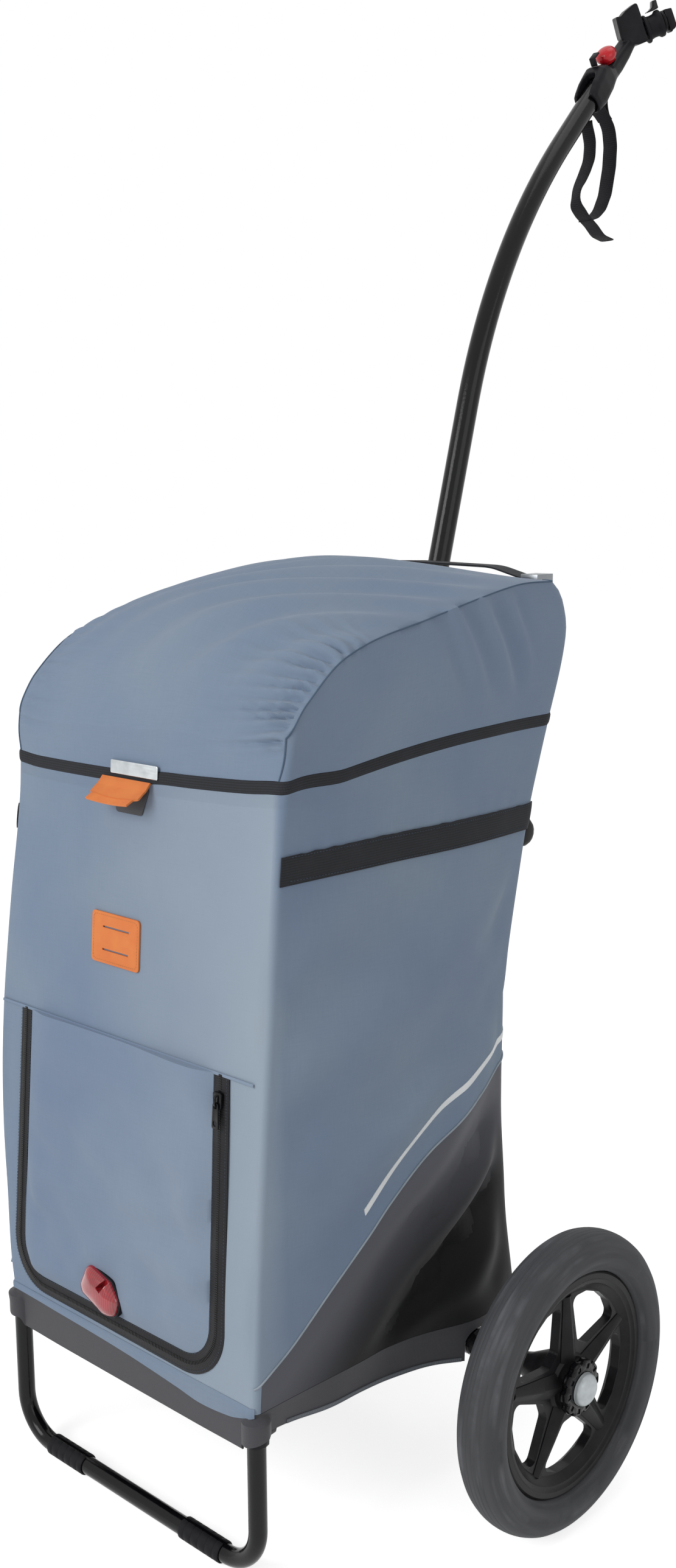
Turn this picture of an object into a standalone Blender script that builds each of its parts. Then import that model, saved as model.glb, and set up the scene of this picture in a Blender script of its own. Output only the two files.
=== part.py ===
"""A two-wheeled bike shopping trailer that stands on its foot frame.

The bag's front faces -Y and the tow bar leans back towards +Y. The model is built round the wheel axle,
inside one empty that moves it so that the world origin lies on the floor under the middle of the trailer.
All lengths are in metres.
"""

import math

import bmesh
import bpy
from mathutils import Matrix, Vector

# Clearances
FIT = 0.0003
RUNNING = 0.0002
SLIDING = 0.0004

# Wheels
WHEEL_RADIUS = 0.1525
WHEEL_X = 0.335
TYRE_WIDTH = 0.048
RIM_RADIUS = 0.1135
RIM_WIDTH = 0.025
RIM_BED_RADIUS = 0.1075
RIM_INNER_RADIUS = 0.0930
WEB_HALF = 0.0050
SPOKE_COUNT = 5
SPOKE_START_DEG = 93.0
SPOKE_RIDGE = 0.0075
HUB_RADIUS = 0.0270
HUB_OUTER_X = 0.0150
HUB_INNER_X = -0.0460
HUB_NOSE_RADIUS = 0.0125
RIM_LIP = 0.0040
BUSHING_RADIUS = 0.0100
CAP_RADIUS = 0.0290
CAP_DEPTH = 0.0080
CAP_LOBES = 10
BUTTON_RADIUS = 0.0185
BUTTON_TRAVEL = 0.0030

# Axle
AXLE_RADIUS = 0.0060
AXLE_TUBE_RADIUS = 0.0150
AXLE_TUBE_WALL = 0.0020
AXLE_TUBE_HALF = 0.2220

# Foot frame and rails
FOOT_RADIUS = 0.00925
FOOT_WALL = 0.0015
FOOT_X = 0.1830
FOOT_Y = -0.2790
FOOT_BEND = 0.0460
GLIDE_WALL = 0.0016
GLIDE_X = 0.1065
GLIDE_LENGTH = 0.0580
CONNECTOR_BACK_Y = -0.2480
CONNECTOR_WALL = 0.0032
CONNECTOR_LOW_Z = 0.1480
RAIL_RADIUS = 0.0090
RAIL_X = 0.1700
SOCKET_WALL = 0.0036
SOCKET_DEPTH = 0.0260

# Uprights and crossbars
UPRIGHT_X = 0.1570
UPRIGHT_Y = 0.0814
UPRIGHT_FOOT_Z = 0.1330
LEAN_Z = 0.5150
LEAN_DEG = 15.75
UPRIGHT_BEND = 0.1200
UPRIGHT_TOP = 0.3750
CROSSBAR_OVERHANG = 0.0145
CROSSBAR_HALF = UPRIGHT_X + CROSSBAR_OVERHANG
CROSSBAR_HEIGHT = 0.0310
CROSSBAR_DEPTH = 0.0330
CROSSBAR_UP = 0.1610
LOWER_CROSSBAR_UP = 0.0330
LOWER_CROSSBAR_HALF = CROSSBAR_HALF - 0.0025
END_CAP_RADIUS = 0.0155
END_CAP_LENGTH = 0.0140
END_CAP_BACK = 0.0026
CLAMP_KNOB_RADIUS = 0.0165
CLAMP_SCREW_RADIUS = 0.0030

# Tow bar and coupling
TOW_RADIUS = 0.0125
TOW_WALL = 0.0020
TOW_FOOT_UP = 0.0200
TOW_BEND_Z = 1.1220
TOW_BEND_RADIUS = 0.7280
TOW_BEND_DEG = 28.0
TOW_STRAIGHT = 0.1120
TOW_INSERT = 0.0450
GUARD_EDGE = ((-0.0218, 0.0450), (-0.0175, 0.0540))
GUARD_HALF = 0.0040
KNOB_SPOT = (0.0, -0.0022, 0.0750)
KNOB_PIN_RADIUS = 0.0035
JAW_HALF = 0.0125
STRAP_HALF = 0.0095
STRAP_THICKNESS = 0.0018
HITCH_SPOT = (0.0147, 0.0017, 0.1418)
HITCH_TURN_DEG = 76.0
HITCH_TILT_DEG = 44.7
HITCH_ROLL_DEG = 57.0
BOOT_START = 0.0010
BOOT_END = 0.0232
BARREL_END = 0.0275
BARREL_RADIUS = 0.0125
SHANK_RADIUS = 0.0080
SHANK_LENGTH = 0.0240
FLANGE_RADIUS = 0.0165

# Bag
BAG_WALL = 0.0035
FLOOR_FLARE = 0.0010
BOARD_THICKNESS = 0.0040
SKIRT_THICKNESS = 0.0028
SKIRT_TOP_Z = 0.1797
BAG_FRONT_Y = -0.2863
BAG_FRONT_SLOPE = 0.0709
FRONT_CORNER = 0.0090
BACK_CORNER = 0.0220
BACK_HALF_WIDTH = 0.1980
PANEL_HALF = 0.1725
PANEL_TOP_Z = 0.9270
PANEL_BEHIND = 0.0180
SIDE_BULGE = 0.0260
BULGE_TOP_Z = 0.7650
BAND_HEIGHT = 0.0125
BAND_PROUD = 0.0012
LID_WALL = 0.0030
LID_HINGE_Y = 0.1515
LID_HINGE_Z = 0.9335
SIDE_BAND_LOW_Z = 0.6765
SIDE_BAND_HIGH_Z = 0.7060
BELOW_BAND_Z = 0.600
BAG_LEVELS = (0.250, 0.320, 0.400, LEAN_Z, BELOW_BAND_Z, SIDE_BAND_LOW_Z, SIDE_BAND_HIGH_Z, 0.742)
TRIM = 0.0020
FITTING_LEG = 0.0340
HANDLE_END_X = 0.1560
HANDLE_HALF = 0.0120
HANDLE_THICKNESS = 0.0026

# Front pocket and light
POCKET_X = -0.0210
POCKET_LOW_Z = 0.2000
POCKET_TOP_Z = 0.4900
POCKET_HALF_LOW = 0.1560
POCKET_HALF_TOP = 0.1500
POCKET_CORNER = 0.0450
POCKET_THICKNESS = 0.0030
TAPE_HALF = 0.0100
TAPE_THICKNESS = 0.0018
LIGHT_X = -0.0270
LIGHT_Z = 0.2335
LIGHT_TILT_DEG = 17.0
LIGHT_HALF_LENGTH = 0.0310
LIGHT_HALF_WIDTH = 0.0185
LIGHT_HOUSING_DEPTH = 0.0070
LENS_DEPTH = 0.0110
LENS_SHARE = 0.9500

# Where the world origin lies, measured from the axle: halfway along the trailer.
AXLE_Y = -0.15099

# The height at which the front panel's own frame lies on the front.
PANEL_PIVOT_Z = 0.3000

# Curves of the bag, as (height or depth, value) pairs that a smooth curve passes through.
FRONT_HALF_WIDTHS = ((0.17, 0.1885), (0.30, 0.1860), (0.49, 0.1880), (0.71, 0.1930), (0.765, 0.1990))
LID_HALF_WIDTHS = ((0.765, 0.1990), (0.82, 0.2000), (0.88, 0.1970), (0.94, 0.1930))
BACK_LOBES = ((0.17, 0.0290), (0.25, 0.0160), (0.31, 0.0110), (0.40, 0.0040), (0.95, 0.0040))
BACK_ROLL = ((0.0, 0.0), (0.885, 0.0), (0.905, 0.0050), (0.920, 0.0150), (0.930, 0.0290), (0.940, 0.0460))
BAND_LINE = ((-0.245, 0.7650), (-0.185, 0.7750), (-0.081, 0.7880), (0.014, 0.7960), (0.150, 0.7980))
SEAM_LINE = (
    (-0.2520, 0.7790), (-0.2420, 0.8020), (-0.2170, 0.8400), (-0.1650, 0.8790),
    (-0.0570, 0.9060), (0.0740, 0.9320), (0.1520, 0.9335),
)
CROWN_LINE = ((-0.252, 0.0), (-0.20, 0.030), (-0.10, 0.042), (0.0, 0.036), (0.09, 0.018), (0.15, 0.001))
SKIRT_LINE = ((-0.270, 0.1560), (-0.154, 0.1450), (-0.090, 0.1430), (0.002, 0.1350), (0.060, 0.1380))

LOOKS = {
    "black_powder": ((0.020, 0.020, 0.022), 0.38, 0.0),
    "black_plastic": ((0.030, 0.030, 0.033), 0.55, 0.0),
    "black_rubber": ((0.038, 0.038, 0.042), 0.80, 0.0),
    "tyre": ((0.050, 0.050, 0.054), 0.85, 0.0),
    "bag_fabric": ((0.215, 0.300, 0.400), 0.85, 0.0),
    "black_fabric": ((0.040, 0.040, 0.044), 0.90, 0.0),
    "black_webbing": ((0.030, 0.030, 0.032), 0.88, 0.0),
    "leather": ((0.740, 0.240, 0.080), 0.60, 0.0),
    "red_plastic": ((0.580, 0.030, 0.045), 0.35, 0.0),
    "silver_metal": ((0.620, 0.640, 0.650), 0.30, 1.0),
    "steel": ((0.480, 0.480, 0.490), 0.35, 1.0),
    "board": ((0.060, 0.060, 0.062), 0.75, 0.0),
}


def clear_scene():
    """Removes what the scene holds at the start."""
    for obj in list(bpy.data.objects):
        bpy.data.objects.remove(obj, do_unlink=True)


def look(name):
    """The named material, made the first time it is asked for."""
    found = bpy.data.materials.get(name)
    if found:
        return found
    colour, roughness, metallic = LOOKS[name]
    made = bpy.data.materials.new(name)
    made.use_nodes = True
    made.diffuse_color = (*colour, 1.0)
    surface = made.node_tree.nodes["Principled BSDF"]
    surface.inputs["Base Color"].default_value = (*colour, 1.0)
    surface.inputs["Roughness"].default_value = roughness
    surface.inputs["Metallic"].default_value = metallic
    return made


def empty(name, location, parent=None, turn=(0.0, 0.0, 0.0), side=1):
    """An empty that carries a group of pieces, mirrored in X where the side is -1."""
    obj = bpy.data.objects.new(name, None)
    obj.scale = (side, 1.0, 1.0)
    obj.location = location
    obj.rotation_euler = turn
    obj.parent = parent
    bpy.context.collection.objects.link(obj)
    return obj


def piece(name, bm, surface, parent, location=(0.0, 0.0, 0.0), turn=(0.0, 0.0, 0.0), smooth=38.0):
    """One named solid from a bmesh, which it frees."""
    bmesh.ops.remove_doubles(bm, verts=bm.verts, dist=1e-6)
    bmesh.ops.recalc_face_normals(bm, faces=bm.faces)
    mesh = bpy.data.meshes.new(name)
    bm.to_mesh(mesh)
    bm.free()
    mesh.materials.append(look(surface))
    mesh.shade_smooth()
    mesh.set_sharp_from_angle(angle=math.radians(smooth))
    obj = bpy.data.objects.new(name, mesh)
    obj.location = location
    obj.rotation_euler = turn
    obj.parent = parent
    bpy.context.collection.objects.link(obj)
    return obj


def tool(bm, parent, location=(0.0, 0.0, 0.0), turn=(0.0, 0.0, 0.0)):
    """A hidden shape that a Boolean uses."""
    obj = piece("shaping_tool", bm, "black_plastic", parent, location, turn)
    obj.hide_render = True
    obj.display_type = "WIRE"
    return obj


def boolean(target, other, operation):
    """Cuts or joins the other shape, as a Boolean modifier on the target."""
    modifier = target.modifiers.new(operation.title(), "BOOLEAN")
    modifier.operation = operation
    modifier.object = other


def bevel(obj, width, segments=2, angle=30.0):
    """Rounds the edges that are sharper than the angle."""
    modifier = obj.modifiers.new("Bevel", "BEVEL")
    modifier.width = width
    modifier.segments = segments
    modifier.limit_method = "ANGLE"
    modifier.angle_limit = math.radians(angle)


def arc(centre, radius, start_deg, end_deg, steps):
    """Points along an arc, both ends included."""
    points = []
    for step in range(steps + 1):
        angle = math.radians(start_deg + (end_deg - start_deg) * step / steps)
        points.append((centre[0] + radius * math.cos(angle), centre[1] + radius * math.sin(angle)))
    return points


def circle(radius, sides):
    """A round outline with a point on each axis."""
    return arc((0.0, 0.0), radius, 0.0, 360.0, sides)[:-1]


def around(radius, clearance, sides):
    """The corner radius of a faceted bore whose flats clear a shaft of this radius."""
    return (radius + clearance) / math.cos(math.pi / sides)


def rounded(points, radius, steps=3, closed=True):
    """An outline or a path with its corners rounded, in two or three dimensions."""
    corners = [Vector(point) for point in points]
    count = len(corners)
    result = []
    for index, corner in enumerate(corners):
        if not closed and index in (0, count - 1):
            result.append(corner)
            continue
        before = corners[index - 1]
        after = corners[(index + 1) % count]
        toward_before = (before - corner).normalized()
        toward_after = (after - corner).normalized()
        half = toward_before.angle(toward_after) / 2
        reach = min(radius / math.tan(half), 0.48 * min((before - corner).length, (after - corner).length))
        used = reach * math.tan(half)
        centre = corner + (toward_before + toward_after).normalized() * (used / math.sin(half))
        first = corner + toward_before * reach - centre
        last = corner + toward_after * reach - centre
        sweep_angle = first.angle(last)
        for step in range(steps + 1):
            share = step / steps
            ahead = math.sin(sweep_angle * (1 - share)) * first + math.sin(sweep_angle * share) * last
            result.append(centre + ahead / math.sin(sweep_angle))
    return result


def smooth_value(table, at):
    """The value at one place on a smooth curve through the table's (place, value) pairs."""
    if at <= table[0][0]:
        return table[0][1]
    if at >= table[-1][0]:
        return table[-1][1]
    index = max(i for i in range(len(table) - 1) if table[i][0] <= at)

    def slope(i):
        low = max(i - 1, 0)
        high = min(i + 1, len(table) - 1)
        return (table[high][1] - table[low][1]) / (table[high][0] - table[low][0])

    start, end = table[index], table[index + 1]
    width = end[0] - start[0]
    t = (at - start[0]) / width
    rise = (2 * t**3 - 3 * t**2 + 1) * start[1] + (3 * t**2 - 2 * t**3) * end[1]
    return rise + width * ((t**3 - 2 * t**2 + t) * slope(index) + (t**3 - t**2) * slope(index + 1))


def lathe(profile, sides, ring=False):
    """A shape turned about its X axis from (along, radius) points. A ring's profile closes on itself."""
    bm = bmesh.new()
    verts = [bm.verts.new((along, 0.0, radius)) for along, radius in profile]
    pairs = list(zip(verts, verts[1:]))
    if ring:
        pairs.append((verts[-1], verts[0]))
    edges = [bm.edges.new(pair) for pair in pairs]
    bmesh.ops.spin(
        bm, geom=verts + edges, cent=(0.0, 0.0, 0.0), axis=(1.0, 0.0, 0.0),
        angle=2 * math.pi, steps=sides, use_merge=True,
    )
    bmesh.ops.remove_doubles(bm, verts=bm.verts, dist=1e-6)
    return bm


def rod(radius, start, end, sides):
    """A solid round bar along X."""
    return lathe([(start, 0.0), (start, radius), (end, radius), (end, 0.0)], sides)


def loft(rings, wrap=True, caps=True):
    """Quads between successive rings of points, with flat faces over the first and last."""
    bm = bmesh.new()
    rows = [[bm.verts.new(point) for point in ring] for ring in rings]
    count = len(rows[0])
    for low, high in zip(rows, rows[1:]):
        for index in range(count if wrap else count - 1):
            after = (index + 1) % count
            bm.faces.new((low[index], low[after], high[after], high[index]))
    if caps:
        bm.faces.new(rows[0])
        bm.faces.new(rows[-1])
    return bm


def sweep(path, outline, across, hole=None):
    """An outline carried along a path that lies in the plane square to the across direction."""
    points = [Vector(point) for point in path]
    sideways = Vector(across)
    frames = []
    for index, point in enumerate(points):
        before = points[max(index - 1, 0)]
        after = points[min(index + 1, len(points) - 1)]
        if 0 < index < len(points) - 1:
            ahead = (point - before).normalized() + (after - point).normalized()
        else:
            ahead = after - before
        frames.append((point, ahead.normalized().cross(sideways)))
    outer = [[point + sideways * a + other * b for a, b in outline] for point, other in frames]
    if not hole:
        return loft(outer)
    inner = [[point + sideways * a + other * b for a, b in hole] for point, other in frames]
    return loft(outer + inner[::-1] + [outer[0]], caps=False)


def prism(outline, low, high, plane="YZ"):
    """An outline extruded square to its plane, from low to high."""
    places = {
        "YZ": lambda a, b, c: (c, a, b),
        "XZ": lambda a, b, c: (a, c, b),
        "XY": lambda a, b, c: (a, b, c),
    }
    put = places[plane]
    return loft([[put(a, b, low) for a, b in outline], [put(a, b, high) for a, b in outline]])


def box(half_x, half_y, half_z):
    """A plain box about its own middle."""
    bm = bmesh.new()
    bmesh.ops.create_cube(bm, size=2.0, matrix=Matrix.Diagonal((half_x, half_y, half_z, 1.0)))
    return bm


def slab(outer, inner):
    """A thin solid between two grids of points with the same rows and columns."""
    bm = bmesh.new()
    grids = [[[bm.verts.new(point) for point in row] for row in grid] for grid in (outer, inner)]
    last_row = len(outer) - 1
    last_column = len(outer[0]) - 1
    for grid in grids:
        for row in range(last_row):
            for column in range(last_column):
                bm.faces.new((grid[row][column], grid[row][column + 1],
                              grid[row + 1][column + 1], grid[row + 1][column]))
    edge = [(0, column) for column in range(last_column)]
    edge += [(row, last_column) for row in range(last_row)]
    edge += [(last_row, column) for column in range(last_column, 0, -1)]
    edge += [(row, 0) for row in range(last_row, 0, -1)]
    for here, there in zip(edge, edge[1:] + edge[:1]):
        bm.faces.new((grids[0][here[0]][here[1]], grids[0][there[0]][there[1]],
                      grids[1][there[0]][there[1]], grids[1][here[0]][here[1]]))
    return bm


# Places worked out from the driving dimensions

AXLE_Z = WHEEL_RADIUS
FOOT_Z = FOOT_RADIUS + FIT + GLIDE_WALL
BARREL_OUTER = AXLE_TUBE_RADIUS + FIT + SOCKET_WALL
SEAT_Z = AXLE_Z + BARREL_OUTER
BOARD_Z = SEAT_Z + FIT
BAG_LOW_Z = BOARD_Z + BOARD_THICKNESS + FIT
LEAN = math.radians(LEAN_DEG)
LEAN_SLOPE = math.tan(LEAN)
SIDES = (("left", -1), ("right", 1))


def mast_y(z):
    """The depth of the plane that holds the tow bar and the uprights."""
    return UPRIGHT_Y + max(z - LEAN_Z, 0.0) * LEAN_SLOPE


def front_y(z):
    """The depth of the bag's flat front at a height."""
    return BAG_FRONT_Y + (z - SKIRT_TOP_Z) * BAG_FRONT_SLOPE


def back_y(z):
    """The depth of the bag's back panel at a height: it rolls over at the top."""
    return mast_y(z) - PANEL_BEHIND - smooth_value(BACK_ROLL, z)


def front_half(z):
    """Half the bag's width at its front corners."""
    table = FRONT_HALF_WIDTHS if z < BULGE_TOP_Z else LID_HALF_WIDTHS
    return smooth_value(table, z)


def bulge(z):
    """How far the sides swell out at mid depth."""
    share = (z - BAG_LOW_Z) / (BULGE_TOP_Z - BAG_LOW_Z)
    return SIDE_BULGE * math.sin(math.pi * min(max(share, 0.0), 1.0)) + 0.002


def half_columns():
    """The corners and stretches of the bag's right half, front middle to back middle, as (kind, place)."""
    columns = [("front", share) for share in (0.0, 0.6)]
    columns += [("front corner", turn) for turn in (-90.0, -45.0, 0.0)]
    columns += [("side", share / 6) for share in range(1, 6)]
    columns += [("back corner", turn) for turn in (0.0, 45.0, 90.0)]
    columns += [("back", share) for share in (1.0, 0.985, 0.0)]
    return columns


def column_point(column, z, inset=0.0):
    """(x, y) of one column of the bag's skin at a height, moved in by the inset."""
    kind, place = column
    half = front_half(z)
    front = front_y(z)
    lobe = smooth_value(BACK_LOBES, z)
    back = back_y(z) + lobe
    rear_half = BACK_HALF_WIDTH
    if kind == "front":
        return place * (half - FRONT_CORNER), front + inset
    if kind == "front corner":
        centre = (half - FRONT_CORNER, front + FRONT_CORNER)
        return arc(centre, FRONT_CORNER - inset, place, place, 1)[0]
    if kind == "side":
        start = (half, front + FRONT_CORNER)
        end = (rear_half, back - BACK_CORNER)
        swell = bulge(z) * math.sin(math.pi * place)
        return start[0] + (end[0] - start[0]) * place + swell - inset, start[1] + (end[1] - start[1]) * place
    if kind == "back corner":
        centre = (rear_half - BACK_CORNER, back - BACK_CORNER)
        return arc(centre, BACK_CORNER - inset, place, place, 1)[0]
    return place * PANEL_HALF, back_y(z) - inset


def ring_columns():
    """The columns all round the bag as (column, side), right half then left half."""
    right = half_columns()
    left = [column for column in right[::-1] if column not in (right[0], right[-1])]
    return [(column, 1) for column in right] + [(column, -1) for column in left]


def band_z(y):
    """The height of the lid band's lower edge at a depth."""
    return smooth_value(BAND_LINE, y) - BAND_HEIGHT


def rim_z(column):
    """How high the bag's wall reaches at a column."""
    if column[0] == "back" and column[1] < 1.0:
        return PANEL_TOP_Z
    return band_z(column_point(column, 0.77)[1]) - FIT


def bag_rings(heights, shares, inset):
    """Rings of the bag's skin: level ones at the heights, then ones that share out the way to the rim."""
    rings = []
    for z in heights:
        points = [(column_point(column, z, inset), side) for column, side in ring_columns()]
        rings.append([(side * x, y, z) for (x, y), side in points])
    for share in shares:
        ring = []
        for column, side in ring_columns():
            z = heights[-1] + (rim_z(column) - heights[-1]) * share
            x, y = column_point(column, z, inset)
            ring.append((side * x, y, z))
        rings.append(ring)
    return rings


# The bag and what is sewn to it


def bag_shell(frame):
    """The open fabric bag: a floor, four walls and the tall back panel."""
    step_in = SKIRT_THICKNESS + FIT
    ledge = SKIRT_TOP_Z + FIT
    shares = (0.35, 0.7, 0.9, 1.0)
    inner_levels = [z for z in BAG_LEVELS if z not in (BELOW_BAND_Z, SIDE_BAND_LOW_Z)]
    foot = bag_rings((BAG_LOW_Z, ledge), (), step_in)
    outer = bag_rings((ledge,) + BAG_LEVELS, shares, 0.0)
    inner = bag_rings([BAG_LOW_Z + BAG_WALL] + inner_levels, shares, BAG_WALL)
    floor = bag_rings((BAG_LOW_Z + BAG_WALL,), (), step_in + BAG_WALL + FLOOR_FLARE)
    floor += bag_rings((ledge,), (), step_in + BAG_WALL)
    piece("bag_shell", loft(foot + outer + inner[:0:-1] + floor[::-1]), "bag_fabric", frame)


def base_skirt(frame):
    """The black cloth that hangs round the floor and hides the rails, notched for the foot and the axle."""
    columns = [(column, side) for column, side in ring_columns() if column[0] not in ("back", "back corner")]
    order = sorted(columns, key=lambda item: item[1] * (1 + half_columns().index(item[0])))
    grids = []
    for inset in (0.0, SKIRT_THICKNESS):
        top = []
        low = []
        for column, side in order:
            x, y = column_point(column, SKIRT_TOP_Z, inset)
            drop = 0.1400 if column[0] == "front" else smooth_value(SKIRT_LINE, y)
            top.append((side * x, y, SKIRT_TOP_Z))
            low.append((side * x, y, drop))
        grids.append([top, low])
    skirt = piece("base_skirt", slab(*grids), "black_fabric", frame)
    for _, side in SIDES:
        corner = box(0.0200, 0.0250, 0.0200)
        spot = (side * (FOOT_X + 0.0060), FOOT_Y + 0.0060, SEAT_Z + 2 * FIT - 0.0200)
        boolean(skirt, tool(corner, frame, spot), "DIFFERENCE")
    notch = rod(AXLE_TUBE_RADIUS + 5 * FIT, -AXLE_TUBE_HALF, AXLE_TUBE_HALF, 16)
    boolean(skirt, tool(notch, frame, (0.0, 0.0, AXLE_Z)), "DIFFERENCE")
    slot = box(AXLE_TUBE_HALF, AXLE_TUBE_RADIUS + 4 * FIT, 0.02)
    boolean(skirt, tool(slot, frame, (0.0, 0.0, AXLE_Z - 0.02)), "DIFFERENCE")


def base_board(frame):
    """The stiff board under the bag, which rests on the frame."""
    half_x = front_half(SKIRT_TOP_Z) - 0.0090
    front = front_y(SKIRT_TOP_Z) + 0.0080
    back = back_y(BAG_LOW_Z) - 0.0060
    outline = rounded([(-half_x, front), (half_x, front), (half_x, back), (-half_x, back)], 0.012)
    piece("base_board", prism(outline, BOARD_Z, BOARD_Z + BOARD_THICKNESS, "XY"), "board", frame)


def side_bands(frame):
    """The black webbing bands across the bag's sides."""
    columns = [("front corner", 0.0)] + [column for column in half_columns() if column[0] == "side"]
    columns += [("back corner", turn) for turn in (0.0, 45.0)]
    for name, side in SIDES:
        grids = []
        for inset in (-0.0009 - TRIM, -0.0009):
            rows = []
            for z in (SIDE_BAND_HIGH_Z, SIDE_BAND_LOW_Z):
                points = [column_point(column, z, inset) for column in columns]
                rows.append([(side * x, y, z) for x, y in points])
            grids.append(rows)
        piece(f"side_band_{name}", slab(*grids), "black_webbing", frame)


def carry_handle(frame):
    """The webbing handle across the top of the back panel, with its two metal end fittings."""
    end_x = HANDLE_END_X
    seat_z = PANEL_TOP_Z + FIT
    panel_y = back_y(PANEL_TOP_Z)
    y = panel_y + HANDLE_HALF
    rises = ((-end_x, 0.0080), (-0.1100, 0.0200), (0.0, 0.0225), (0.1100, 0.0200), (end_x, 0.0080))
    path = [(x, y, seat_z + rise) for x, rise in rises]
    half = HANDLE_THICKNESS / 2
    webbing = [(-HANDLE_HALF, -half), (HANDLE_HALF, -half), (HANDLE_HALF, half), (-HANDLE_HALF, half)]
    bm = sweep(rounded(path, 0.10, 4, closed=False), webbing, (0.0, 1.0, 0.0))
    piece("carry_handle", bm, "black_webbing", frame)
    leg_low = PANEL_TOP_Z - FITTING_LEG
    leg_y = back_y(PANEL_TOP_Z - 0.8 * FITTING_LEG) + 2 * FIT
    for name, side in SIDES:
        outline = [(panel_y - 0.0020, seat_z), (leg_y, seat_z), (leg_y, leg_low), (leg_y + 0.0022, leg_low),
                   (y + 0.0135, seat_z), (y + 0.0135, seat_z + 0.0115), (panel_y - 0.0020, seat_z + 0.0115)]
        plate = piece(f"handle_fitting_{name}", prism(outline, -0.0110, 0.0110), "silver_metal",
                      frame, (side * (end_x + 0.0080), 0.0, 0.0))
        slot = box(0.0160, 0.0124, 0.0020)
        spot = (side * (end_x - 0.0100), y, seat_z + 0.0106)
        boolean(plate, tool(slot, frame, spot, (0.0, side * 0.26, 0.0)), "DIFFERENCE")


# What is fixed to the bag's flat front. Here X runs across, Z up the slope and -Y out of the cloth.


def panel_height(z):
    """A height in the world as a distance up the sloping front."""
    return (z - PANEL_PIVOT_Z) * math.hypot(1.0, BAG_FRONT_SLOPE)


def u_outline(half_bottom, half_top, low, high, corner):
    """A pocket outline from top left round the bottom to top right, as a path."""
    points = [(-half_top, 0.0, high), (-half_bottom, 0.0, low), (half_bottom, 0.0, low), (half_top, 0.0, high)]
    return rounded(points, corner, 5, closed=False)


def front_pocket(panel):
    """The pocket's raised panel, and the zip tapes that run down both sides and under it."""
    low = panel_height(POCKET_LOW_Z)
    high = panel_height(POCKET_TOP_Z)
    path = u_outline(POCKET_HALF_LOW, POCKET_HALF_TOP, low, high, POCKET_CORNER)
    inset = TAPE_HALF + 0.0020
    inner = u_outline(POCKET_HALF_LOW - inset, POCKET_HALF_TOP - inset, low + inset, high, POCKET_CORNER - inset)
    cloth = prism([(x, z) for x, _, z in inner], -FIT - POCKET_THICKNESS, -FIT, "XZ")
    piece("pocket_panel", cloth, "bag_fabric", panel, (POCKET_X, 0.0, 0.0))
    groove = 0.0012
    tape = [(0.0, -TAPE_HALF), (0.0, TAPE_HALF), (-TAPE_THICKNESS, TAPE_HALF), (-TAPE_THICKNESS, groove),
            (-0.0010, 0.0), (-TAPE_THICKNESS, -groove), (-TAPE_THICKNESS, -TAPE_HALF)]
    bm = sweep(path, tape, (0.0, 1.0, 0.0))
    piece("zip_tape", bm, "black_webbing", panel, (POCKET_X, -FIT, 0.0))
    return POCKET_X, path


def zip_slider(panel, middle, path):
    """The slider near the top of the right-hand zip, and its hanging pull."""
    top = path[-1]
    below = path[-2]
    run = (Vector(top) - Vector(below)).normalized()
    spot = Vector(top) - run * 0.020
    turn = math.atan2(run.x, run.z)
    travel = empty("zip_travel", (middle + spot.x, -FIT - TAPE_THICKNESS - SLIDING, spot.z), panel, (0.0, turn, 0.0))
    body = rounded([(-0.0050, -0.0080), (0.0050, -0.0080), (0.0058, 0.0080), (-0.0058, 0.0080)], 0.002)
    slider = piece("zip_slider", prism(body, -0.0034, 0.0, "XZ"), "black_plastic", travel)
    arch = sweep(rounded([(0.0, -0.0030, -0.0055), (0.0, -0.0064, -0.0040), (0.0, -0.0064, 0.0040),
                          (0.0, -0.0030, 0.0055)], 0.002, 2, closed=False),
                 [(-0.0012, -0.0007), (0.0012, -0.0007), (0.0012, 0.0007), (-0.0012, 0.0007)], (1.0, 0.0, 0.0))
    boolean(slider, tool(arch, travel), "UNION")
    pull_axis = empty("zip_pull_axis", (0.0, -0.0047, -0.0028), travel)
    outline = rounded([(-0.0036, 0.0010), (0.0036, 0.0010), (0.0046, -0.0240), (-0.0046, -0.0240)], 0.002)
    pull = piece("zip_pull", prism(outline, -0.0007, 0.0007, "XZ"), "black_plastic", pull_axis, (0.0, 0.0, 0.0))
    ring = rod(0.0028, -0.002, 0.002, 12)
    boolean(pull, tool(ring, pull_axis, (0.0, 0.0, -0.0185), (0.0, 0.0, math.pi / 2)), "DIFFERENCE")
    eye = box(0.0020, 0.002, 0.0022)
    boolean(pull, tool(eye, pull_axis, (0.0, 0.0, -0.0022)), "DIFFERENCE")


def leather_patch(panel):
    """The stitched leather patch with two slots for a strap."""
    half_x = 0.0363
    low = panel_height(0.5660)
    high = panel_height(0.6175)
    outline = rounded([(-half_x, low), (half_x, low), (half_x, high), (-half_x, high)], 0.004)
    patch = piece("leather_patch", prism(outline, -FIT - TRIM, -FIT, "XZ"), "leather", panel, (-0.0283, 0.0, 0.0))
    for z, shift in ((0.6030, 0.0008), (0.5800, 0.0003)):
        slit = box(0.0200, 0.006, 0.0009)
        boolean(patch, tool(slit, panel, (-0.0283 + shift, 0.0, panel_height(z))), "DIFFERENCE")


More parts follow.
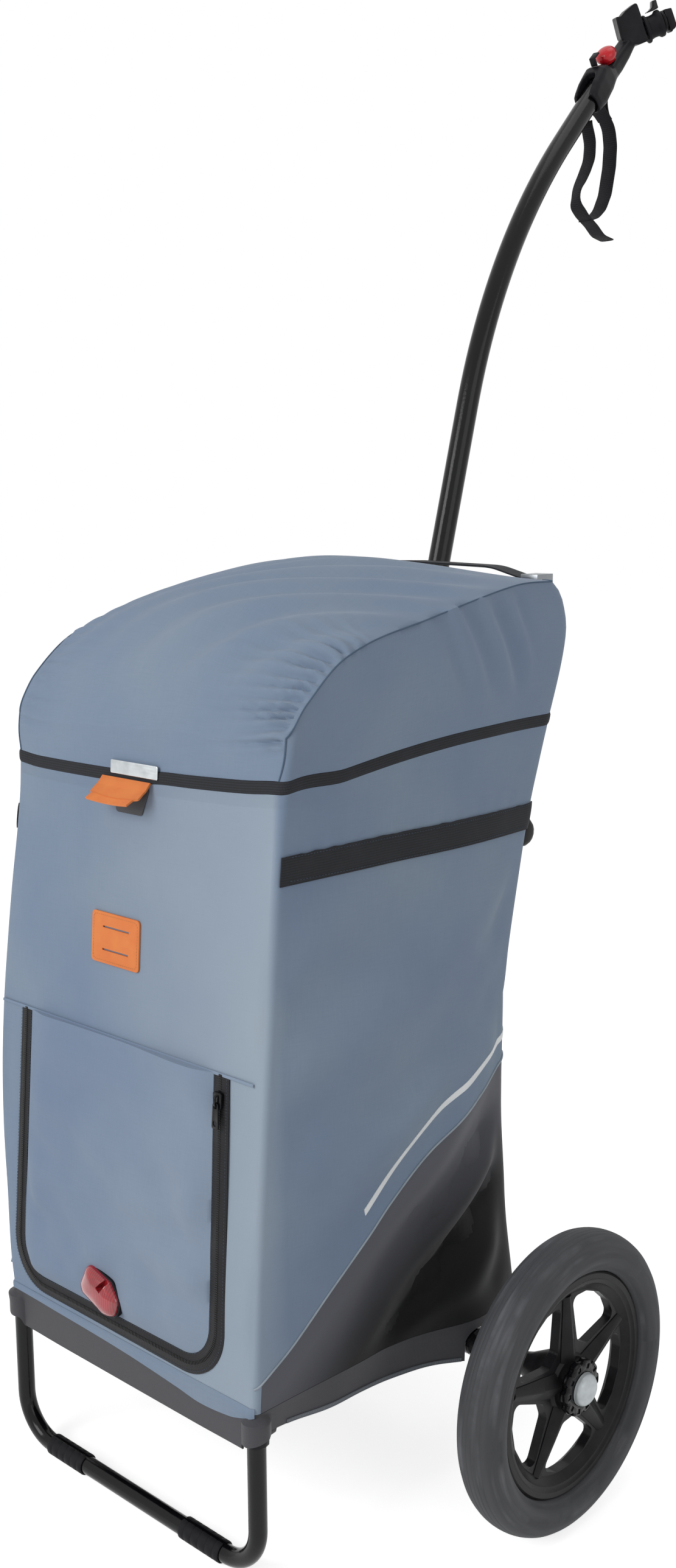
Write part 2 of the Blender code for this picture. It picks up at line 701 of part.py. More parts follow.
def rear_light(panel):
    """The red light on the pocket: a black clip housing under a tear-shaped lens with a notch."""
    spot = (LIGHT_X, -FIT - POCKET_THICKNESS - FIT, panel_height(LIGHT_Z))
    holder = empty("light_holder", spot, panel, (0.0, math.radians(LIGHT_TILT_DEG), 0.0))
    house = [(-LIGHT_HALF_LENGTH, -0.0165), (0.0200, -LIGHT_HALF_WIDTH), (LIGHT_HALF_LENGTH, -0.0125),
             (LIGHT_HALF_LENGTH, 0.0060), (0.0120, LIGHT_HALF_WIDTH), (-0.0260, LIGHT_HALF_WIDTH)]
    shell = prism(rounded(house, 0.0100, 3), -LIGHT_HOUSING_DEPTH, 0.0, "XZ")
    housing = piece("light_housing", shell, "black_plastic", holder)
    bevel(housing, 0.0015, 1)
    rings = []
    ring_count = 4
    for index in range(ring_count):
        angle = math.radians(90.0 * index / ring_count)
        size = LENS_SHARE * math.cos(angle)
        deep = -LIGHT_HOUSING_DEPTH - FIT - LENS_DEPTH * math.sin(angle)
        outline = rounded([(x * size, z * size) for x, z in house], 0.0100 * size, 3)
        rings.append([(x, deep, z) for x, z in outline])
    lens = piece("light_lens", loft(rings), "red_plastic", holder)
    notch_half = 0.0300
    notch = box(0.0035, notch_half, 0.0090)
    notch_spot = (0.0080, -LIGHT_HOUSING_DEPTH - 0.0023 - notch_half, 0.0150)
    boolean(lens, tool(notch, holder, notch_spot, (0.0, math.radians(20.0), 0.0)), "DIFFERENCE")


def tab_backing(panel):
    """The dark patch on the cloth that the leather tab closes onto."""
    low = panel_height(0.7200)
    high = panel_height(0.7490)
    outline = rounded([(-0.0250, low), (0.0140, low), (0.0250, high), (-0.0250, high)], 0.004)
    piece("tab_backing", prism(outline, -FIT - 0.0012, -FIT, "XZ"), "black_fabric", panel, (-0.0080, 0.0, 0.0))


# The lid


def lid_shell(lid):
    """The domed lid: walls, a sloping front and a crowned top, open below and behind."""
    stations = [column for column in half_columns() if column[0] in ("front corner", "side", "back corner")]
    across = 8
    wall_rows = 3
    bm = bmesh.new()

    def seam(column):
        """The seam's point at a station."""
        z = 0.86
        for _ in range(6):
            z = smooth_value(SEAM_LINE, column_point(column, z)[1])
        x, y = column_point(column, z)
        return x, y, z

    def wall(column, share):
        """A point on the side wall, from the band up to the seam."""
        top = seam(column)[2]
        low = band_z(column_point(column, 0.79)[1]) + BAND_HEIGHT + FIT
        z = low + (top - low) * share
        x, y = column_point(column, z)
        return x, y, z

    def section(column):
        """Points over the lid at one station, left rim to right rim."""
        up = [wall(column, row / wall_rows) for row in range(wall_rows)]
        x, y, z = seam(column)
        crown = smooth_value(CROWN_LINE, y)
        points = [(-a, b, c) for a, b, c in up]
        for step in range(across + 1):
            share = 2 * step / across - 1
            points.append((share * x, y, z + crown * (1 - share**2)))
        return points + up[::-1]

    def grid(rows):
        made = [[bm.verts.new(point) for point in row] for row in rows]
        for low, high in zip(made, made[1:]):
            for index in range(len(low) - 1):
                bm.faces.new((low[index], low[index + 1], high[index + 1], high[index]))

    grid([section(column) for column in stations])
    front = stations[0]
    low = wall(front, 0.0)[2]
    top = section(front)[wall_rows:wall_rows + across + 1]
    rows = []
    for row in range(wall_rows + 1):
        edge_x = wall(front, row / wall_rows)[0]
        heights = [low + (point[2] - low) * row / wall_rows for point in top]
        rows.append([(edge_x * (2 * index / across - 1), front_y(z), z) for index, z in enumerate(heights)])
    grid(rows)
    bmesh.ops.translate(bm, verts=bm.verts, vec=(0.0, -LID_HINGE_Y, -LID_HINGE_Z))
    obj = piece("lid", bm, "bag_fabric", lid)
    thick = obj.modifiers.new("Solidify", "SOLIDIFY")
    thick.thickness = LID_WALL
    thick.offset = -1.0


def lid_band(lid):
    """The black binding along the lid's lower edge."""
    kept = ("front", "front corner", "side", "back corner")
    columns = [(column, side) for column, side in ring_columns() if column[0] in kept]
    order = sorted(columns, key=lambda item: item[1] * (1 + half_columns().index(item[0])))
    grids = []
    for inset in (-BAND_PROUD, LID_WALL):
        rows = []
        for rise in (BAND_HEIGHT, 0.0):
            row = []
            for column, side in order:
                low = band_z(column_point(column, 0.79)[1])
                x, y = column_point(column, low + rise, inset)
                row.append((side * x, y - LID_HINGE_Y, low + rise - LID_HINGE_Z))
            rows.append(row)
        grids.append(rows)
    piece("lid_band", slab(*grids), "black_webbing", lid)


def clasp(lid):
    """The metal plate on the front of the lid band, and the leather tab under it."""
    z = 0.7640
    y = front_y(z) - BAND_PROUD - FIT
    outline = rounded([(-0.0350, -0.0068), (0.0350, -0.0068), (0.0350, 0.0068), (-0.0350, 0.0068)], 0.0015, 2)
    spot = (-0.0060, y - LID_HINGE_Y, z - LID_HINGE_Z)
    slope = -math.atan(BAG_FRONT_SLOPE)
    plate = piece("clasp_plate", prism(outline, -0.0016, 0.0, "XZ"), "silver_metal", lid, spot, (slope, 0.0, 0.0))
    bevel(plate, 0.0005, 1)
    tab_z = z - 0.0105
    tab_y = front_y(tab_z) - BAND_PROUD - FIT - 0.0011
    axis = empty("tab_axis", (-0.0165, tab_y - LID_HINGE_Y, tab_z - LID_HINGE_Z), lid)
    tip = (0.0, -0.0265, -0.0205)
    path = rounded([(0.0, 0.0, 0.0), (0.0, -0.0075, -0.0085), (0.0, -0.0165, -0.0155), tip], 0.02, 3, closed=False)
    half = 0.0360
    cut_side = 0.0080
    strip = [(-half, -0.0010), (half, -0.0010), (half, 0.0010), (-half, 0.0010)]
    tab = piece("leather_tab", sweep(path, strip, (1.0, 0.0, 0.0)), "leather", axis)
    for side in (-1, 1):
        corner = prism([(0.0, 0.0), (cut_side, 0.0), (0.0, cut_side)], -0.05, 0.05, "XY")
        for vert in corner.verts:
            vert.co.x = side * (half + 0.001 - vert.co.x)
            vert.co.y = vert.co.y + tip[1] - 0.0010
        boolean(tab, tool(corner, axis), "DIFFERENCE")


# The frame


def foot_frame(frame):
    """The U-shaped foot tube with its two glides and the moulded corner connectors."""
    top = SEAT_Z - CONNECTOR_WALL - FIT
    corners = [(-FOOT_X, FOOT_Y, top), (-FOOT_X, FOOT_Y, FOOT_Z), (FOOT_X, FOOT_Y, FOOT_Z), (FOOT_X, FOOT_Y, top)]
    path = rounded(corners, FOOT_BEND, 5, closed=False)
    bm = sweep(path, circle(FOOT_RADIUS, 10), (0.0, 1.0, 0.0), circle(FOOT_RADIUS - FOOT_WALL, 10))
    piece("foot_tube", bm, "black_powder", frame)
    for name, side in SIDES:
        inner = around(FOOT_RADIUS, FIT, 14)
        outer = FOOT_Z
        profile = [(-GLIDE_LENGTH / 2, inner), (-GLIDE_LENGTH / 2, outer - 0.0006),
                   (-GLIDE_LENGTH / 2 + 0.0010, outer), (GLIDE_LENGTH / 2 - 0.0010, outer),
                   (GLIDE_LENGTH / 2, outer - 0.0006), (GLIDE_LENGTH / 2, inner)]
        glide = piece(f"foot_glide_{name}", lathe(profile, 14, ring=True), "black_rubber", frame,
                      (side * GLIDE_X, FOOT_Y, FOOT_Z))
        slit = box(GLIDE_LENGTH, 0.0022, 0.006)
        boolean(glide, tool(slit, frame, (side * GLIDE_X, FOOT_Y, FOOT_Z + outer)), "DIFFERENCE")
        corner_connector(empty(f"corner_{name}", (0.0, 0.0, 0.0), frame, side=side), name, top)


def corner_connector(corner, name, top):
    """An elbow that plugs the foot tube from below and the side rail from behind."""
    outer = FOOT_RADIUS + CONNECTOR_WALL
    spot = (FOOT_X, FOOT_Y, 0.0)
    body = lathe([(CONNECTOR_LOW_Z, 0.0), (CONNECTOR_LOW_Z, outer - 0.0010), (CONNECTOR_LOW_Z + 0.0010, outer),
                  (SEAT_Z - 0.0020, outer), (SEAT_Z, outer - 0.0020), (SEAT_Z, 0.0)], 12)
    upright = (0.0, -math.pi / 2, 0.0)
    elbow = piece(f"corner_connector_{name}", body, "black_plastic", corner, spot, upright)
    rail_outer = RAIL_RADIUS + CONNECTOR_WALL
    back = CONNECTOR_BACK_Y - FOOT_Y
    lobe = lathe([(0.0, 0.0), (0.0, rail_outer), (back - 0.003, rail_outer), (back, rail_outer - 0.003),
                  (back, 0.0)], 12)
    along_y = (0.0, 0.0, math.pi / 2)
    boolean(elbow, tool(lobe, corner, (RAIL_X, FOOT_Y, AXLE_Z), along_y), "UNION")
    bridge = rounded([(-0.0115, -0.0090), (0.0115, -0.0090), (0.0115, 0.0110), (-0.0115, 0.0110)], 0.003)
    middle = (FOOT_X + RAIL_X) / 2
    boolean(elbow, tool(prism(bridge, -0.0035, 0.0120, "XZ"), corner, (middle, FOOT_Y, AXLE_Z)), "UNION")
    bore = rod(around(FOOT_RADIUS, FIT, 10), 0.10, top + FIT, 10)
    boolean(elbow, tool(bore, corner, spot, upright), "DIFFERENCE")
    socket = rod(around(RAIL_RADIUS, FIT, 10), 0.0130, 0.06, 10)
    boolean(elbow, tool(socket, corner, (RAIL_X, FOOT_Y, AXLE_Z), along_y), "DIFFERENCE")


def axle_parts(frame):
    """The axle tube, the rails to the foot frame and the brackets that hold rails, axle and uprights."""
    outer = circle(AXLE_TUBE_RADIUS, 18)
    inner = circle(AXLE_TUBE_RADIUS - AXLE_TUBE_WALL, 18)
    bm = sweep([(-AXLE_TUBE_HALF, 0.0, 0.0), (AXLE_TUBE_HALF, 0.0, 0.0)], outer, (0.0, 1.0, 0.0), inner)
    piece("axle_tube", bm, "black_powder", frame, (0.0, 0.0, AXLE_Z))
    rail_start = FOOT_Y + 0.0130 + FIT
    rail_end = -BARREL_OUTER - 0.0015
    for name, side in SIDES:
        ring = circle(RAIL_RADIUS, 10)
        hole = circle(RAIL_RADIUS - FOOT_WALL, 10)
        rail = sweep([(0.0, rail_start, 0.0), (0.0, rail_end, 0.0)], ring, (1.0, 0.0, 0.0), hole)
        piece(f"side_rail_{name}", rail, "black_powder", frame, (side * RAIL_X, 0.0, AXLE_Z))
        axle_bracket(empty(f"bracket_{name}", (0.0, 0.0, 0.0), frame, side=side), name, rail_end)


def axle_bracket(holder, name, rail_end):
    """A moulded bracket: a barrel round the axle tube, a rail socket in front and an upright socket behind."""
    half = 0.0125
    middle = RAIL_X + 0.0015
    ring = [(-half, 0.0), (-half, BARREL_OUTER - 0.001), (1e-3 - half, BARREL_OUTER),
            (half - 1e-3, BARREL_OUTER), (half, BARREL_OUTER - 0.001), (half, 0.0)]
    bracket = piece(f"axle_bracket_{name}", lathe(ring, 18), "black_plastic", holder, (middle, 0.0, AXLE_Z))
    rail_outer = RAIL_RADIUS + SOCKET_WALL
    mouth = rail_end - SOCKET_DEPTH
    along_y = (0.0, 0.0, math.pi / 2)
    sleeve = rod(rail_outer, mouth, -0.004, 12)
    boolean(bracket, tool(sleeve, holder, (RAIL_X, 0.0, AXLE_Z), along_y), "UNION")
    post_outer = RAIL_RADIUS + SOCKET_WALL
    floor = UPRIGHT_FOOT_Z - FIT - SOCKET_WALL
    post = rod(post_outer, floor, SEAT_Z - 0.001, 12)
    upright = (0.0, -math.pi / 2, 0.0)
    boolean(bracket, tool(post, holder, (UPRIGHT_X, UPRIGHT_Y, 0.0), upright), "UNION")
    arm = rounded([(0.0050, -0.0140), (UPRIGHT_Y, -0.0190), (UPRIGHT_Y, 0.0120), (0.0050, 0.0160)], 0.003)
    web = prism(arm, -0.0058, 0.0066)
    boolean(bracket, tool(web, holder, ((UPRIGHT_X + 0.0050), 0.0, AXLE_Z)), "UNION")
    bore = rod(around(AXLE_TUBE_RADIUS, FIT, 18), -0.03, 0.03, 18)
    boolean(bracket, tool(bore, holder, (middle, 0.0, AXLE_Z)), "DIFFERENCE")
    rail_bore = rod(around(RAIL_RADIUS, FIT, 10), mouth - 0.01, rail_end + FIT, 10)
    boolean(bracket, tool(rail_bore, holder, (RAIL_X, 0.0, AXLE_Z), along_y), "DIFFERENCE")
    post_bore = rod(around(RAIL_RADIUS, FIT, 10), UPRIGHT_FOOT_Z - FIT, 0.25, 10)
    boolean(bracket, tool(post_bore, holder, (UPRIGHT_X, UPRIGHT_Y, 0.0), upright), "DIFFERENCE")


def uprights(frame, mast):
    """The two uprights, which lean back above the bag's waist, and the plugs in their tops."""
    for name, side in SIDES:
        top = Vector((0.0, UPRIGHT_TOP * math.sin(LEAN), LEAN_Z + UPRIGHT_TOP * math.cos(LEAN)))
        path = rounded([(0.0, 0.0, UPRIGHT_FOOT_Z), (0.0, 0.0, LEAN_Z), tuple(top)], UPRIGHT_BEND, 3, closed=False)
        ring = circle(RAIL_RADIUS, 10)
        hole = circle(RAIL_RADIUS - FOOT_WALL, 10)
        bm = sweep(path, ring, (1.0, 0.0, 0.0), hole)
        piece(f"upright_{name}", bm, "black_powder", frame, (side * UPRIGHT_X, UPRIGHT_Y, 0.0))
        plug = RAIL_RADIUS - FOOT_WALL - FIT
        profile = [(-0.014, 0.0), (-0.014, plug * 0.96), (FIT, plug * 0.96), (FIT, RAIL_RADIUS),
                   (0.0035, RAIL_RADIUS), (0.0060, RAIL_RADIUS * 0.7), (0.0070, 0.0)]
        piece(f"upright_plug_{name}", lathe(profile, 12), "black_plastic", mast,
              (side * UPRIGHT_X, 0.0, UPRIGHT_TOP), (0.0, -math.pi / 2, 0.0))


def crossbar(mast, name, up, half, through):
    """A moulded bar across the uprights, with a bore for each and one for the tow bar."""
    tall = CROSSBAR_HEIGHT / 2
    deep = CROSSBAR_DEPTH / 2
    outline = rounded([(-deep, -tall), (deep, -tall), (deep, tall), (-deep, tall)], 0.009, 2)
    bar = piece(name, prism(outline, -half, half), "black_plastic", mast, (0.0, 0.0, up))
    upward = (0.0, -math.pi / 2, 0.0)
    for _, side in SIDES:
        bore = rod(around(RAIL_RADIUS, FIT, 10), -0.05, 0.05, 10)
        boolean(bar, tool(bore, mast, (side * UPRIGHT_X, 0.0, up), upward), "DIFFERENCE")
    low = -0.05 if through else TOW_FOOT_UP - up - 2 * FIT
    bore = rod(around(TOW_RADIUS, SLIDING, 16), low, 0.05, 16)
    boolean(bar, tool(bore, mast, (0.0, 0.0, up), upward), "DIFFERENCE")
    return bar


def crossbars(mast):
    """Both crossbars, the clamp knob and the round caps on the ends of the upper bar."""
    upper = crossbar(mast, "crossbar", CROSSBAR_UP, CROSSBAR_HALF, True)
    clamp_knob(mast, upper)
    crossbar(mast, "lower_crossbar", LOWER_CROSSBAR_UP, LOWER_CROSSBAR_HALF, False)
    for name, side in SIDES:
        profile = [(0.0, 0.0), (0.0, END_CAP_RADIUS), (END_CAP_LENGTH - 0.004, END_CAP_RADIUS),
                   (END_CAP_LENGTH - 0.001, END_CAP_RADIUS - 0.0025), (END_CAP_LENGTH, END_CAP_RADIUS - 0.006),
                   (END_CAP_LENGTH, 0.0)]
        turn = (0.0, 0.0, 0.0 if side > 0 else math.pi)
        piece(f"crossbar_cap_{name}", lathe(profile, 16), "black_plastic", mast,
              (side * (CROSSBAR_HALF + FIT), END_CAP_BACK, CROSSBAR_UP), turn)


def clamp_knob(mast, upper):
    """The star knob behind the upper crossbar, whose screw pinches the tow bar."""
    axis = empty("clamp_axis", (0.0, CROSSBAR_DEPTH / 2, CROSSBAR_UP), mast, (0.0, 0.0, math.pi / 2))
    reach = CROSSBAR_DEPTH / 2 - TOW_RADIUS - 2 * SLIDING
    hole = rod(around(CLAMP_SCREW_RADIUS, SLIDING, 12), -reach - 0.004, 0.01, 12)
    boolean(upper, tool(hole, axis), "DIFFERENCE")
    base = SLIDING + 0.0070
    profile = [(-reach, 0.0), (-reach, CLAMP_SCREW_RADIUS), (SLIDING, CLAMP_SCREW_RADIUS), (SLIDING, 0.0065),
               (base, 0.0065), (base, CLAMP_KNOB_RADIUS - 0.0015), (base + 0.0080, CLAMP_KNOB_RADIUS),
               (base + 0.0110, CLAMP_KNOB_RADIUS - 0.0025), (base + 0.0110, 0.0)]
    knob = piece("clamp_knob", lathe(profile, 12), "black_plastic", axis)
    for step in range(6):
        turn = 2 * math.pi * step / 6
        flute = rod(0.0040, base - 0.002, 0.03, 6)
        spot = (0.0, (CLAMP_KNOB_RADIUS + 0.002) * math.cos(turn), (CLAMP_KNOB_RADIUS + 0.002) * math.sin(turn))
        boolean(knob, tool(flute, axis, spot), "DIFFERENCE")


# The wheels


def wheel_disc(wheel, name):
    """The moulded wheel: rim channel, web with five rounded windows, ridged spokes and a conical hub."""
    half = RIM_WIDTH / 2
    bed = RIM_BED_RADIUS
    bore = around(BUSHING_RADIUS, FIT, 20)
    profile = [
        (-half, RIM_RADIUS), (RIM_LIP - half, bed), (half - RIM_LIP, bed), (half, RIM_RADIUS),
        (half + 0.0010, (RIM_RADIUS + bed) / 2 - 0.0050), (half - 0.0025, RIM_INNER_RADIUS + 0.0050),
        (WEB_HALF, RIM_INNER_RADIUS), (WEB_HALF, HUB_RADIUS),
        (HUB_OUTER_X, HUB_RADIUS - 0.001), (HUB_OUTER_X, bore), (HUB_INNER_X, bore), (HUB_INNER_X, HUB_NOSE_RADIUS),
        (-0.0180, HUB_RADIUS - 0.001), (-WEB_HALF, HUB_RADIUS + 0.001),
        (-WEB_HALF, RIM_INNER_RADIUS), (-half, RIM_INNER_RADIUS + 0.004),
    ]
    disc = piece(f"wheel_disc_{name}", lathe(profile, 25, ring=True), "black_plastic", wheel)
    windows = bmesh.new()
    ridges = bmesh.new()
    pitch = 2 * math.pi / SPOKE_COUNT
    inner_r, outer_r = 0.0420, RIM_INNER_RADIUS - 0.0045
    for step in range(SPOKE_COUNT):
        spoke = math.radians(SPOKE_START_DEG) + step * pitch
        middle = spoke + pitch / 2
        corners = []
        for radius, swing_deg in ((inner_r, -13.0), (outer_r, -30.0), (outer_r + 0.0014, -11.0),
                                  (outer_r + 0.0014, 11.0), (outer_r, 30.0), (inner_r, 13.0)):
            angle = middle + math.radians(swing_deg)
            corners.append((radius * math.cos(angle), radius * math.sin(angle)))
        add_prism(windows, rounded(corners, 0.0070, 1), -0.03, 0.03)
        add_ridge(ridges, spoke)
    boolean(disc, tool(windows, wheel), "DIFFERENCE")
    boolean(disc, tool(ridges, wheel), "UNION")


def add_prism(bm, outline, low, high):
    """Adds one closed prism along X to a bmesh."""
    rings = [[bm.verts.new((x, a, b)) for a, b in outline] for x in (low, high)]
    count = len(outline)
    for index in range(count):
        after = (index + 1) % count
        bm.faces.new((rings[0][index], rings[0][after], rings[1][after], rings[1][index]))
    bm.faces.new(rings[0])
    bm.faces.new(rings[1])


def add_ridge(bm, angle):
    """Adds the roof-shaped ridge of one spoke, wide and high at the hub and narrow at the rim."""
    ends = []
    for radius, half_width, height in ((HUB_RADIUS - 0.004, 0.0125, SPOKE_RIDGE + 0.0010),
                                       (RIM_INNER_RADIUS + 0.0015, 0.0068, 0.0035)):
        along = Vector((0.0, math.cos(angle), math.sin(angle)))
        across = Vector((0.0, -math.sin(angle), math.cos(angle)))
        base = along * radius
        low = Vector((WEB_HALF - 0.0020, 0.0, 0.0))
        shoulder = Vector((WEB_HALF + 0.0006, 0.0, 0.0))
        crest = Vector((WEB_HALF + height, 0.0, 0.0))
        outline = [base + low - across * half_width, base + low + across * half_width,
                   base + shoulder + across * half_width, base + crest + across * 0.0008,
                   base + crest - across * 0.0008, base + shoulder - across * half_width]
        ends.append([bm.verts.new(point) for point in outline])
    count = len(ends[0])
    for index in range(count):
        after = (index + 1) % count
        bm.faces.new((ends[0][index], ends[0][after], ends[1][after], ends[1][index]))
    bm.faces.new(ends[0])
    bm.faces.new(ends[1])


def tyre(wheel, name):
    """The black tyre, seated in the rim channel."""
    half = TYRE_WIDTH / 2
    tall = WHEEL_RADIUS - RIM_RADIUS
    foot = RIM_WIDTH / 2 - RIM_LIP - 2 * FIT
    side = [(foot, around(RIM_BED_RADIUS, FIT, 30)), (foot + 0.0010, RIM_RADIUS + 0.0008)]
    for width, height in ((0.66, 0.09), (0.98, 0.32), (0.94, 0.64), (0.60, 0.91), (0.18, 1.0)):
        side.append((half * width, RIM_RADIUS + tall * height))
    profile = side + [(-along, radius) for along, radius in side[::-1]]
    piece(f"tyre_{name}", lathe(profile, 30, ring=True), "tyre", wheel)


def hub_cap(wheel, name, start):
    """The black cap with finger lobes, dished round the push button."""
    outline = []
    for step in range(CAP_LOBES):
        middle = 360.0 * (step + 0.5) / CAP_LOBES
        for swing, radius in ((-13.0, CAP_RADIUS), (-6.0, CAP_RADIUS), (6.0, CAP_RADIUS), (13.0, CAP_RADIUS - 0.0030)):
            angle = math.radians(middle + swing)
            outline.append((radius * math.cos(angle), radius * math.sin(angle)))
    low = [(start, a, b) for a, b in outline]
    high = [(start + CAP_DEPTH, a * 0.93, b * 0.93) for a, b in outline]
    cap = piece(f"hub_cap_{name}", loft([low, high]), "black_plastic", wheel)
    dish = lathe([(start + 0.003, 0.0), (start + 0.003, BUTTON_RADIUS + 0.0006),
                  (start + 0.03, BUTTON_RADIUS + 0.0006), (start + 0.03, 0.0)], 18)
    boolean(cap, tool(dish, wheel), "DIFFERENCE")
    bore = rod(around(AXLE_RADIUS, 4 * SLIDING, 12), start - 0.01, start + 0.01, 12)
    boolean(cap, tool(bore, wheel), "DIFFERENCE")


def wheel_small_parts(frame, wheel, name, side):
    """The bushing, the lobed hub cap, the fixed axle stub and the push button in its end."""
    bore = around(AXLE_RADIUS, RUNNING, 12)
    inner_end = HUB_INNER_X - FIT
    profile = [(inner_end, bore), (inner_end - 0.0020, bore), (inner_end - 0.0020, 0.0120), (inner_end, 0.0120),
               (inner_end, BUSHING_RADIUS), (HUB_OUTER_X, BUSHING_RADIUS), (HUB_OUTER_X, bore)]
    piece(f"wheel_bushing_{name}", lathe(profile, 12, ring=True), "board", wheel)
    start = HUB_OUTER_X + FIT
    hub_cap(wheel, name, start)
    hub = Vector((side * WHEEL_X, 0.0, AXLE_Z))
    turn = (0.0, 0.0, 0.0 if side > 0 else math.pi)
    fixed = empty(f"axle_place_{name}", hub, frame, turn)
    inner_start = -(WHEEL_X - AXLE_TUBE_HALF) - 0.040
    button_hole = around(0.0035, 2 * SLIDING, 12)
    plug = AXLE_TUBE_RADIUS - AXLE_TUBE_WALL - FIT
    tube_end = -(WHEEL_X - AXLE_TUBE_HALF)
    stub = [(inner_start, button_hole), (inner_start, plug * 0.985), (tube_end - 0.002, plug * 0.985),
            (tube_end + FIT, plug * 0.985), (tube_end + FIT, AXLE_TUBE_RADIUS), (tube_end + 0.004, AXLE_TUBE_RADIUS),
            (tube_end + 0.006, 0.0095), (inner_end - 0.0030, 0.0095), (inner_end - 0.0030, AXLE_RADIUS),
            (start + 0.0035, AXLE_RADIUS), (start + 0.0035, button_hole)]
    piece(f"axle_stub_{name}", lathe(stub, 12, ring=True), "steel", fixed)
    travel = empty(f"button_travel_{name}", (0.0, 0.0, 0.0), fixed)
    seat = start + 0.0035 + BUTTON_TRAVEL + 0.0010
    dome = [(-0.030, 0.0), (-0.030, 0.0035), (seat, 0.0035), (seat, BUTTON_RADIUS - 0.0006),
            (seat + 0.0015, BUTTON_RADIUS), (seat + 0.0045, BUTTON_RADIUS - 0.0015),
            (seat + 0.0085, BUTTON_RADIUS * 0.72), (seat + 0.0105, BUTTON_RADIUS * 0.36), (seat + 0.0110, 0.0)]
    piece(f"release_button_{name}", lathe(dome, 14), "silver_metal", travel)


def wheels(frame):
    """Both wheels, each about an empty on its own axis."""
    for name, side in SIDES:
        turn = (0.0, 0.0, 0.0 if side > 0 else math.pi)
        wheel = empty(f"wheel_{name}", (side * WHEEL_X, 0.0, AXLE_Z), frame, turn)
        wheel_disc(wheel, name)
        tyre(wheel, name)
        wheel_small_parts(frame, wheel, name, side)


# The tow bar and its coupling


def tow_path():
    """The tow bar's centre line in the mast's own frame: straight, one long bend, straight."""
    start_up = (TOW_BEND_Z - LEAN_Z) / math.cos(LEAN)
    points = [(0.0, 0.0, TOW_FOOT_UP)]
    steps = 8
    for step in range(steps + 1):
        angle = math.radians(TOW_BEND_DEG) * step / steps
        points.append((0.0, TOW_BEND_RADIUS * (1 - math.cos(angle)), start_up + TOW_BEND_RADIUS * math.sin(angle)))
    turn = math.radians(TOW_BEND_DEG)
    end = Vector(points[-1]) + Vector((0.0, math.sin(turn), math.cos(turn))) * TOW_STRAIGHT
    return points + [tuple(end)]


def tow_bar(mast):
    """The long bent tube, whose foot stands in the lower crossbar."""
    bm = sweep(tow_path(), circle(TOW_RADIUS, 12), (1.0, 0.0, 0.0), circle(TOW_RADIUS - TOW_WALL, 12))
    return piece("tow_bar", bm, "black_powder", mast)


def arm_rings():
    """The arm's rounded sections up the tow bar's end, each by height, half width, front, back and corner."""
    sections = (
        (0.0040, 0.0150, -0.0140, 0.0130, 0.0070), (0.0100, 0.0160, -0.0162, 0.0140, 0.0080),
        (0.0220, 0.0160, -0.0193, 0.0157, 0.0080), (0.0360, 0.0158, -0.0208, 0.0142, 0.0080),
        (0.0450, 0.0150, -0.0218, 0.0140, 0.0078), (0.0540, 0.0143, -0.0175, 0.0116, 0.0070),
        (0.0600, 0.0130, -0.0104, 0.0108, 0.0060), (0.0660, 0.0115, -0.0072, 0.0114, 0.0055),
        (0.0800, 0.0105, -0.0070, 0.0125, 0.0050), (0.1030, 0.0102, -0.0066, 0.0114, 0.0048),
        (0.1180, 0.0104, -0.0058, 0.0090, 0.0048), (0.1320, 0.0104, -0.0052, 0.0088, 0.0048),
    )
    rings = []
    for height, half, front, back, corner in sections:
        outline = rounded([(-half, front), (half, front), (half, back), (-half, back)], corner, 3)
        rings.append([(point.x, point.y, height) for point in outline])
    return rings


def coupling(mast):
    """The moulded coupling on the tow bar's end: two cheeks, an arm and a jaw, with its knob and its hitch."""
    tip = Vector(tow_path()[-1])
    turn = math.radians(TOW_BEND_DEG)
    ahead = Vector((0.0, math.sin(turn), math.cos(turn)))
    head = empty("coupling_place", tip - ahead * TOW_INSERT, mast, (-turn, 0.0, 0.0))
    aim_turn = (-math.radians(HITCH_TILT_DEG), 0.0, -math.radians(HITCH_TURN_DEG))
    aim = empty("hitch_aim", HITCH_SPOT, head, aim_turn)
    swivel = empty("swivel_axis", (0.0, 0.0, 0.0), aim, (0.0, 0.0, math.radians(HITCH_ROLL_DEG)))
    arm = piece("coupling_arm", loft(arm_rings()), "black_plastic", head)
    jaw_outline = [(-0.0022, -0.0318), (-0.0281, -0.0296), (-0.0262, -0.0232), (-0.0300, -0.0160),
                   (-0.0333, -0.0022), (-0.0315, 0.0), (0.0130, 0.0), (0.0125, -0.0133), (0.0060, -0.0265)]
    jaw = tool(prism(jaw_outline, -JAW_HALF, JAW_HALF), swivel)
    bevel(jaw, 0.0025, 2)
    boolean(arm, jaw, "UNION")
    bore = rod(around(TOW_RADIUS, FIT, 18), -0.03, TOW_INSERT + FIT, 18)
    boolean(arm, tool(bore, head, (0.0, 0.0, 0.0), (0.0, -math.pi / 2, 0.0)), "DIFFERENCE")
    slot = [(-0.0085, -0.0100), (0.0085, -0.0100), (0.0085, 0.0290), (0.0050, 0.0360), (-0.0050, 0.0360),
            (-0.0085, 0.0290)]
    boolean(arm, tool(prism(slot, -0.04, -0.0030, "XZ"), head), "DIFFERENCE")
    release_knob(head, arm)
    hitch(arm, swivel)
    safety_strap(head)


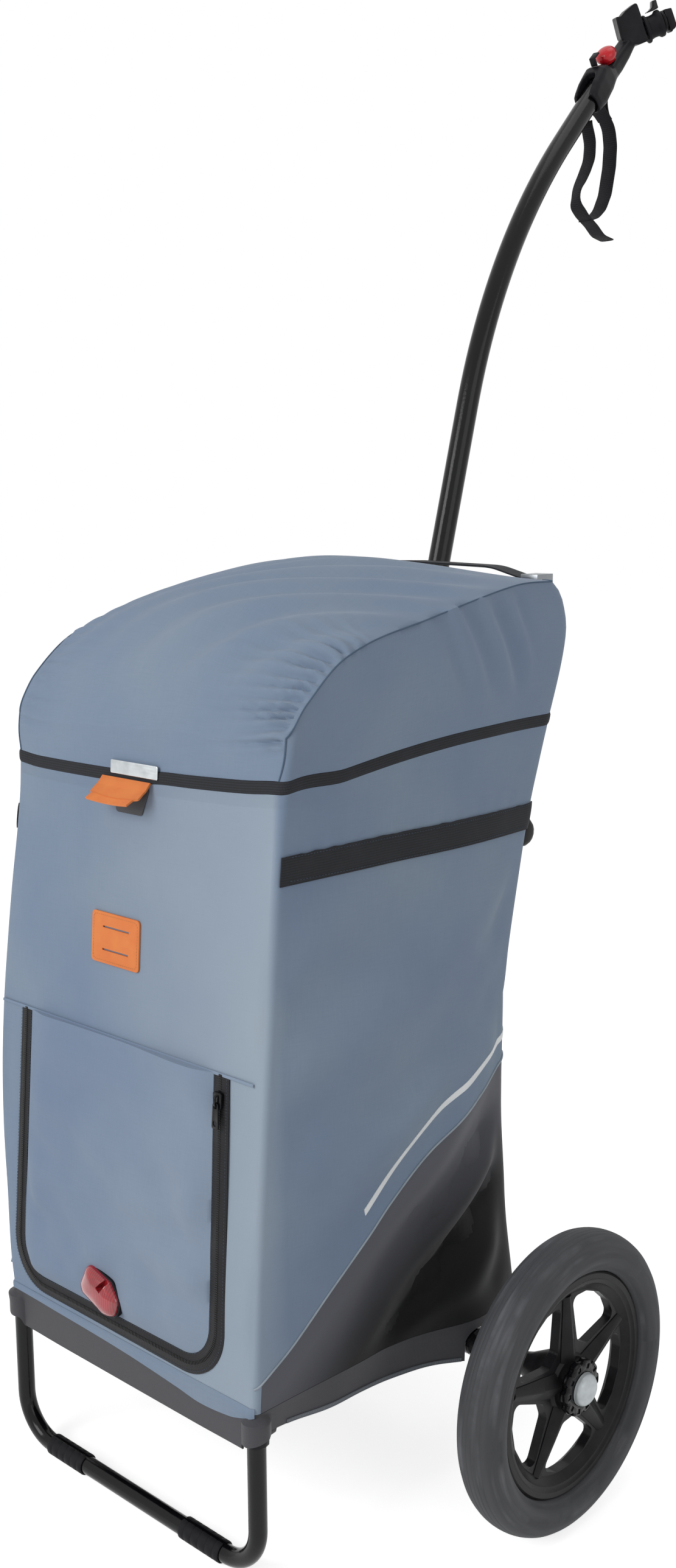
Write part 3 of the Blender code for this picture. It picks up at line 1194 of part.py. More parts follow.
def release_knob(head, arm):
    """The red pull knob on its pin, and the black bracket beside it."""
    axis = empty("knob_axis", KNOB_SPOT, head, (0.0, 0.0, -math.pi / 2))
    pin_hole = rod(around(KNOB_PIN_RADIUS, 2 * SLIDING, 16), -0.0055, 0.0200, 16)
    boolean(arm, tool(pin_hole, axis), "DIFFERENCE")
    pin = KNOB_PIN_RADIUS
    knob = [(-0.0045, 0.0), (-0.0045, pin), (0.0055, pin), (0.0055, 0.0090), (0.0075, 0.0115),
            (0.0150, 0.0130), (0.0190, 0.0115), (0.0215, 0.0070), (0.0220, 0.0)]
    piece("release_knob", lathe(knob, 16), "red_plastic", axis, (0.0, 0.0, 0.0))
    low, high = Vector(GUARD_EDGE[0]), Vector(GUARD_EDGE[1])
    edge = (high - low).normalized()
    out = Vector((-edge.y, edge.x))
    seats = [low + (high - low) * share + out * FIT for share in (0.05, 0.38)]
    guard = [seats[0], (-0.0316, 0.0476), (-0.0310, 0.0602), (-0.0284, 0.0610), (-0.0289, 0.0502), seats[1]]
    piece("knob_guard", prism(guard, -GUARD_HALF, GUARD_HALF), "black_plastic", head)


def safety_strap(head):
    """The webbing safety strap that hangs under the head: two branches sewn together, and a tie to the tube."""
    against_tube = TOW_RADIUS + STRAP_THICKNESS / 2 + FIT
    strip = [(-STRAP_HALF, -STRAP_THICKNESS / 2), (STRAP_HALF, -STRAP_THICKNESS / 2),
             (STRAP_HALF, STRAP_THICKNESS / 2), (-STRAP_HALF, STRAP_THICKNESS / 2)]
    routes = (
        ((against_tube, -0.0090), (0.0185, -0.0135), (0.0352, -0.0213), (0.0473, -0.0361), (0.0521, -0.0555),
         (0.0566, -0.0829), (0.0665, -0.0946), (0.0847, -0.0927), (0.1057, -0.0863), (0.1232, -0.0833),
         (0.1397, -0.0718)),
        ((0.0152, 0.0474), (0.0200, 0.0328), (0.0336, 0.0215), (0.0477, 0.0212), (0.0645, 0.0100),
         (0.0806, -0.0093), (0.0977, -0.0386), (0.1029, -0.0600), (0.1001, -0.0776), (0.0923, -0.0918)),
        ((0.0165, 0.0165), (0.0250, 0.0192), (0.0368, 0.0214)),
    )
    strips = []
    for route in routes:
        path = rounded([(0.0, y, z) for y, z in route], 0.02, 1, closed=False)
        strips.append(sweep(path, strip, (1.0, 0.0, 0.0)))
    strap = piece("safety_strap", strips[0], "black_webbing", head)
    for other in strips[1:]:
        boolean(strap, tool(other, head), "UNION")


def hitch(arm, swivel):
    """The swivelling end: a shank in the jaw, a ribbed rubber boot, a barrel, an end block and a latch tab."""
    upward = (0.0, -math.pi / 2, 0.0)
    bore = rod(around(SHANK_RADIUS, RUNNING, 14), -SHANK_LENGTH - 0.0010, 0.02, 14)
    boolean(arm, tool(bore, swivel, (0.0, 0.0, 0.0), upward), "DIFFERENCE")
    neck = 0.0100
    barrel = [(-SHANK_LENGTH, 0.0), (-SHANK_LENGTH, SHANK_RADIUS), (BOOT_START, SHANK_RADIUS), (BOOT_START, neck),
              (BOOT_END, neck), (BOOT_END, BARREL_RADIUS - 0.0010), (BOOT_END + 0.0010, BARREL_RADIUS),
              (BARREL_END, BARREL_RADIUS), (BARREL_END, 0.0)]
    piece("hitch_barrel", lathe(barrel, 14), "black_plastic", swivel, (0.0, 0.0, 0.0), upward)
    inner = around(neck, FIT, 14)
    end = BOOT_END - FIT
    boot = [(BOOT_START, inner), (BOOT_START, FLANGE_RADIUS - 0.0008), (BOOT_START + 0.0008, FLANGE_RADIUS),
            (0.0040, FLANGE_RADIUS), (0.0062, 0.0138), (0.0150, 0.0134), (0.0186, FLANGE_RADIUS - 0.0008),
            (0.0196, FLANGE_RADIUS - 0.0005), (end - 0.0008, FLANGE_RADIUS - 0.0005), (end, 0.0150), (end, inner)]
    piece("rubber_boot", lathe(boot, 14, ring=True), "black_rubber", swivel, (0.0, 0.0, 0.0), upward)
    base = BARREL_END + FIT
    outline = [(-0.0125, base), (-0.0107, 0.0372), (0.0095, 0.0372), (0.0112, 0.0358), (0.0132, 0.0330),
               (0.0128, 0.0312), (0.0148, 0.0300), (0.0148, base)]
    block = piece("hitch_block", prism(outline, -0.0105, 0.0105), "black_plastic", swivel)
    bevel(block, 0.0012, 1)
    tab_axis = empty("latch_axis", (0.0, -0.0172, 0.0222), swivel)
    tab = [(0.0, -0.0170), (-0.0014, -0.0095), (-0.0034, -0.0058), (-0.0100, -0.0032), (-0.0094, 0.0018),
           (-0.0034, 0.0014), (0.0004, 0.0014), (0.0009, -0.0042)]
    piece("latch_tab", prism(rounded(tab, 0.0008, 1), -0.0060, 0.0060), "black_plastic", tab_axis)


def main():
    """Builds the whole trailer."""
    clear_scene()
    frame = empty("trailer", (0.0, AXLE_Y, 0.0))
    mast = empty("mast", (0.0, UPRIGHT_Y, LEAN_Z), frame, (-LEAN, 0.0, 0.0))
    panel_spot = (0.0, front_y(PANEL_PIVOT_Z), PANEL_PIVOT_Z)
    panel = empty("front_panel", panel_spot, frame, (-math.atan(BAG_FRONT_SLOPE), 0.0, 0.0))
    lid = empty("lid_axis", (0.0, LID_HINGE_Y, LID_HINGE_Z), frame)
    foot_frame(frame)
    axle_parts(frame)
    uprights(frame, mast)
    crossbars(mast)
    base_board(frame)
    bag_shell(frame)
    base_skirt(frame)
    side_bands(frame)
    carry_handle(frame)
    middle, path = front_pocket(panel)
    zip_slider(panel, middle, path)
    leather_patch(panel)
    rear_light(panel)
    tab_backing(panel)
    lid_shell(lid)
    lid_band(lid)
    clasp(lid)
    wheels(frame)
    tow_bar(mast)
    coupling(mast)
    bpy.context.view_layer.update()


main()
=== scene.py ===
"""Looks of a bike shopping trailer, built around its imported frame.

Sizes are in metres. The trailer's own frame has the wheel axle at y = 0 and the floor at z = 0.
Other frames, such as the leaning mast or the coupling head, are matrices in Places.
"""

import logging
import math
from collections.abc import Callable, Sequence
from dataclasses import dataclass
from enum import Enum
from math import cos, pi, radians, sin

import bmesh
import bpy
from mathutils import Matrix, Vector, noise


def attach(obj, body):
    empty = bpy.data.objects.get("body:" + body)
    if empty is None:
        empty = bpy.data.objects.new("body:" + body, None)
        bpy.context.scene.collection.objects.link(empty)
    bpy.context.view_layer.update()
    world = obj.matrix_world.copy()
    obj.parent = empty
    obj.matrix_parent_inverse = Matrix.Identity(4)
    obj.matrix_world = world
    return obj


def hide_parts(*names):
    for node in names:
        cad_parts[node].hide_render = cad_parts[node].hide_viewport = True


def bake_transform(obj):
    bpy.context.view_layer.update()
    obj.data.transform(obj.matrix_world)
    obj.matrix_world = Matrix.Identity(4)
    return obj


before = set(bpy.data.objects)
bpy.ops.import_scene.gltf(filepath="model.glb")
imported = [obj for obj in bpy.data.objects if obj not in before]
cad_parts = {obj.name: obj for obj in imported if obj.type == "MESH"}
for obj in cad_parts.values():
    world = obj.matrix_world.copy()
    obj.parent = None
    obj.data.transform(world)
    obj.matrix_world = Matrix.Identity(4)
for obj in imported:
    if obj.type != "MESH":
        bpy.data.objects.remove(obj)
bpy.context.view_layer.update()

LOG = logging.getLogger("trailer")
Table = Sequence[tuple[float, float]]
Point = Sequence[float]
Column = tuple[str, float]

AXLE_Y = -0.15099
AXLE_Z = 0.1525
FRAME_BODY = "frame"
# CAD faces that meet at less than this angle, in radians, count as one flat face
FLAT_ANGLE = 0.004
SIDES = (("left", -1), ("right", 1))


class Axis(Enum):
    """The way in which a flat outline is drawn out: the place of that number in a point."""

    ALONG_X = 0
    ALONG_Y = 1


# Curves and outlines


def smooth_value(table: Table, at: float) -> float:
    """The value at one place on a smooth curve through a table.

    Args:
        table: (place, value) pairs in rising order of place.
        at: the place.

    Returns:
        The value, held level past both ends.
    """
    if at <= table[0][0]:
        return table[0][1]
    if at >= table[-1][0]:
        return table[-1][1]
    index = max(i for i in range(len(table) - 1) if table[i][0] <= at)

    def slope(i: int) -> float:
        """The slope of the curve at one of its points."""
        low = max(i - 1, 0)
        high = min(i + 1, len(table) - 1)
        return (table[high][1] - table[low][1]) / (table[high][0] - table[low][0])

    (left, start), (right, end) = table[index], table[index + 1]
    width = right - left
    t = (at - left) / width
    rise = (2 * t**3 - 3 * t**2 + 1) * start + (3 * t**2 - 2 * t**3) * end
    return rise + width * ((t**3 - 2 * t**2 + t) * slope(index) + (t**3 - t**2) * slope(index + 1))


def ease(value: float, start: float, end: float) -> float:
    """A smooth step from 0 at start to 1 at end."""
    t = min(max((value - start) / (end - start), 0.0), 1.0)
    return t * t * (3 - 2 * t)


def bell(value: float, middle: float, width: float) -> float:
    """A soft bump of height 1 round a middle, gone after about two widths."""
    return math.exp(-(((value - middle) / width) ** 2))


def circle(radius: float, sides: int) -> list[tuple[float, float]]:
    """The corners of a circle."""
    turns = [2 * pi * step / sides for step in range(sides)]
    return [(radius * cos(turn), radius * sin(turn)) for turn in turns]


def rounded(points: Sequence[Point], radius: float, steps: int = 5, closed: bool = True) -> list[Vector]:
    """Rounds the corners of an outline or a path.

    Args:
        points: the corners, in two or three dimensions.
        radius: the radius of each rounded corner.
        steps: the pieces that each corner gets.
        closed: whether the last point joins the first.

    Returns:
        The points of the rounded line.
    """
    corners = [Vector(point) for point in points]
    count = len(corners)
    result = []
    for index, corner in enumerate(corners):
        if not closed and index in (0, count - 1):
            result.append(corner)
            continue
        before = corners[index - 1]
        after = corners[(index + 1) % count]
        back = (before - corner).normalized()
        ahead = (after - corner).normalized()
        half = back.angle(ahead) / 2
        reach = min(radius / math.tan(half), 0.48 * min((before - corner).length, (after - corner).length))
        centre = corner + (back + ahead).normalized() * (reach / cos(half))
        first = corner + back * reach - centre
        last = corner + ahead * reach - centre
        swing = first.angle(last)
        for step in range(steps + 1):
            share = step / steps
            mixed = sin(swing * (1 - share)) * first + sin(swing * share) * last
            result.append(centre + mixed / sin(swing))
    return result


def even_path(points: Sequence[Point], spacing: float) -> list[Vector]:
    """A path's points laid out again at an even spacing, on the straight lines between them."""
    corners = [Vector(point) for point in points]
    lengths = [0.0]
    for low, high in zip(corners, corners[1:]):
        lengths.append(lengths[-1] + (high - low).length)
    count = max(2, round(lengths[-1] / spacing))
    result = []
    index = 0
    for step in range(count + 1):
        wanted = lengths[-1] * step / count
        while index < len(corners) - 2 and lengths[index + 1] < wanted:
            index += 1
        share = (wanted - lengths[index]) / max(lengths[index + 1] - lengths[index], 1e-9)
        result.append(corners[index].lerp(corners[index + 1], min(max(share, 0.0), 1.0)))
    return result


def headings(path: Sequence[Vector]) -> list[Vector]:
    """The direction of a path at each of its points."""
    last = len(path) - 1
    return [(path[min(index + 1, last)] - path[max(index - 1, 0)]).normalized() for index in range(last + 1)]


# Meshes


class Shape:
    """A mesh being made, with a cloth UV map in metres where it is a sheet."""

    def __init__(self) -> None:
        """Starts an empty mesh."""
        self.bm = bmesh.new()
        self.uv = self.bm.loops.layers.uv.new("cloth")

    def join(self, low: Sequence, high: Sequence) -> None:
        """Joins two rings of vertices with quads."""
        for index in range(len(low)):
            after = (index + 1) % len(low)
            self.bm.faces.new((low[index], low[after], high[after], high[index]))

    def ring_wall(self, rings: Sequence[Sequence[Point]], close: bool = False) -> list[list]:
        """Joins closed rings of points with quads.

        Args:
            rings: the rings, all with the same number of points.
            close: whether the last ring joins the first.

        Returns:
            The rings of vertices.
        """
        made = [[self.bm.verts.new(point) for point in ring] for ring in rings]
        for low, high in list(zip(made, made[1:])) + ([(made[-1], made[0])] if close else []):
            self.join(low, high)
        return made

    def loft(self, rings: Sequence[Sequence[Point]]) -> "Shape":
        """A closed solid through rings, capped at both ends."""
        made = self.ring_wall(rings)
        self.bm.faces.new(made[0][::-1])
        self.bm.faces.new(made[-1])
        return self

    def prism(self, outline: Sequence[Point], low: float, high: float, axis: Axis = Axis.ALONG_X) -> "Shape":
        """A flat outline drawn out along one axis."""
        at = axis.value
        return self.loft(
            [[(a, b)[:at] + (depth,) + (a, b)[at:] for a, b in outline] for depth in (low, high)]
        )

    def lathe(self, profile: Sequence[tuple[float, float]], sides: int, ring: bool = False) -> "Shape":
        """A shape turned about X from (along, radius) points.

        Args:
            profile: the points; a solid's first and last ones lie on the axis.
            sides: the number of sides.
            ring: whether the profile closes on itself and leaves the middle open.

        Returns:
            The shape itself.
        """
        turns = [2 * pi * step / sides for step in range(sides)]
        inner = profile if ring else profile[1:-1]
        rings = [[(x, r * cos(t), r * sin(t)) for t in turns] for x, r in inner]
        made = self.ring_wall(rings, close=ring)
        if not ring:
            for end, verts in ((profile[0], made[0]), (profile[-1], made[-1])):
                pole = self.bm.verts.new((end[0], 0.0, 0.0))
                for index, vert in enumerate(verts):
                    self.bm.faces.new((vert, verts[(index + 1) % sides], pole))
        return self

    def sweep(
        self, path: Sequence[Point], outline: Sequence[Point], across: Point = (1.0, 0.0, 0.0),
        hole: Sequence[Point] = (),
    ) -> "Shape":
        """An outline carried along a path.

        Args:
            path: the path's points.
            outline: (across, out) points round the path.
            across: the direction of the outline's first number.
            hole: a second outline with as many points, for a tube.

        Returns:
            The shape itself.
        """
        points = [Vector(point) for point in path]
        side = Vector(across).normalized()
        rings = []
        inner = []
        for point, ahead in zip(points, headings(points)):
            level = (side - ahead * side.dot(ahead)).normalized()
            out = ahead.cross(level)
            rings.append([point + level * a + out * b for a, b in outline])
            inner.append([point + level * a + out * b for a, b in hole])
        if not hole:
            return self.loft(rings)
        outer_wall = self.ring_wall(rings)
        inner_wall = self.ring_wall(inner)
        self.join(outer_wall[0], inner_wall[0])
        self.join(outer_wall[-1], inner_wall[-1])
        return self

    def sheet(self, rows: Sequence[Sequence[Point]], wrap: bool = False) -> list[list]:
        """An open sheet through rows of points, with its UV map in metres along and across.

        Args:
            rows: the rows of points.
            wrap: whether each row closes on itself.

        Returns:
            The rows of vertices.
        """
        made = [[self.bm.verts.new(point) for point in row] for row in rows]
        along = [0.0]
        middle = rows[len(rows) // 2]
        for low, high in zip(middle, list(middle[1:]) + [middle[0]]):
            along.append(along[-1] + (Vector(high) - Vector(low)).length)
        up = [0.0]
        pick = len(middle) // 3
        for low, high in zip(rows, rows[1:]):
            up.append(up[-1] + (Vector(high[pick]) - Vector(low[pick])).length)
        for row in range(len(rows) - 1):
            count = len(middle)
            for index in range(count if wrap else count - 1):
                after = (index + 1) % count
                low, high = made[row], made[row + 1]
                face = self.bm.faces.new((low[index], low[after], high[after], high[index]))
                places = ((index, row), (index + 1, row), (index + 1, row + 1), (index, row + 1))
                for loop, (column, level) in zip(face.loops, places):
                    loop[self.uv].uv = (along[column], up[level])
        return made

    def slab(self, outer: Sequence[Sequence[Point]], inner: Sequence[Sequence[Point]]) -> "Shape":
        """A closed sheet with thickness between two grids of points."""
        front = self.sheet(outer)
        behind = self.sheet(inner)
        edges = [list(zip(front[0], behind[0])), list(zip(front[-1], behind[-1]))]
        edges += [
            [(a[0], b[0]) for a, b in zip(front, behind)], [(a[-1], b[-1]) for a, b in zip(front, behind)]
        ]
        for edge in edges:
            for (a, b), (c, d) in zip(edge, edge[1:]):
                self.bm.faces.new((a, b, d, c))
        return self

    def add(self, other: "Shape") -> "Shape":
        """Adds another shape."""
        spare = bpy.data.meshes.new("spare")
        other.bm.to_mesh(spare)
        self.bm.from_mesh(spare)
        bpy.data.meshes.remove(spare)
        return self


def new_object(name: str, shape: Shape, place: Matrix, mend: bool = True) -> bpy.types.Object:
    """Turns a shape into an object at the origin, with its place in its mesh.

    Args:
        name: the object's name.
        shape: the shape, which is used up.
        place: the matrix from the shape's frame to the world.
        mend: whether doubled points are merged and faces turned outwards.

    Returns:
        The object, linked to the scene.
    """
    bm = shape.bm
    bmesh.ops.transform(bm, matrix=place, verts=bm.verts)
    if mend:
        bmesh.ops.remove_doubles(bm, verts=bm.verts, dist=1e-6)
        bmesh.ops.recalc_face_normals(bm, faces=bm.faces)
    mesh = bpy.data.meshes.new(name)
    bm.to_mesh(mesh)
    bm.free()
    obj = bpy.data.objects.new(name, mesh)
    bpy.context.scene.collection.objects.link(obj)
    return obj


def apply_modifiers(obj: bpy.types.Object) -> bpy.types.Object:
    """Turns an object's live modifiers into plain mesh."""
    bpy.context.view_layer.update()
    graph = bpy.context.evaluated_depsgraph_get()
    mesh = bpy.data.meshes.new_from_object(obj.evaluated_get(graph))
    obj.modifiers.clear()
    old = obj.data
    obj.data = mesh
    bpy.data.meshes.remove(old)
    return obj


def cut(obj: bpy.types.Object, tool: Shape, place: Matrix, operation: str = "DIFFERENCE") -> None:
    """Cuts a shape out of an object, or joins it on.

    Args:
        obj: the object to change.
        tool: the shape to cut or join with.
        place: the matrix from the tool's frame to the world.
        operation: DIFFERENCE or UNION.
    """
    cutter = new_object("cutter", tool, place)
    change = obj.modifiers.new("Cut", "BOOLEAN")
    change.operation = operation
    change.solver = "EXACT"
    change.object = cutter
    apply_modifiers(obj)
    bpy.data.objects.remove(cutter, do_unlink=True)


@dataclass(frozen=True)
class Dress:
    """What a finished piece is given: its body, finish and edges."""

    body: str
    material: bpy.types.Material
    slot: str
    replaces: tuple[str, ...] = ()
    bevel: float = 0.0
    sharp_deg: float = 35.0
    bevel_steps: int = 2

    def put_on(self, obj: bpy.types.Object) -> bpy.types.Object:
        """Finishes one object.

        Args:
            obj: the object, at the origin.

        Returns:
            The same object.
        """
        if self.bevel:
            edge = obj.modifiers.new("Bevel", "BEVEL")
            edge.width = self.bevel
            edge.segments = self.bevel_steps
            edge.limit_method = "ANGLE"
            edge.angle_limit = radians(self.sharp_deg)
            edge.harden_normals = False
            apply_modifiers(obj)
        mesh = obj.data
        mesh.shade_smooth()
        mesh.set_sharp_from_angle(angle=radians(self.sharp_deg))
        mesh.materials.clear()
        mesh.materials.append(self.material)
        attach(obj, self.body)
        if self.replaces:
            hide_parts(*self.replaces)
        LOG.info("%s: %d faces on %s", obj.name, len(mesh.polygons), self.body)
        return obj

    def make(self, name: str, shape: Shape, place: Matrix, mend: bool = True) -> bpy.types.Object:
        """Turns a shape into a finished piece."""
        return self.put_on(new_object(name, shape, place, mend))


# Places


def mast_y(z: float) -> float:
    """The depth of the plane that holds the tow bar and the uprights."""
    return Mast.upright_y + max(z - Mast.lean_z, 0.0) * math.tan(radians(Mast.lean_deg))


@dataclass(frozen=True)
class Mast:
    """Sizes of the leaning mast and the coupling on it."""

    upright_x: float = 0.157
    upright_y: float = 0.0814
    lean_z: float = 0.515
    lean_deg: float = 15.75
    tow_radius: float = 0.0125
    tow_foot: float = 0.02
    tow_bend_z: float = 1.122
    tow_bend_radius: float = 0.728
    tow_bend_deg: float = 28.0
    tow_straight: float = 0.112
    tow_insert: float = 0.045
    hitch_spot: Point = (0.0147, 0.0017, 0.1418)
    hitch_turn_deg: float = 76.0
    hitch_tilt_deg: float = 44.7
    hitch_roll_deg: float = 57.0


def tow_path() -> list[Vector]:
    """The tow bar's centre line in the mast's own frame."""
    start = (Mast.tow_bend_z - Mast.lean_z) / cos(radians(Mast.lean_deg))
    points = [Vector((0.0, 0.0, Mast.tow_foot))]
    steps = 28
    for step in range(steps + 1):
        angle = radians(Mast.tow_bend_deg) * step / steps
        radius = Mast.tow_bend_radius
        points.append(Vector((0.0, radius * (1 - cos(angle)), start + radius * sin(angle))))
    turn = radians(Mast.tow_bend_deg)
    points.append(points[-1] + Vector((0.0, sin(turn), cos(turn))) * Mast.tow_straight)
    return points


def turned(axis: str, degrees: float) -> Matrix:
    """A turn about the axis X, Y or Z."""
    return Matrix.Rotation(radians(degrees), 4, axis)


def moved(x: float, y: float, z: float) -> Matrix:
    """A move."""
    return Matrix.Translation((x, y, z))


class Places:
    """The matrices from each local frame of the trailer to the world."""

    front_slope = 0.0709
    front_foot = -0.2863
    skirt_top = 0.1797
    panel_z = 0.3
    panel_y = front_foot + (panel_z - skirt_top) * front_slope
    hub_x = 0.335
    trailer = moved(0.0, AXLE_Y, 0.0)
    mast = trailer @ moved(0.0, Mast.upright_y, Mast.lean_z) @ turned("X", -Mast.lean_deg)
    panel = trailer @ moved(0.0, panel_y, panel_z) @ turned("X", -math.degrees(math.atan(front_slope)))
    panel_out = panel.to_3x3() @ Vector((0.0, -1.0, 0.0))
    upward = turned("Y", -90.0)

    @staticmethod
    def head() -> Matrix:
        """The coupling head's frame: its Z runs along the tow bar's end."""
        turn = radians(Mast.tow_bend_deg)
        ahead = Vector((0.0, sin(turn), cos(turn)))
        spot = tow_path()[-1] - ahead * Mast.tow_insert
        return Places.mast @ moved(*spot) @ turned("X", -Mast.tow_bend_deg)

    @staticmethod
    def swivel() -> Matrix:
        """The hitch barrel's frame: its Z runs along the barrel."""
        aim = moved(*Mast.hitch_spot) @ turned("Z", -Mast.hitch_turn_deg) @ turned("X", -Mast.hitch_tilt_deg)
        return Places.head() @ aim @ turned("Z", Mast.hitch_roll_deg)

    @staticmethod
    def hub(side: int) -> Matrix:
        """A wheel's frame: its X points outwards."""
        turn = 0.0 if side > 0 else 180.0
        return Places.trailer @ moved(side * Places.hub_x, 0.0, AXLE_Z) @ turned("Z", turn)


# Finishes


def shade(code: str) -> tuple[float, float, float, float]:
    """A colour written as on screen, such as 8296ae, as linear values."""
    parts = [int(code[index : index + 2], 16) / 255 for index in (0, 2, 4)]
    linear = [part / 12.92 if part <= 0.04045 else ((part + 0.055) / 1.055) ** 2.4 for part in parts]
    return (*linear, 1.0)


class Mixer:
    """A material being wired from nodes."""

    def __init__(self, name: str, roughness: float, metallic: float = 0.0) -> None:
        """Starts a material with one plain shader.

        Args:
            name: the material's name.
            roughness: the shader's roughness.
            metallic: how metallic it is.
        """
        self.material = bpy.data.materials.new(name)
        self.material.use_nodes = True
        self.tree = self.material.node_tree
        self.surface = self.tree.nodes["Principled BSDF"]
        self.set(Roughness=roughness, Metallic=metallic)
        self.spot = self.node("ShaderNodeTexCoord").outputs["Object"]

    def node(self, kind: str, **settings: object) -> bpy.types.Node:
        """Adds a node and sets its properties."""
        made = self.tree.nodes.new(kind)
        for key, value in settings.items():
            setattr(made, key, value)
        return made

    def wire(self, value: object, socket: bpy.types.NodeSocket) -> None:
        """Links an output to a socket, or sets the socket to a plain value or a written colour."""
        if isinstance(value, bpy.types.NodeSocket):
            self.tree.links.new(value, socket)
        else:
            socket.default_value = shade(value) if isinstance(value, str) else value

    def set(self, **values: object) -> None:
        """Sets plain values of the shader itself, with _ for a space."""
        for name, value in values.items():
            self.surface.inputs[name.replace("_", " ")].default_value = value

    def cloth_spot(self) -> bpy.types.NodeSocket:
        """The piece's own cloth UV map, in metres."""
        return self.node("ShaderNodeUVMap", uv_map="cloth").outputs["UV"]

    def stretched(self, vector: bpy.types.NodeSocket, scale: Point) -> bpy.types.NodeSocket:
        """A vector scaled per axis."""
        made = self.node("ShaderNodeMapping")
        self.wire(vector, made.inputs["Vector"])
        made.inputs["Scale"].default_value = scale
        return made.outputs["Vector"]

    def noise(
        self, scale: float, detail: float = 3.0, vector: bpy.types.NodeSocket | None = None
    ) -> bpy.types.NodeSocket:
        """Noise from 0 to 1.

        Args:
            scale: waves per metre.
            detail: octaves.
            vector: where it is read, or the object's own coordinates.

        Returns:
            The noise's socket.
        """
        made = self.node("ShaderNodeTexNoise")
        self.wire(vector or self.spot, made.inputs["Vector"])
        made.inputs["Scale"].default_value = scale
        made.inputs["Detail"].default_value = detail
        return made.outputs["Fac"]

    def wave(
        self, scale: float, vector: bpy.types.NodeSocket, direction: str, distortion: float = 0.0
    ) -> bpy.types.NodeSocket:
        """Even ridges from 0 to 1.

        Args:
            scale: ridges per metre, which is 10 over pi times the texture's own scale.
            vector: where it is read.
            direction: X, Y or Z.
            distortion: how far noise bends them.

        Returns:
            The ridges' socket.
        """
        made = self.node("ShaderNodeTexWave", bands_direction=direction)
        self.wire(vector, made.inputs["Vector"])
        made.inputs["Scale"].default_value = scale * pi / 10
        made.inputs["Distortion"].default_value = distortion
        made.inputs["Detail"].default_value = 1.0
        return made.outputs["Fac"]

    def math(self, operation: str, a: object, b: object) -> bpy.types.NodeSocket:
        """A sum of two values, by the name of the node's operation."""
        made = self.node("ShaderNodeMath", operation=operation)
        self.wire(a, made.inputs[0])
        self.wire(b, made.inputs[1])
        return made.outputs[0]

    def spread(
        self, value: bpy.types.NodeSocket, low: float, high: float, to_low: float = 0.0, to_high: float = 1.0
    ) -> bpy.types.NodeSocket:
        """Maps one range of a value onto another, clamped."""
        made = self.node("ShaderNodeMapRange")
        self.wire(value, made.inputs["Value"])
        for name, number in (("From Min", low), ("From Max", high), ("To Min", to_low), ("To Max", to_high)):
            made.inputs[name].default_value = number
        return made.outputs["Result"]

    def mix(self, share: object, a: object, b: object) -> bpy.types.NodeSocket:
        """Mixes two colours."""
        made = self.node("ShaderNodeMix", data_type="RGBA")
        self.wire(share, made.inputs["Factor"])
        self.wire(a, made.inputs[6])
        self.wire(b, made.inputs[7])
        return made.outputs[2]

    def attribute(self, name: str) -> bpy.types.NodeSocket:
        """A number stored at each point of the piece."""
        return self.node("ShaderNodeAttribute", attribute_name=name).outputs["Fac"]

    def bump(self, height: bpy.types.NodeSocket, depth: float) -> None:
        """Adds relief of a depth in metres over what the shader already has."""
        made = self.node("ShaderNodeBump")
        made.inputs["Strength"].default_value = 1.0
        made.inputs["Distance"].default_value = depth
        self.wire(height, made.inputs["Height"])
        old = self.surface.inputs["Normal"]
        if old.is_linked:
            self.wire(old.links[0].from_socket, made.inputs["Normal"])
        self.wire(made.outputs["Normal"], old)

    def done(self, colour: object, roughness: object = None) -> bpy.types.Material:
        """Sets the colour, and roughness where it varies, and gives the material."""
        self.wire(colour, self.surface.inputs["Base Color"])
        if roughness is not None:
            self.wire(roughness, self.surface.inputs["Roughness"])
        return self.material


@dataclass(frozen=True)
class Plastic:
    """Moulded plastic or rubber: fine grain, faint flow marks and dusty high spots."""

    name: str
    colour: str
    worn: str
    roughness: float
    grain: float = 900.0
    depth: float = 0.00006
    coat: float = 0.0
    shine: float = 0.12

    def make(self) -> bpy.types.Material:
        """The material."""
        mixer = Mixer(self.name, self.roughness)
        marks = mixer.noise(55.0, 4.0)
        dust = mixer.noise(16.0, 5.0)
        colour = mixer.mix(mixer.spread(marks, 0.35, 0.75), self.colour, self.worn)
        colour = mixer.mix(mixer.spread(dust, 0.55, 0.85, 0.0, 0.35), colour, self.worn)
        rough = mixer.spread(marks, 0.3, 0.7, self.roughness * 0.85, min(self.roughness * 1.15, 1.0))
        mixer.bump(mixer.noise(self.grain, 2.0), self.depth)
        mixer.set(Coat_Weight=self.coat, Specular_IOR_Level=self.shine)
        return mixer.done(colour, rough)


@dataclass(frozen=True)
class Powder:
    """Powder coat on tube: an even skin with a slight orange peel."""

    name: str
    colour: str
    worn: str
    roughness: float
    shine: float = 0.24

    def make(self) -> bpy.types.Material:
        """The material."""
        mixer = Mixer(self.name, self.roughness)
        mixer.set(Specular_IOR_Level=self.shine)
        peel = mixer.noise(420.0, 2.0)
        scuffs = mixer.noise(30.0, 6.0, mixer.stretched(mixer.spot, (1.0, 1.0, 0.35)))
        colour = mixer.mix(mixer.spread(scuffs, 0.5, 0.8, 0.0, 0.6), self.colour, self.worn)
        rough = mixer.spread(scuffs, 0.3, 0.7, self.roughness * 0.85, self.roughness * 1.3)
        mixer.bump(peel, 0.00008)
        return mixer.done(colour, rough)


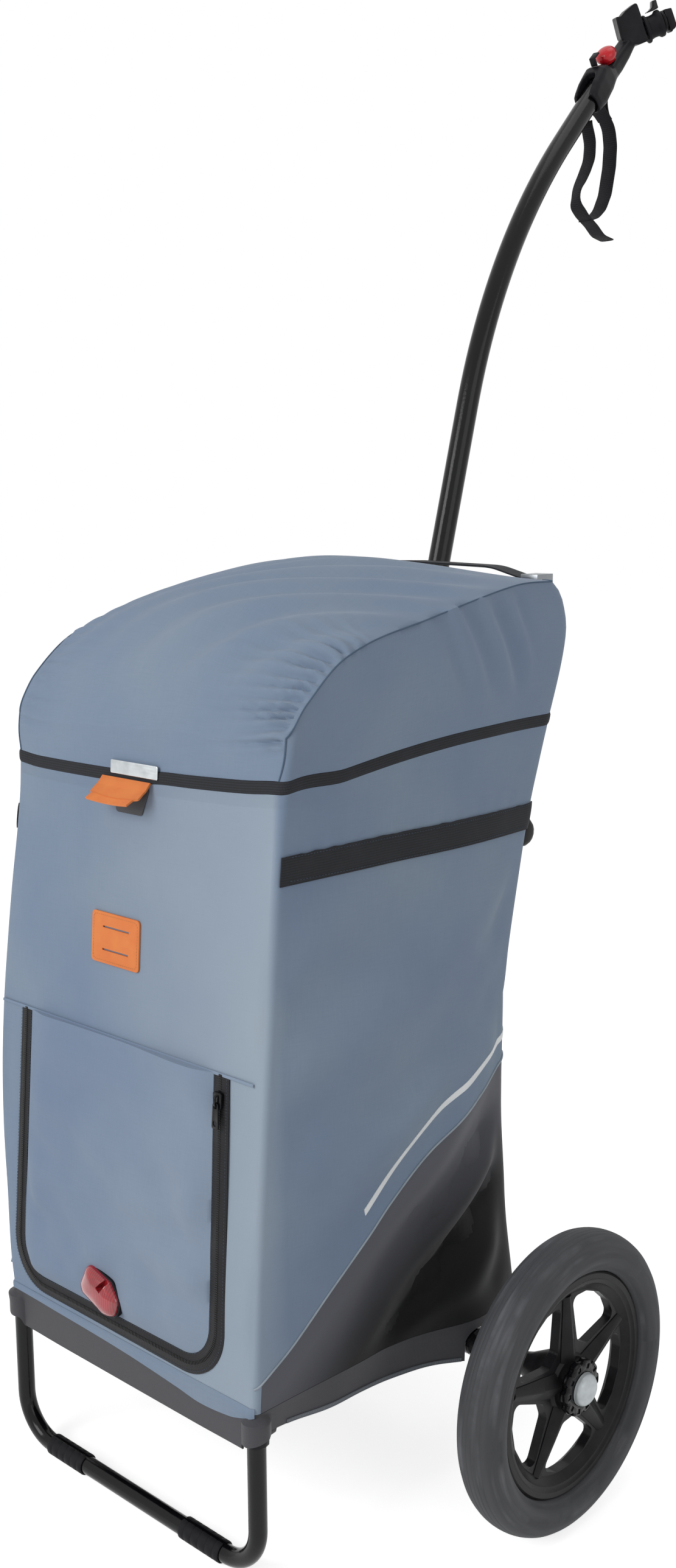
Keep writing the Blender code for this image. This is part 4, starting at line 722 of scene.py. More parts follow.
@dataclass(frozen=True)
class Metal:
    """Bare metal, brushed along one axis."""

    name: str
    colour: str
    roughness: float
    brush: tuple[float, float, float] = (1.0, 20.0, 20.0)
    metallic: float = 1.0

    def make(self) -> bpy.types.Material:
        """The material."""
        mixer = Mixer(self.name, self.roughness, self.metallic)
        lines = mixer.noise(60.0, 4.0, mixer.stretched(mixer.spot, self.brush))
        stains = mixer.noise(90.0, 3.0)
        colour = mixer.mix(mixer.spread(stains, 0.4, 0.8, 0.0, 0.4), self.colour, "8d9092")
        mixer.bump(lines, 0.00004)
        return mixer.done(colour, mixer.spread(lines, 0.3, 0.7, self.roughness * 0.8, self.roughness * 1.3))


@dataclass(frozen=True)
class Tyre:
    """Tyre rubber: matt, with dusty streaks round the sidewall."""

    name: str
    colour: str
    dusty: str

    def make(self) -> bpy.types.Material:
        """The material."""
        mixer = Mixer(self.name, 0.78)
        ring = mixer.cloth_spot()
        streaks = mixer.noise(26.0, 6.0, mixer.stretched(ring, (4.0, 0.25, 1.0)))
        blotch = mixer.noise(20.0, 5.0)
        share = mixer.math("MULTIPLY", mixer.spread(streaks, 0.48, 0.72), mixer.spread(blotch, 0.42, 0.66))
        mixer.bump(mixer.noise(1400.0, 2.0), 0.00006)
        mixer.bump(streaks, 0.00012)
        return mixer.done(
            mixer.mix(share, self.colour, self.dusty), mixer.spread(streaks, 0.3, 0.7, 0.66, 0.88)
        )


@dataclass(frozen=True)
class Cloth:
    """Coated woven cloth. Warp and weft follow the piece's own UV map."""

    name: str
    colour: str
    light: str
    dark: str
    roughness: float = 0.82
    threads: float = 1400.0
    depth: float = 0.00006
    slub: float = 0.14
    sheen: float = 0.15
    # how strong the painted sheen on the front's right half is
    painted_sheen_share: float = 0.5

    def weave(self, mixer: Mixer) -> tuple[bpy.types.NodeSocket, bpy.types.NodeSocket]:
        """Wires the threads.

        Args:
            mixer: the material being made.

        Returns:
            The relief of the threads, and the uneven thickness of single yarns.
        """
        spot = mixer.cloth_spot()
        warp = mixer.wave(self.threads, spot, "X", 0.6)
        weft = mixer.wave(self.threads, spot, "Y", 0.6)
        relief = mixer.math("MAXIMUM", warp, weft)
        along = mixer.noise(260.0, 3.0, mixer.stretched(spot, (0.16, 2.4, 1.0)))
        across = mixer.noise(260.0, 3.0, mixer.stretched(spot, (2.4, 0.16, 1.0)))
        return relief, mixer.math("MULTIPLY", mixer.math("ADD", along, across), 0.5)

    def tint(self, mixer: Mixer) -> bpy.types.NodeSocket:
        """Wires the cloth's colour and relief, and gives the colour."""
        relief, yarns = self.weave(mixer)
        # random tone and painted light: the broad mottling between the base colour and the paler light colour
        # also stands for the cloth's uneven shade and sheen
        fade = mixer.noise(5.0, 4.0)
        colour = mixer.mix(mixer.spread(fade, 0.35, 0.7), self.colour, self.light)
        colour = mixer.mix(mixer.spread(yarns, 0.42, 0.62, 0.0, self.slub), colour, self.dark)
        mixer.bump(relief, self.depth)
        mixer.bump(yarns, self.depth * 1.4)
        mixer.set(Sheen_Weight=self.sheen, Sheen_Roughness=0.5)
        return colour

    def painted_sheen(self, mixer: Mixer, colour: bpy.types.NodeSocket) -> bpy.types.NodeSocket:
        """Wires a painted sheen: a pale grey highlight mixed over the front's right half."""
        parts = mixer.node("ShaderNodeSeparateXYZ")
        mixer.wire(mixer.spot, parts.inputs[0])
        right = mixer.spread(parts.outputs["X"], -0.08, 0.185)
        edge = mixer.spread(parts.outputs["X"], 0.183, 0.192, 1.0, 0.0)
        front = mixer.spread(parts.outputs["Y"], -0.375, -0.4, 0.0, self.painted_sheen_share)
        share = mixer.math("MULTIPLY", mixer.math("MULTIPLY", right, edge), front)
        # painted sheen: the front's right half is mixed towards pale grey b3c0ca, as a highlight
        return mixer.mix(share, colour, "b3c0ca")

    def make(self) -> bpy.types.Material:
        """The material."""
        mixer = Mixer(self.name, self.roughness)
        return mixer.done(self.painted_sheen(mixer, self.tint(mixer)))


@dataclass(frozen=True)
class TwoToneCloth(Cloth):
    """The bag's cloth: blue above the piping and black below it, as a stored distance says, with a painted
    grey sheen on the black near the piping.
    """

    below: str = "0c0c0d"
    below_light: str = "17171a"

    def make(self) -> bpy.types.Material:
        """The material."""
        mixer = Mixer(self.name, self.roughness)
        blue = self.painted_sheen(mixer, self.tint(mixer))
        black = mixer.mix(mixer.spread(mixer.noise(14.0, 4.0), 0.4, 0.7), self.below, self.below_light)
        height = mixer.attribute("piping")
        # painted sheen: the black turns grey 62636a towards the piping, as a highlight
        black = mixer.mix(mixer.spread(height, -0.13, -0.03), black, "62636a")
        lower = mixer.math("LESS_THAN", height, 0.0)
        rough = mixer.math("MULTIPLY_ADD", lower, -0.22)
        rough.node.inputs[2].default_value = self.roughness
        gloss = mixer.math("MULTIPLY_ADD", lower, -0.36)
        gloss.node.inputs[2].default_value = 0.5
        mixer.wire(gloss, mixer.surface.inputs["Specular IOR Level"])
        return mixer.done(mixer.mix(lower, blue, black), rough)


@dataclass(frozen=True)
class Webbing:
    """Woven tape: ribs across its width, read from its UV map."""

    name: str
    colour: str
    light: str
    ribs: float = 700.0
    roughness: float = 0.8
    depth: float = 0.00022

    def make(self) -> bpy.types.Material:
        """The material."""
        mixer = Mixer(self.name, self.roughness)
        spot = mixer.cloth_spot()
        ribs = mixer.wave(self.ribs, spot, "X", 0.4)
        rows = mixer.wave(self.ribs * 0.6, spot, "Y", 0.3)
        both = mixer.math("MULTIPLY", ribs, rows)
        fade = mixer.noise(40.0, 4.0)
        colour = mixer.mix(mixer.spread(both, 0.1, 0.8), self.colour, self.light)
        colour = mixer.mix(mixer.spread(fade, 0.45, 0.8, 0.0, 0.4), colour, self.light)
        mixer.bump(both, self.depth)
        mixer.set(Sheen_Weight=0.04, Specular_IOR_Level=0.2)
        return mixer.done(colour)


@dataclass(frozen=True)
class Leather:
    """Vegetable-tanned leather: fine grain and soft, lighter clouds."""

    name: str
    colour: str
    light: str

    def make(self) -> bpy.types.Material:
        """The material."""
        mixer = Mixer(self.name, 0.52)
        cells = mixer.node("ShaderNodeTexVoronoi", feature="DISTANCE_TO_EDGE")
        mixer.wire(mixer.spot, cells.inputs["Vector"])
        cells.inputs["Scale"].default_value = 1100.0
        grain = mixer.spread(cells.outputs["Distance"], 0.0, 0.12)
        clouds = mixer.noise(45.0, 5.0)
        colour = mixer.mix(mixer.spread(clouds, 0.3, 0.7), self.colour, self.light)
        mixer.bump(grain, 0.00005)
        mixer.bump(clouds, 0.00015)
        return mixer.done(colour, mixer.spread(clouds, 0.3, 0.7, 0.45, 0.62))


@dataclass(frozen=True)
class Lens:
    """Clear red plastic over a ribbed reflector."""

    name: str
    colour: str
    deep: str

    def make(self) -> bpy.types.Material:
        """The material."""
        mixer = Mixer(self.name, 0.12)
        ribs = mixer.wave(420.0, mixer.spot, "X")
        glow = mixer.noise(60.0, 3.0)
        colour = mixer.mix(mixer.spread(ribs, 0.2, 0.9, 0.0, 0.5), self.colour, self.deep)
        colour = mixer.mix(mixer.spread(glow, 0.4, 0.8, 0.0, 0.5), colour, self.deep)
        mixer.set(
            Coat_Weight=0.8, Coat_Roughness=0.06, Subsurface_Weight=0.15,
            Subsurface_Radius=(0.006, 0.001, 0.001),
        )
        return mixer.done(colour)


class Finishes:
    """Every material of the trailer, made once."""

    def __init__(self) -> None:
        """Makes the materials."""
        self.powder = Powder("black_powder_coat", "0b0b0e", "151518", 0.15).make()
        self.plastic = Plastic("moulded_black", "141417", "222226", 0.36).make()
        self.wheel = Plastic("wheel_black", "18181a", "262628", 0.36, 500.0, 0.0001).make()
        self.glossy = Plastic("knob_black", "0e0e10", "19191c", 0.22, shine=0.2).make()
        self.rubber = Plastic("soft_rubber", "18181b", "252528", 0.6, 700.0, 0.0001).make()
        self.tyre = Tyre("tyre_rubber", "3c3d40", "707175").make()
        self.red = Plastic("red_knob", "c8141f", "d3222e", 0.28, 600.0, 0.00003, 0.2, 0.3).make()
        self.lens = Lens("red_lens", "b81c29", "5a0a12").make()
        self.silver = Metal("satin_silver", "c9cfd1", 0.34).make()
        self.dome = Metal("button_silver", "c2c9cb", 0.42, (6.0, 6.0, 6.0), 0.35).make()
        self.pewter = Metal("pewter", "85898d", 0.3).make()
        self.cloth = TwoToneCloth("bag_cloth", "788aa3", "8797a8", "6a7d95").make()
        self.lid_cloth = Cloth("lid_cloth", "788aa3", "8595a7", "6a7d95", painted_sheen_share=0.0).make()
        self.pocket_cloth = Cloth("pocket_cloth", "7789a3", "8394a9", "687b94", painted_sheen_share=0.2).make()
        self.dark_cloth = Cloth(
            "skirt_cloth", "323237", "3e3e44", "252529", 0.62, 1100.0, painted_sheen_share=0.0
        ).make()
        self.webbing = Webbing("black_tape", "27282b", "37383d", depth=0.00008).make()
        self.zip = Webbing("zip_cloth", "161618", "2b2b2f", depth=0.0001, roughness=0.55).make()
        self.strap = Webbing("strap_tape", "1e1e21", "333337").make()
        self.grey_tape = Webbing("hem_tape", "6b7076", "868b91", 500.0).make()
        self.white = Plastic("white_print", "fbfdfe", "f0f4f6", 0.45, 800.0, 0.00004).make()
        self.leather = Leather("tan_leather", "e17630", "e98843").make()
        self.thread = Plastic("thread", "3f4a56", "55606c", 0.8, 1500.0, 0.00004).make()
        self.seam = Plastic("seam_thread", "54667a", "5f7186", 0.8, 1500.0, 0.00004).make()
        self.piping = Plastic("piping_cord", "98a4ae", "aab4bc", 0.5, 900.0, 0.00004).make()
        self.tan_thread = Plastic("tan_thread", "c98a5a", "b8794a", 0.8, 1500.0, 0.00004).make()
        self.board = Plastic("base_board", "303033", "424245", 0.7).make()


# Repeats, made by geometry nodes


class Repeat(Enum):
    """The small shapes that are laid along a line."""

    STITCH = "stitch"
    TOOTH = "tooth"


class RepeatAlong:
    """Lays one small shape at an even spacing along a line, by geometry nodes."""

    def __init__(self, kind: Repeat) -> None:
        """Builds the node tree.

        Args:
            kind: the shape that is repeated.
        """
        self.tree = bpy.data.node_groups.new(f"repeat_{kind.value}", "GeometryNodeTree")
        face = self.tree.interface
        face.new_socket("Geometry", in_out="INPUT", socket_type="NodeSocketGeometry")
        for name, default in (
            ("Spacing", 0.004), ("Length", 0.003), ("Width", 0.0008), ("Height", 0.0006), ("Jitter", 0.1)
        ):
            socket = face.new_socket(name, in_out="INPUT", socket_type="NodeSocketFloat")
            socket.default_value = default
        face.new_socket("Seed", in_out="INPUT", socket_type="NodeSocketInt").default_value = 7
        face.new_socket("Finish", in_out="INPUT", socket_type="NodeSocketMaterial")
        face.new_socket("Geometry", in_out="OUTPUT", socket_type="NodeSocketGeometry")
        self.wire_tree(kind)

    def wire_tree(self, kind: Repeat) -> None:
        """Wires the tree for one kind of shape."""
        shape = "GeometryNodeMeshUVSphere" if kind is Repeat.STITCH else "GeometryNodeMeshCube"
        align = "FunctionNodeAlignRotationToVector"
        kinds: dict[str, tuple] = {
            "given": ("NodeGroupInput",),
            "line": ("GeometryNodeMeshToCurve",),
            "spaced": ("GeometryNodeResampleCurve", {"mode": "LENGTH"}),
            "size": ("ShaderNodeCombineXYZ",),
            "unit": (shape,),
            "tangent": ("GeometryNodeInputTangent",),
            "out": ("GeometryNodeInputNamedAttribute", {"data_type": "FLOAT_VECTOR"}),
            "ahead": (align, {"axis": "X"}),
            "raised": (align, {"axis": "Z", "pivot_axis": "X"}),
            "chance": ("FunctionNodeRandomValue", {"data_type": "FLOAT"}),
            "change": ("ShaderNodeMath", {"operation": "MULTIPLY_ADD"}),
            "scaled": ("ShaderNodeVectorMath", {"operation": "SCALE"}),
            "laid": ("GeometryNodeInstanceOnPoints",),
            "real": ("GeometryNodeRealizeInstances",),
            "finish": ("GeometryNodeSetMaterial",),
            "end": ("NodeGroupOutput",),
        }
        nodes = {}
        for name, (node_kind, *settings) in kinds.items():
            nodes[name] = self.tree.nodes.new(node_kind)
            for key, value in (settings[0] if settings else {}).items():
                setattr(nodes[name], key, value)
        if kind is Repeat.STITCH:
            for name, value in (("Segments", 6), ("Rings", 4), ("Radius", 0.5)):
                nodes["unit"].inputs[name].default_value = value
        nodes["out"].inputs["Name"].default_value = "out"
        nodes["chance"].inputs["Min"].default_value = -1.0
        nodes["change"].inputs[2].default_value = 1.0
        links = (
            ("given", "Geometry", "line", "Mesh"), ("line", "Curve", "spaced", "Curve"),
            ("given", "Spacing", "spaced", "Length"), ("given", "Length", "size", "X"),
            ("given", "Width", "size", "Y"), ("given", "Height", "size", "Z"),
            ("tangent", "Tangent", "ahead", "Vector"), ("ahead", "Rotation", "raised", "Rotation"),
            ("out", "Attribute", "raised", "Vector"), ("given", "Seed", "chance", "Seed"),
            ("chance", "Value", "change", 0), ("given", "Jitter", "change", 1), ("size", 0, "scaled", 0),
            ("change", 0, "scaled", "Scale"), ("spaced", "Curve", "laid", "Points"),
            ("unit", "Mesh", "laid", "Instance"), ("raised", "Rotation", "laid", "Rotation"),
            ("scaled", "Vector", "laid", "Scale"), ("laid", "Instances", "real", "Geometry"),
            ("real", "Geometry", "finish", "Geometry"), ("given", "Finish", "finish", "Material"),
            ("finish", "Geometry", "end", "Geometry"),
        )
        for start, output, target, socket in links:
            self.tree.links.new(nodes[start].outputs[output], nodes[target].inputs[socket])

    def lay(
        self, name: str, lines: Sequence[Sequence[tuple[Point, Point]]], dress: Dress, **sizes: float
    ) -> bpy.types.Object:
        """Lays the shapes along lines and gives them as one plain piece.

        Args:
            name: the piece's name.
            lines: each line's (point, outward direction) pairs, in the world.
            dress: what the piece is given.
            sizes: values of the tree's named inputs, with _ for a space.

        Returns:
            The finished piece.
        """
        mesh = bpy.data.meshes.new(name + "_lines")
        points = [tuple(point) for line in lines for point, _ in line]
        edges = []
        start = 0
        for line in lines:
            edges += [(start + index, start + index + 1) for index in range(len(line) - 1)]
            start += len(line)
        mesh.from_pydata(points, edges, [])
        out = mesh.attributes.new("out", "FLOAT_VECTOR", "POINT")
        for index, (_, direction) in enumerate(pair for line in lines for pair in line):
            out.data[index].vector = Vector(direction).normalized()
        obj = bpy.data.objects.new(name, mesh)
        bpy.context.scene.collection.objects.link(obj)
        change = obj.modifiers.new("Repeat", "NODES")
        change.node_group = self.tree
        values = {**sizes, "Finish": dress.material}
        for item in self.tree.interface.items_tree:
            if item.in_out == "INPUT" and item.name in values:
                change[item.identifier] = values[item.name]
        apply_modifiers(obj)
        return dress.put_on(obj)


def store(obj: bpy.types.Object, name: str, value: Callable[[Vector], float]) -> None:
    """Stores a number at each point of a piece, worked out from its place in the world."""
    layer = obj.data.attributes.new(name, "FLOAT", "POINT")
    for index, vert in enumerate(obj.data.vertices):
        layer.data[index].value = value(vert.co)


def ribbon(
    path: Sequence[Point], half: float, thick: float, across: Callable[[float], Vector], columns: int = 6
) -> Shape:
    """A flat tape carried along a path.

    Args:
        path: the path of its back face.
        half: half its width.
        thick: its thickness.
        across: the direction of its width, from the share of the path.
        columns: the strips across it.

    Returns:
        The shape, with its UV map along the tape.
    """
    points = [Vector(point) for point in path]
    shares = [2 * step / columns - 1 for step in range(columns + 1)]
    outer = []
    inner = []
    for index, (point, ahead) in enumerate(zip(points, headings(points))):
        side = across(index / (len(points) - 1))
        level = (side - ahead * side.dot(ahead)).normalized()
        out = ahead.cross(level)
        outer.append(
            [point + level * half * share + out * thick * (1 - 0.35 * abs(share) ** 4) for share in shares]
        )
        inner.append([point + level * half * share for share in shares])
    return Shape().slab(outer, inner)


def cover(order: Sequence, rows: int, outs: Sequence[float], spot: Callable[..., Point]) -> Shape:
    """A closed sheet of cloth over a grid of columns and rows.

    Args:
        order: the columns, each with its side.
        rows: the number of rows.
        outs: how far its two faces stand out.
        spot: gives a point from its column, side, row and how far it stands out.

    Returns:
        The shape.
    """
    return Shape().slab(
        *[[[spot(*column, row, out) for column in order] for row in range(rows)] for out in outs]
    )


def refined(node: str, name: str, dress: Dress, soft: float = 0.0) -> bpy.types.Object:
    """A CAD node's own shape with softened edges and smooth shading, standing for it.

    Args:
        node: the CAD node.
        name: the new piece's name.
        dress: what the piece is given.
        soft: the cell size that the shape is melted to, or 0 to keep its faces.

    Returns:
        The finished piece.
    """
    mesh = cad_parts[node].data.copy()
    obj = bpy.data.objects.new(name, mesh)
    bpy.context.scene.collection.objects.link(obj)
    bm = bmesh.new()
    bm.from_mesh(mesh)
    bmesh.ops.remove_doubles(bm, verts=bm.verts, dist=1e-6)
    bmesh.ops.dissolve_limit(bm, angle_limit=FLAT_ANGLE, verts=bm.verts, edges=bm.edges)
    bm.to_mesh(mesh)
    bm.free()
    if soft:
        melt = obj.modifiers.new("Melt", "REMESH")
        melt.mode = "VOXEL"
        melt.voxel_size = soft
        smooth = obj.modifiers.new("Smooth", "SMOOTH")
        smooth.factor = 0.5
        smooth.iterations = 7
        apply_modifiers(obj)
    return dress.put_on(obj)


def repaint(node: str, material: bpy.types.Material) -> None:
    """Gives a CAD node that stays a finish of its own."""
    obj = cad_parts[node]
    if not obj.material_slots:
        obj.data.materials.append(material)
    for slot in obj.material_slots:
        slot.material = material


# The frame


@dataclass
class FootFrame:
    """The U-shaped foot tube, its glides and elbows, the rails, the axle and the uprights."""

    finishes: Finishes
    foot_radius: float = 0.00925
    foot_x: float = 0.183
    foot_y: float = -0.279
    foot_z: float = 0.01115
    foot_bend: float = 0.046
    top_z: float = 0.1679
    glide_x: float = 0.1065
    glide_length: float = 0.058
    rail_radius: float = 0.009
    rail_x: float = 0.17
    axle_radius: float = 0.015
    axle_half: float = 0.222
    upright_top: float = 0.375
    upright_foot: float = 0.133
    upright_bend: float = 0.12
    wall: float = 0.0015

    def tube(
        self, name: str, path: Sequence[Point], radius: float, across: Point, place: Matrix, node: str
    ) -> None:
        """One powder-coated tube that stands for its CAD node."""
        shape = Shape().sweep(path, circle(radius, 36), across, circle(radius - self.wall, 36))
        dress = Dress(FRAME_BODY, self.finishes.powder, "black_powder", (node,), sharp_deg=50.0)
        dress.make(name, shape, place)

    def build(self) -> None:
        """Builds every piece of the frame below and behind the bag."""
        low = [(-self.foot_x, self.foot_y, self.foot_z), (self.foot_x, self.foot_y, self.foot_z)]
        corners = [(-self.foot_x, self.foot_y, self.top_z), *low, (self.foot_x, self.foot_y, self.top_z)]
        bent = rounded(corners, self.foot_bend, 14, closed=False)
        self.tube("foot_rail", bent, self.foot_radius, (0.0, 1.0, 0.0), Places.trailer, "foot_tube")
        ends = [(-self.axle_half, 0.0, AXLE_Z), (self.axle_half, 0.0, AXLE_Z)]
        self.tube("axle_bar", ends, self.axle_radius, (0.0, 1.0, 0.0), Places.trailer, "axle_tube")
        rail_ends = [(0.0, self.foot_y + 0.0133, AXLE_Z), (0.0, -0.0204, AXLE_Z)]
        for name, side in SIDES:
            place = Places.trailer @ moved(side * self.rail_x, 0.0, 0.0)
            self.tube(
                f"rail_{name}", rail_ends, self.rail_radius, (1.0, 0.0, 0.0), place, f"side_rail_{name}"
            )
            self.upright(name, side)
            self.moulded(name, side)
        for node in ("crossbar", "lower_crossbar"):
            dress = Dress(FRAME_BODY, self.finishes.plastic, "black_plastic", (node,), 0.0012, 42.0)
            refined(node, f"{node}_moulding", dress)
        knob = Dress("clamp", self.finishes.glossy, "black_plastic", ("clamp_knob",), 0.0008, 42.0)
        refined("clamp_knob", "clamp_star", knob)
        repaint("base_board", self.finishes.board)

    def upright(self, name: str, side: int) -> None:
        """One bent upright and the plug in its top."""
        lean = radians(Mast.lean_deg)
        rise = self.upright_top
        top = (0.0, rise * sin(lean), Mast.lean_z + rise * cos(lean))
        path = rounded(
            [(0.0, 0.0, self.upright_foot), (0.0, 0.0, Mast.lean_z), top], self.upright_bend, 10, closed=False
        )
        place = Places.trailer @ moved(side * Mast.upright_x, Mast.upright_y, 0.0)
        self.tube(f"post_{name}", path, self.rail_radius, (1.0, 0.0, 0.0), place, f"upright_{name}")
        dress = Dress(
            FRAME_BODY, self.finishes.plastic, "black_plastic", (f"upright_plug_{name}",), 0.0, 42.0
        )
        refined(f"upright_plug_{name}", f"post_plug_{name}", dress)

    def moulded(self, name: str, side: int) -> None:
        """The moulded elbows, brackets, glides and end caps on one side."""
        for node in (f"corner_connector_{name}", f"axle_bracket_{name}", f"crossbar_cap_{name}"):
            dress = Dress(FRAME_BODY, self.finishes.plastic, "black_plastic", (node,), 0.001, 42.0)
            refined(node, f"{node}_moulding", dress)
        radius = self.foot_radius
        end = self.glide_length / 2
        outer = self.foot_z
        profile = [(-end, radius + 0.0003), (-end, outer - 0.0008), (0.001 - end, outer)]
        for rib in range(5):
            x = -end + 0.008 + rib * 0.0105
            profile += [(x - 0.0014, outer), (x, outer - 0.0006), (x + 0.0014, outer)]
        profile += [(end - 0.001, outer), (end, outer - 0.0008), (end, radius + 0.0003)]
        place = Places.trailer @ moved(side * self.glide_x, self.foot_y, self.foot_z)
        glide = new_object(f"glide_{name}", Shape().lathe(profile, 40, ring=True), place)
        slit = Shape().prism(
            [(-0.0022, 0.006), (0.0022, 0.006), (0.0022, 0.02), (-0.0022, 0.02)], -0.05, 0.05
        )
        cut(glide, slit, place)
        node = f"foot_glide_{name}"
        Dress(FRAME_BODY, self.finishes.rubber, "black_rubber", (node,), sharp_deg=40.0).put_on(glide)


# The wheels


@dataclass
class Wheel:
    """One moulded five-spoke wheel with its tyre, cap and push button."""

    finishes: Finishes
    name: str
    side: int
    radius: float = 0.1525
    tyre_width: float = 0.048
    rim_radius: float = 0.1135
    rim_width: float = 0.025
    bed_radius: float = 0.1075
    inner_radius: float = 0.093
    web_half: float = 0.005
    spokes: int = 5
    first_spoke_deg: float = 93.0
    hub_radius: float = 0.027
    hub_out: float = 0.015
    hub_in: float = -0.046
    cap_radius: float = 0.029
    lobes: int = 10
    button_radius: float = 0.0168
    button_travel: float = 0.003

    @property
    def body(self) -> str:
        """The CAD body that turns."""
        return f"wheel_{self.name}"

    def disc(self) -> None:
        """The moulded disc: rim, five windows, ridged spokes and the hub cone."""
        half = self.rim_width / 2
        bed = self.bed_radius
        profile = [
            (-half, self.rim_radius), (0.004 - half, bed), (half - 0.004, bed), (half, self.rim_radius),
            (half + 0.0012, self.rim_radius - 0.0018), (half + 0.0012, bed - 0.001),
            (half - 0.0006, bed - 0.003), (half - 0.0012, bed - 0.0062),
            (half - 0.0034, self.inner_radius + 0.0062), (self.web_half + 0.0016, self.inner_radius + 0.0018),
            (self.web_half, self.inner_radius), (self.web_half, self.hub_radius + 0.003),
            (self.web_half + 0.003, self.hub_radius), (self.hub_out, self.hub_radius - 0.001),
            (self.hub_out, 0.0104), (self.hub_in, 0.0104), (self.hub_in, 0.0125), (-0.04, 0.0145),
            (-0.018, self.hub_radius - 0.001), (-self.web_half, self.hub_radius + 0.001),
            (-self.web_half, self.inner_radius), (0.002 - half, self.inner_radius + 0.004),
            (-half, self.inner_radius + 0.012),
        ]
        place = Places.hub(self.side)
        disc = new_object(f"spoked_disc_{self.name}", Shape().lathe(profile, 120, ring=True), place)
        pitch = 2 * pi / self.spokes
        windows = Shape()
        ridges = Shape()
        low, high = 0.042, self.inner_radius - 0.0045
        for step in range(self.spokes):
            spoke = radians(self.first_spoke_deg) + step * pitch
            corners = []
            for radius, swing in (
                (low, -13), (high, -30), (high + 0.0032, -15), (high + 0.004, 0), (high + 0.0032, 15),
                (high, 30), (low, 13),
            ):
                angle = spoke + pitch / 2 + radians(swing)
                corners.append((radius * cos(angle), radius * sin(angle)))
            windows.prism([tuple(point) for point in rounded(corners, 0.0075, 6)], -0.03, 0.03)
            self.ridge(ridges, spoke)
        cut(disc, windows, place)
        cut(disc, ridges, place, "UNION")
        dress = Dress(
            self.body, self.finishes.wheel, "black_plastic", (f"wheel_disc_{self.name}",), 0.0009, 32.0
        )
        dress.put_on(disc)

    def ridge(self, shape: Shape, angle: float) -> None:
        """Adds one spoke's roof-shaped ridge, wide at the hub and narrow at the rim."""
        along = Vector((0.0, cos(angle), sin(angle)))
        across = Vector((0.0, -sin(angle), cos(angle)))
        ahead = Vector((1.0, 0.0, 0.0))
        rings = []
        for radius, wide, tall in (
            (self.hub_radius - 0.004, 0.0128, 0.0086), (0.05, 0.0108, 0.0072), (0.075, 0.0084, 0.005),
            (self.inner_radius + 0.0016, 0.007, 0.0036),
        ):
            base = along * radius + ahead * (self.web_half - 0.002)
            crest = ahead * (tall + 0.002)
            shoulder = ahead * 0.0028
            rings.append(
                [
                    base - across * wide, base + across * wide, base + across * wide + shoulder,
                    base + crest + across * 0.0009, base + crest - across * 0.0009,
                    base - across * wide + shoulder,
                ]
            )
        shape.loft(rings)

    def tyre(self) -> None:
        """The tyre: bead, round sidewall with two raised rings, and a shallow tread."""
        half = self.tyre_width / 2
        tall = self.radius - self.rim_radius
        foot = self.rim_width / 2 - 0.0046
        table = (
            (0.0, 0.6), (0.09, 0.7), (0.2, 0.9), (0.36, 0.995), (0.52, 0.995), (0.68, 0.93), (0.82, 0.8),
            (0.91, 0.63),
        )
        wall = []
        for step in range(25):
            height = 0.91 * step / 24
            ring = 0.0005 * (bell(height, 0.16, 0.012) + bell(height, 0.6, 0.01) + bell(height, 0.66, 0.008))
            wall.append((half * smooth_value(table, height) + ring, self.rim_radius + tall * height))
        crown = []
        for step in range(1, 26):
            share = 1 - step / 26
            width = 0.63 * share
            groove = 0.0005 * max(bell(width, 0.5, 0.022), bell(width, 0.3, 0.022), bell(width, 0.11, 0.022))
            height = 1.0 - 0.09 * (width / 0.63) ** 2.2
            crown.append((half * width, self.rim_radius + tall * height - groove))
        side = [(foot, self.bed_radius + 0.0009), (foot + 0.001, self.rim_radius + 0.0006)] + wall[1:] + crown
        profile = side + [(-x, r) for x, r in side[::-1]]
        rings = [
            [(x, r * cos(t), r * sin(t)) for x, r in profile + profile[:1]]
            for t in [2 * pi * step / 144 for step in range(145)]
        ]
        shape = Shape()
        shape.sheet(rings)
        dress = Dress(self.body, self.finishes.tyre, "tyre", (f"tyre_{self.name}",), sharp_deg=60.0)
        dress.make(f"road_tyre_{self.name}", shape, Places.hub(self.side))

    def cap_and_button(self) -> None:
        """The lobed cap dished round the button, and the domed button itself."""
        start = self.hub_out + 0.0003
        place = Places.hub(self.side)
        rings = []
        for x, size in (
            (start, 0.985), (start + 0.0016, 1.0), (start + 0.005, 0.985), (start + 0.0072, 0.955),
            (start + 0.008, 0.91),
        ):
            ring = []
            for step in range(160):
                turn = 2 * pi * step / 160
                lobe = cos(self.lobes * turn)
                radius = self.cap_radius * size - 0.0026 * (1 - ease(lobe, -0.75, 0.15))
                ring.append((x, radius * cos(turn), radius * sin(turn)))
            rings.append(ring)
        cap = new_object(f"lobed_cap_{self.name}", Shape().loft(rings), place)
        edge = self.button_radius + 0.0006
        dish = [
            (start + 0.003, 0.0), (start + 0.003, edge - 0.001), (start + 0.004, edge), (start + 0.03, edge),
            (start + 0.03, 0.0),
        ]
        cut(cap, Shape().lathe(dish, 72), place)
        cut(
            cap,
            Shape().lathe(
                [(start - 0.01, 0.0), (start - 0.01, 0.0072), (start + 0.01, 0.0072), (start + 0.01, 0.0)], 40
            ),
            place,
        )
        pips = Shape()
        for step in range(self.lobes):
            turn = 2 * pi * step / self.lobes
            corners = [(0.0202, -0.0022), (0.0252, -0.003), (0.0252, 0.003), (0.0202, 0.0022)]
            spun = [(a * cos(turn) - b * sin(turn), a * sin(turn) + b * cos(turn)) for a, b in corners]
            pips.prism(spun, start + 0.0068, start + 0.02)
        cut(cap, pips, place)
        Dress(self.body, self.finishes.glossy, "black_plastic", (f"hub_cap_{self.name}",), 0.0004).put_on(cap)
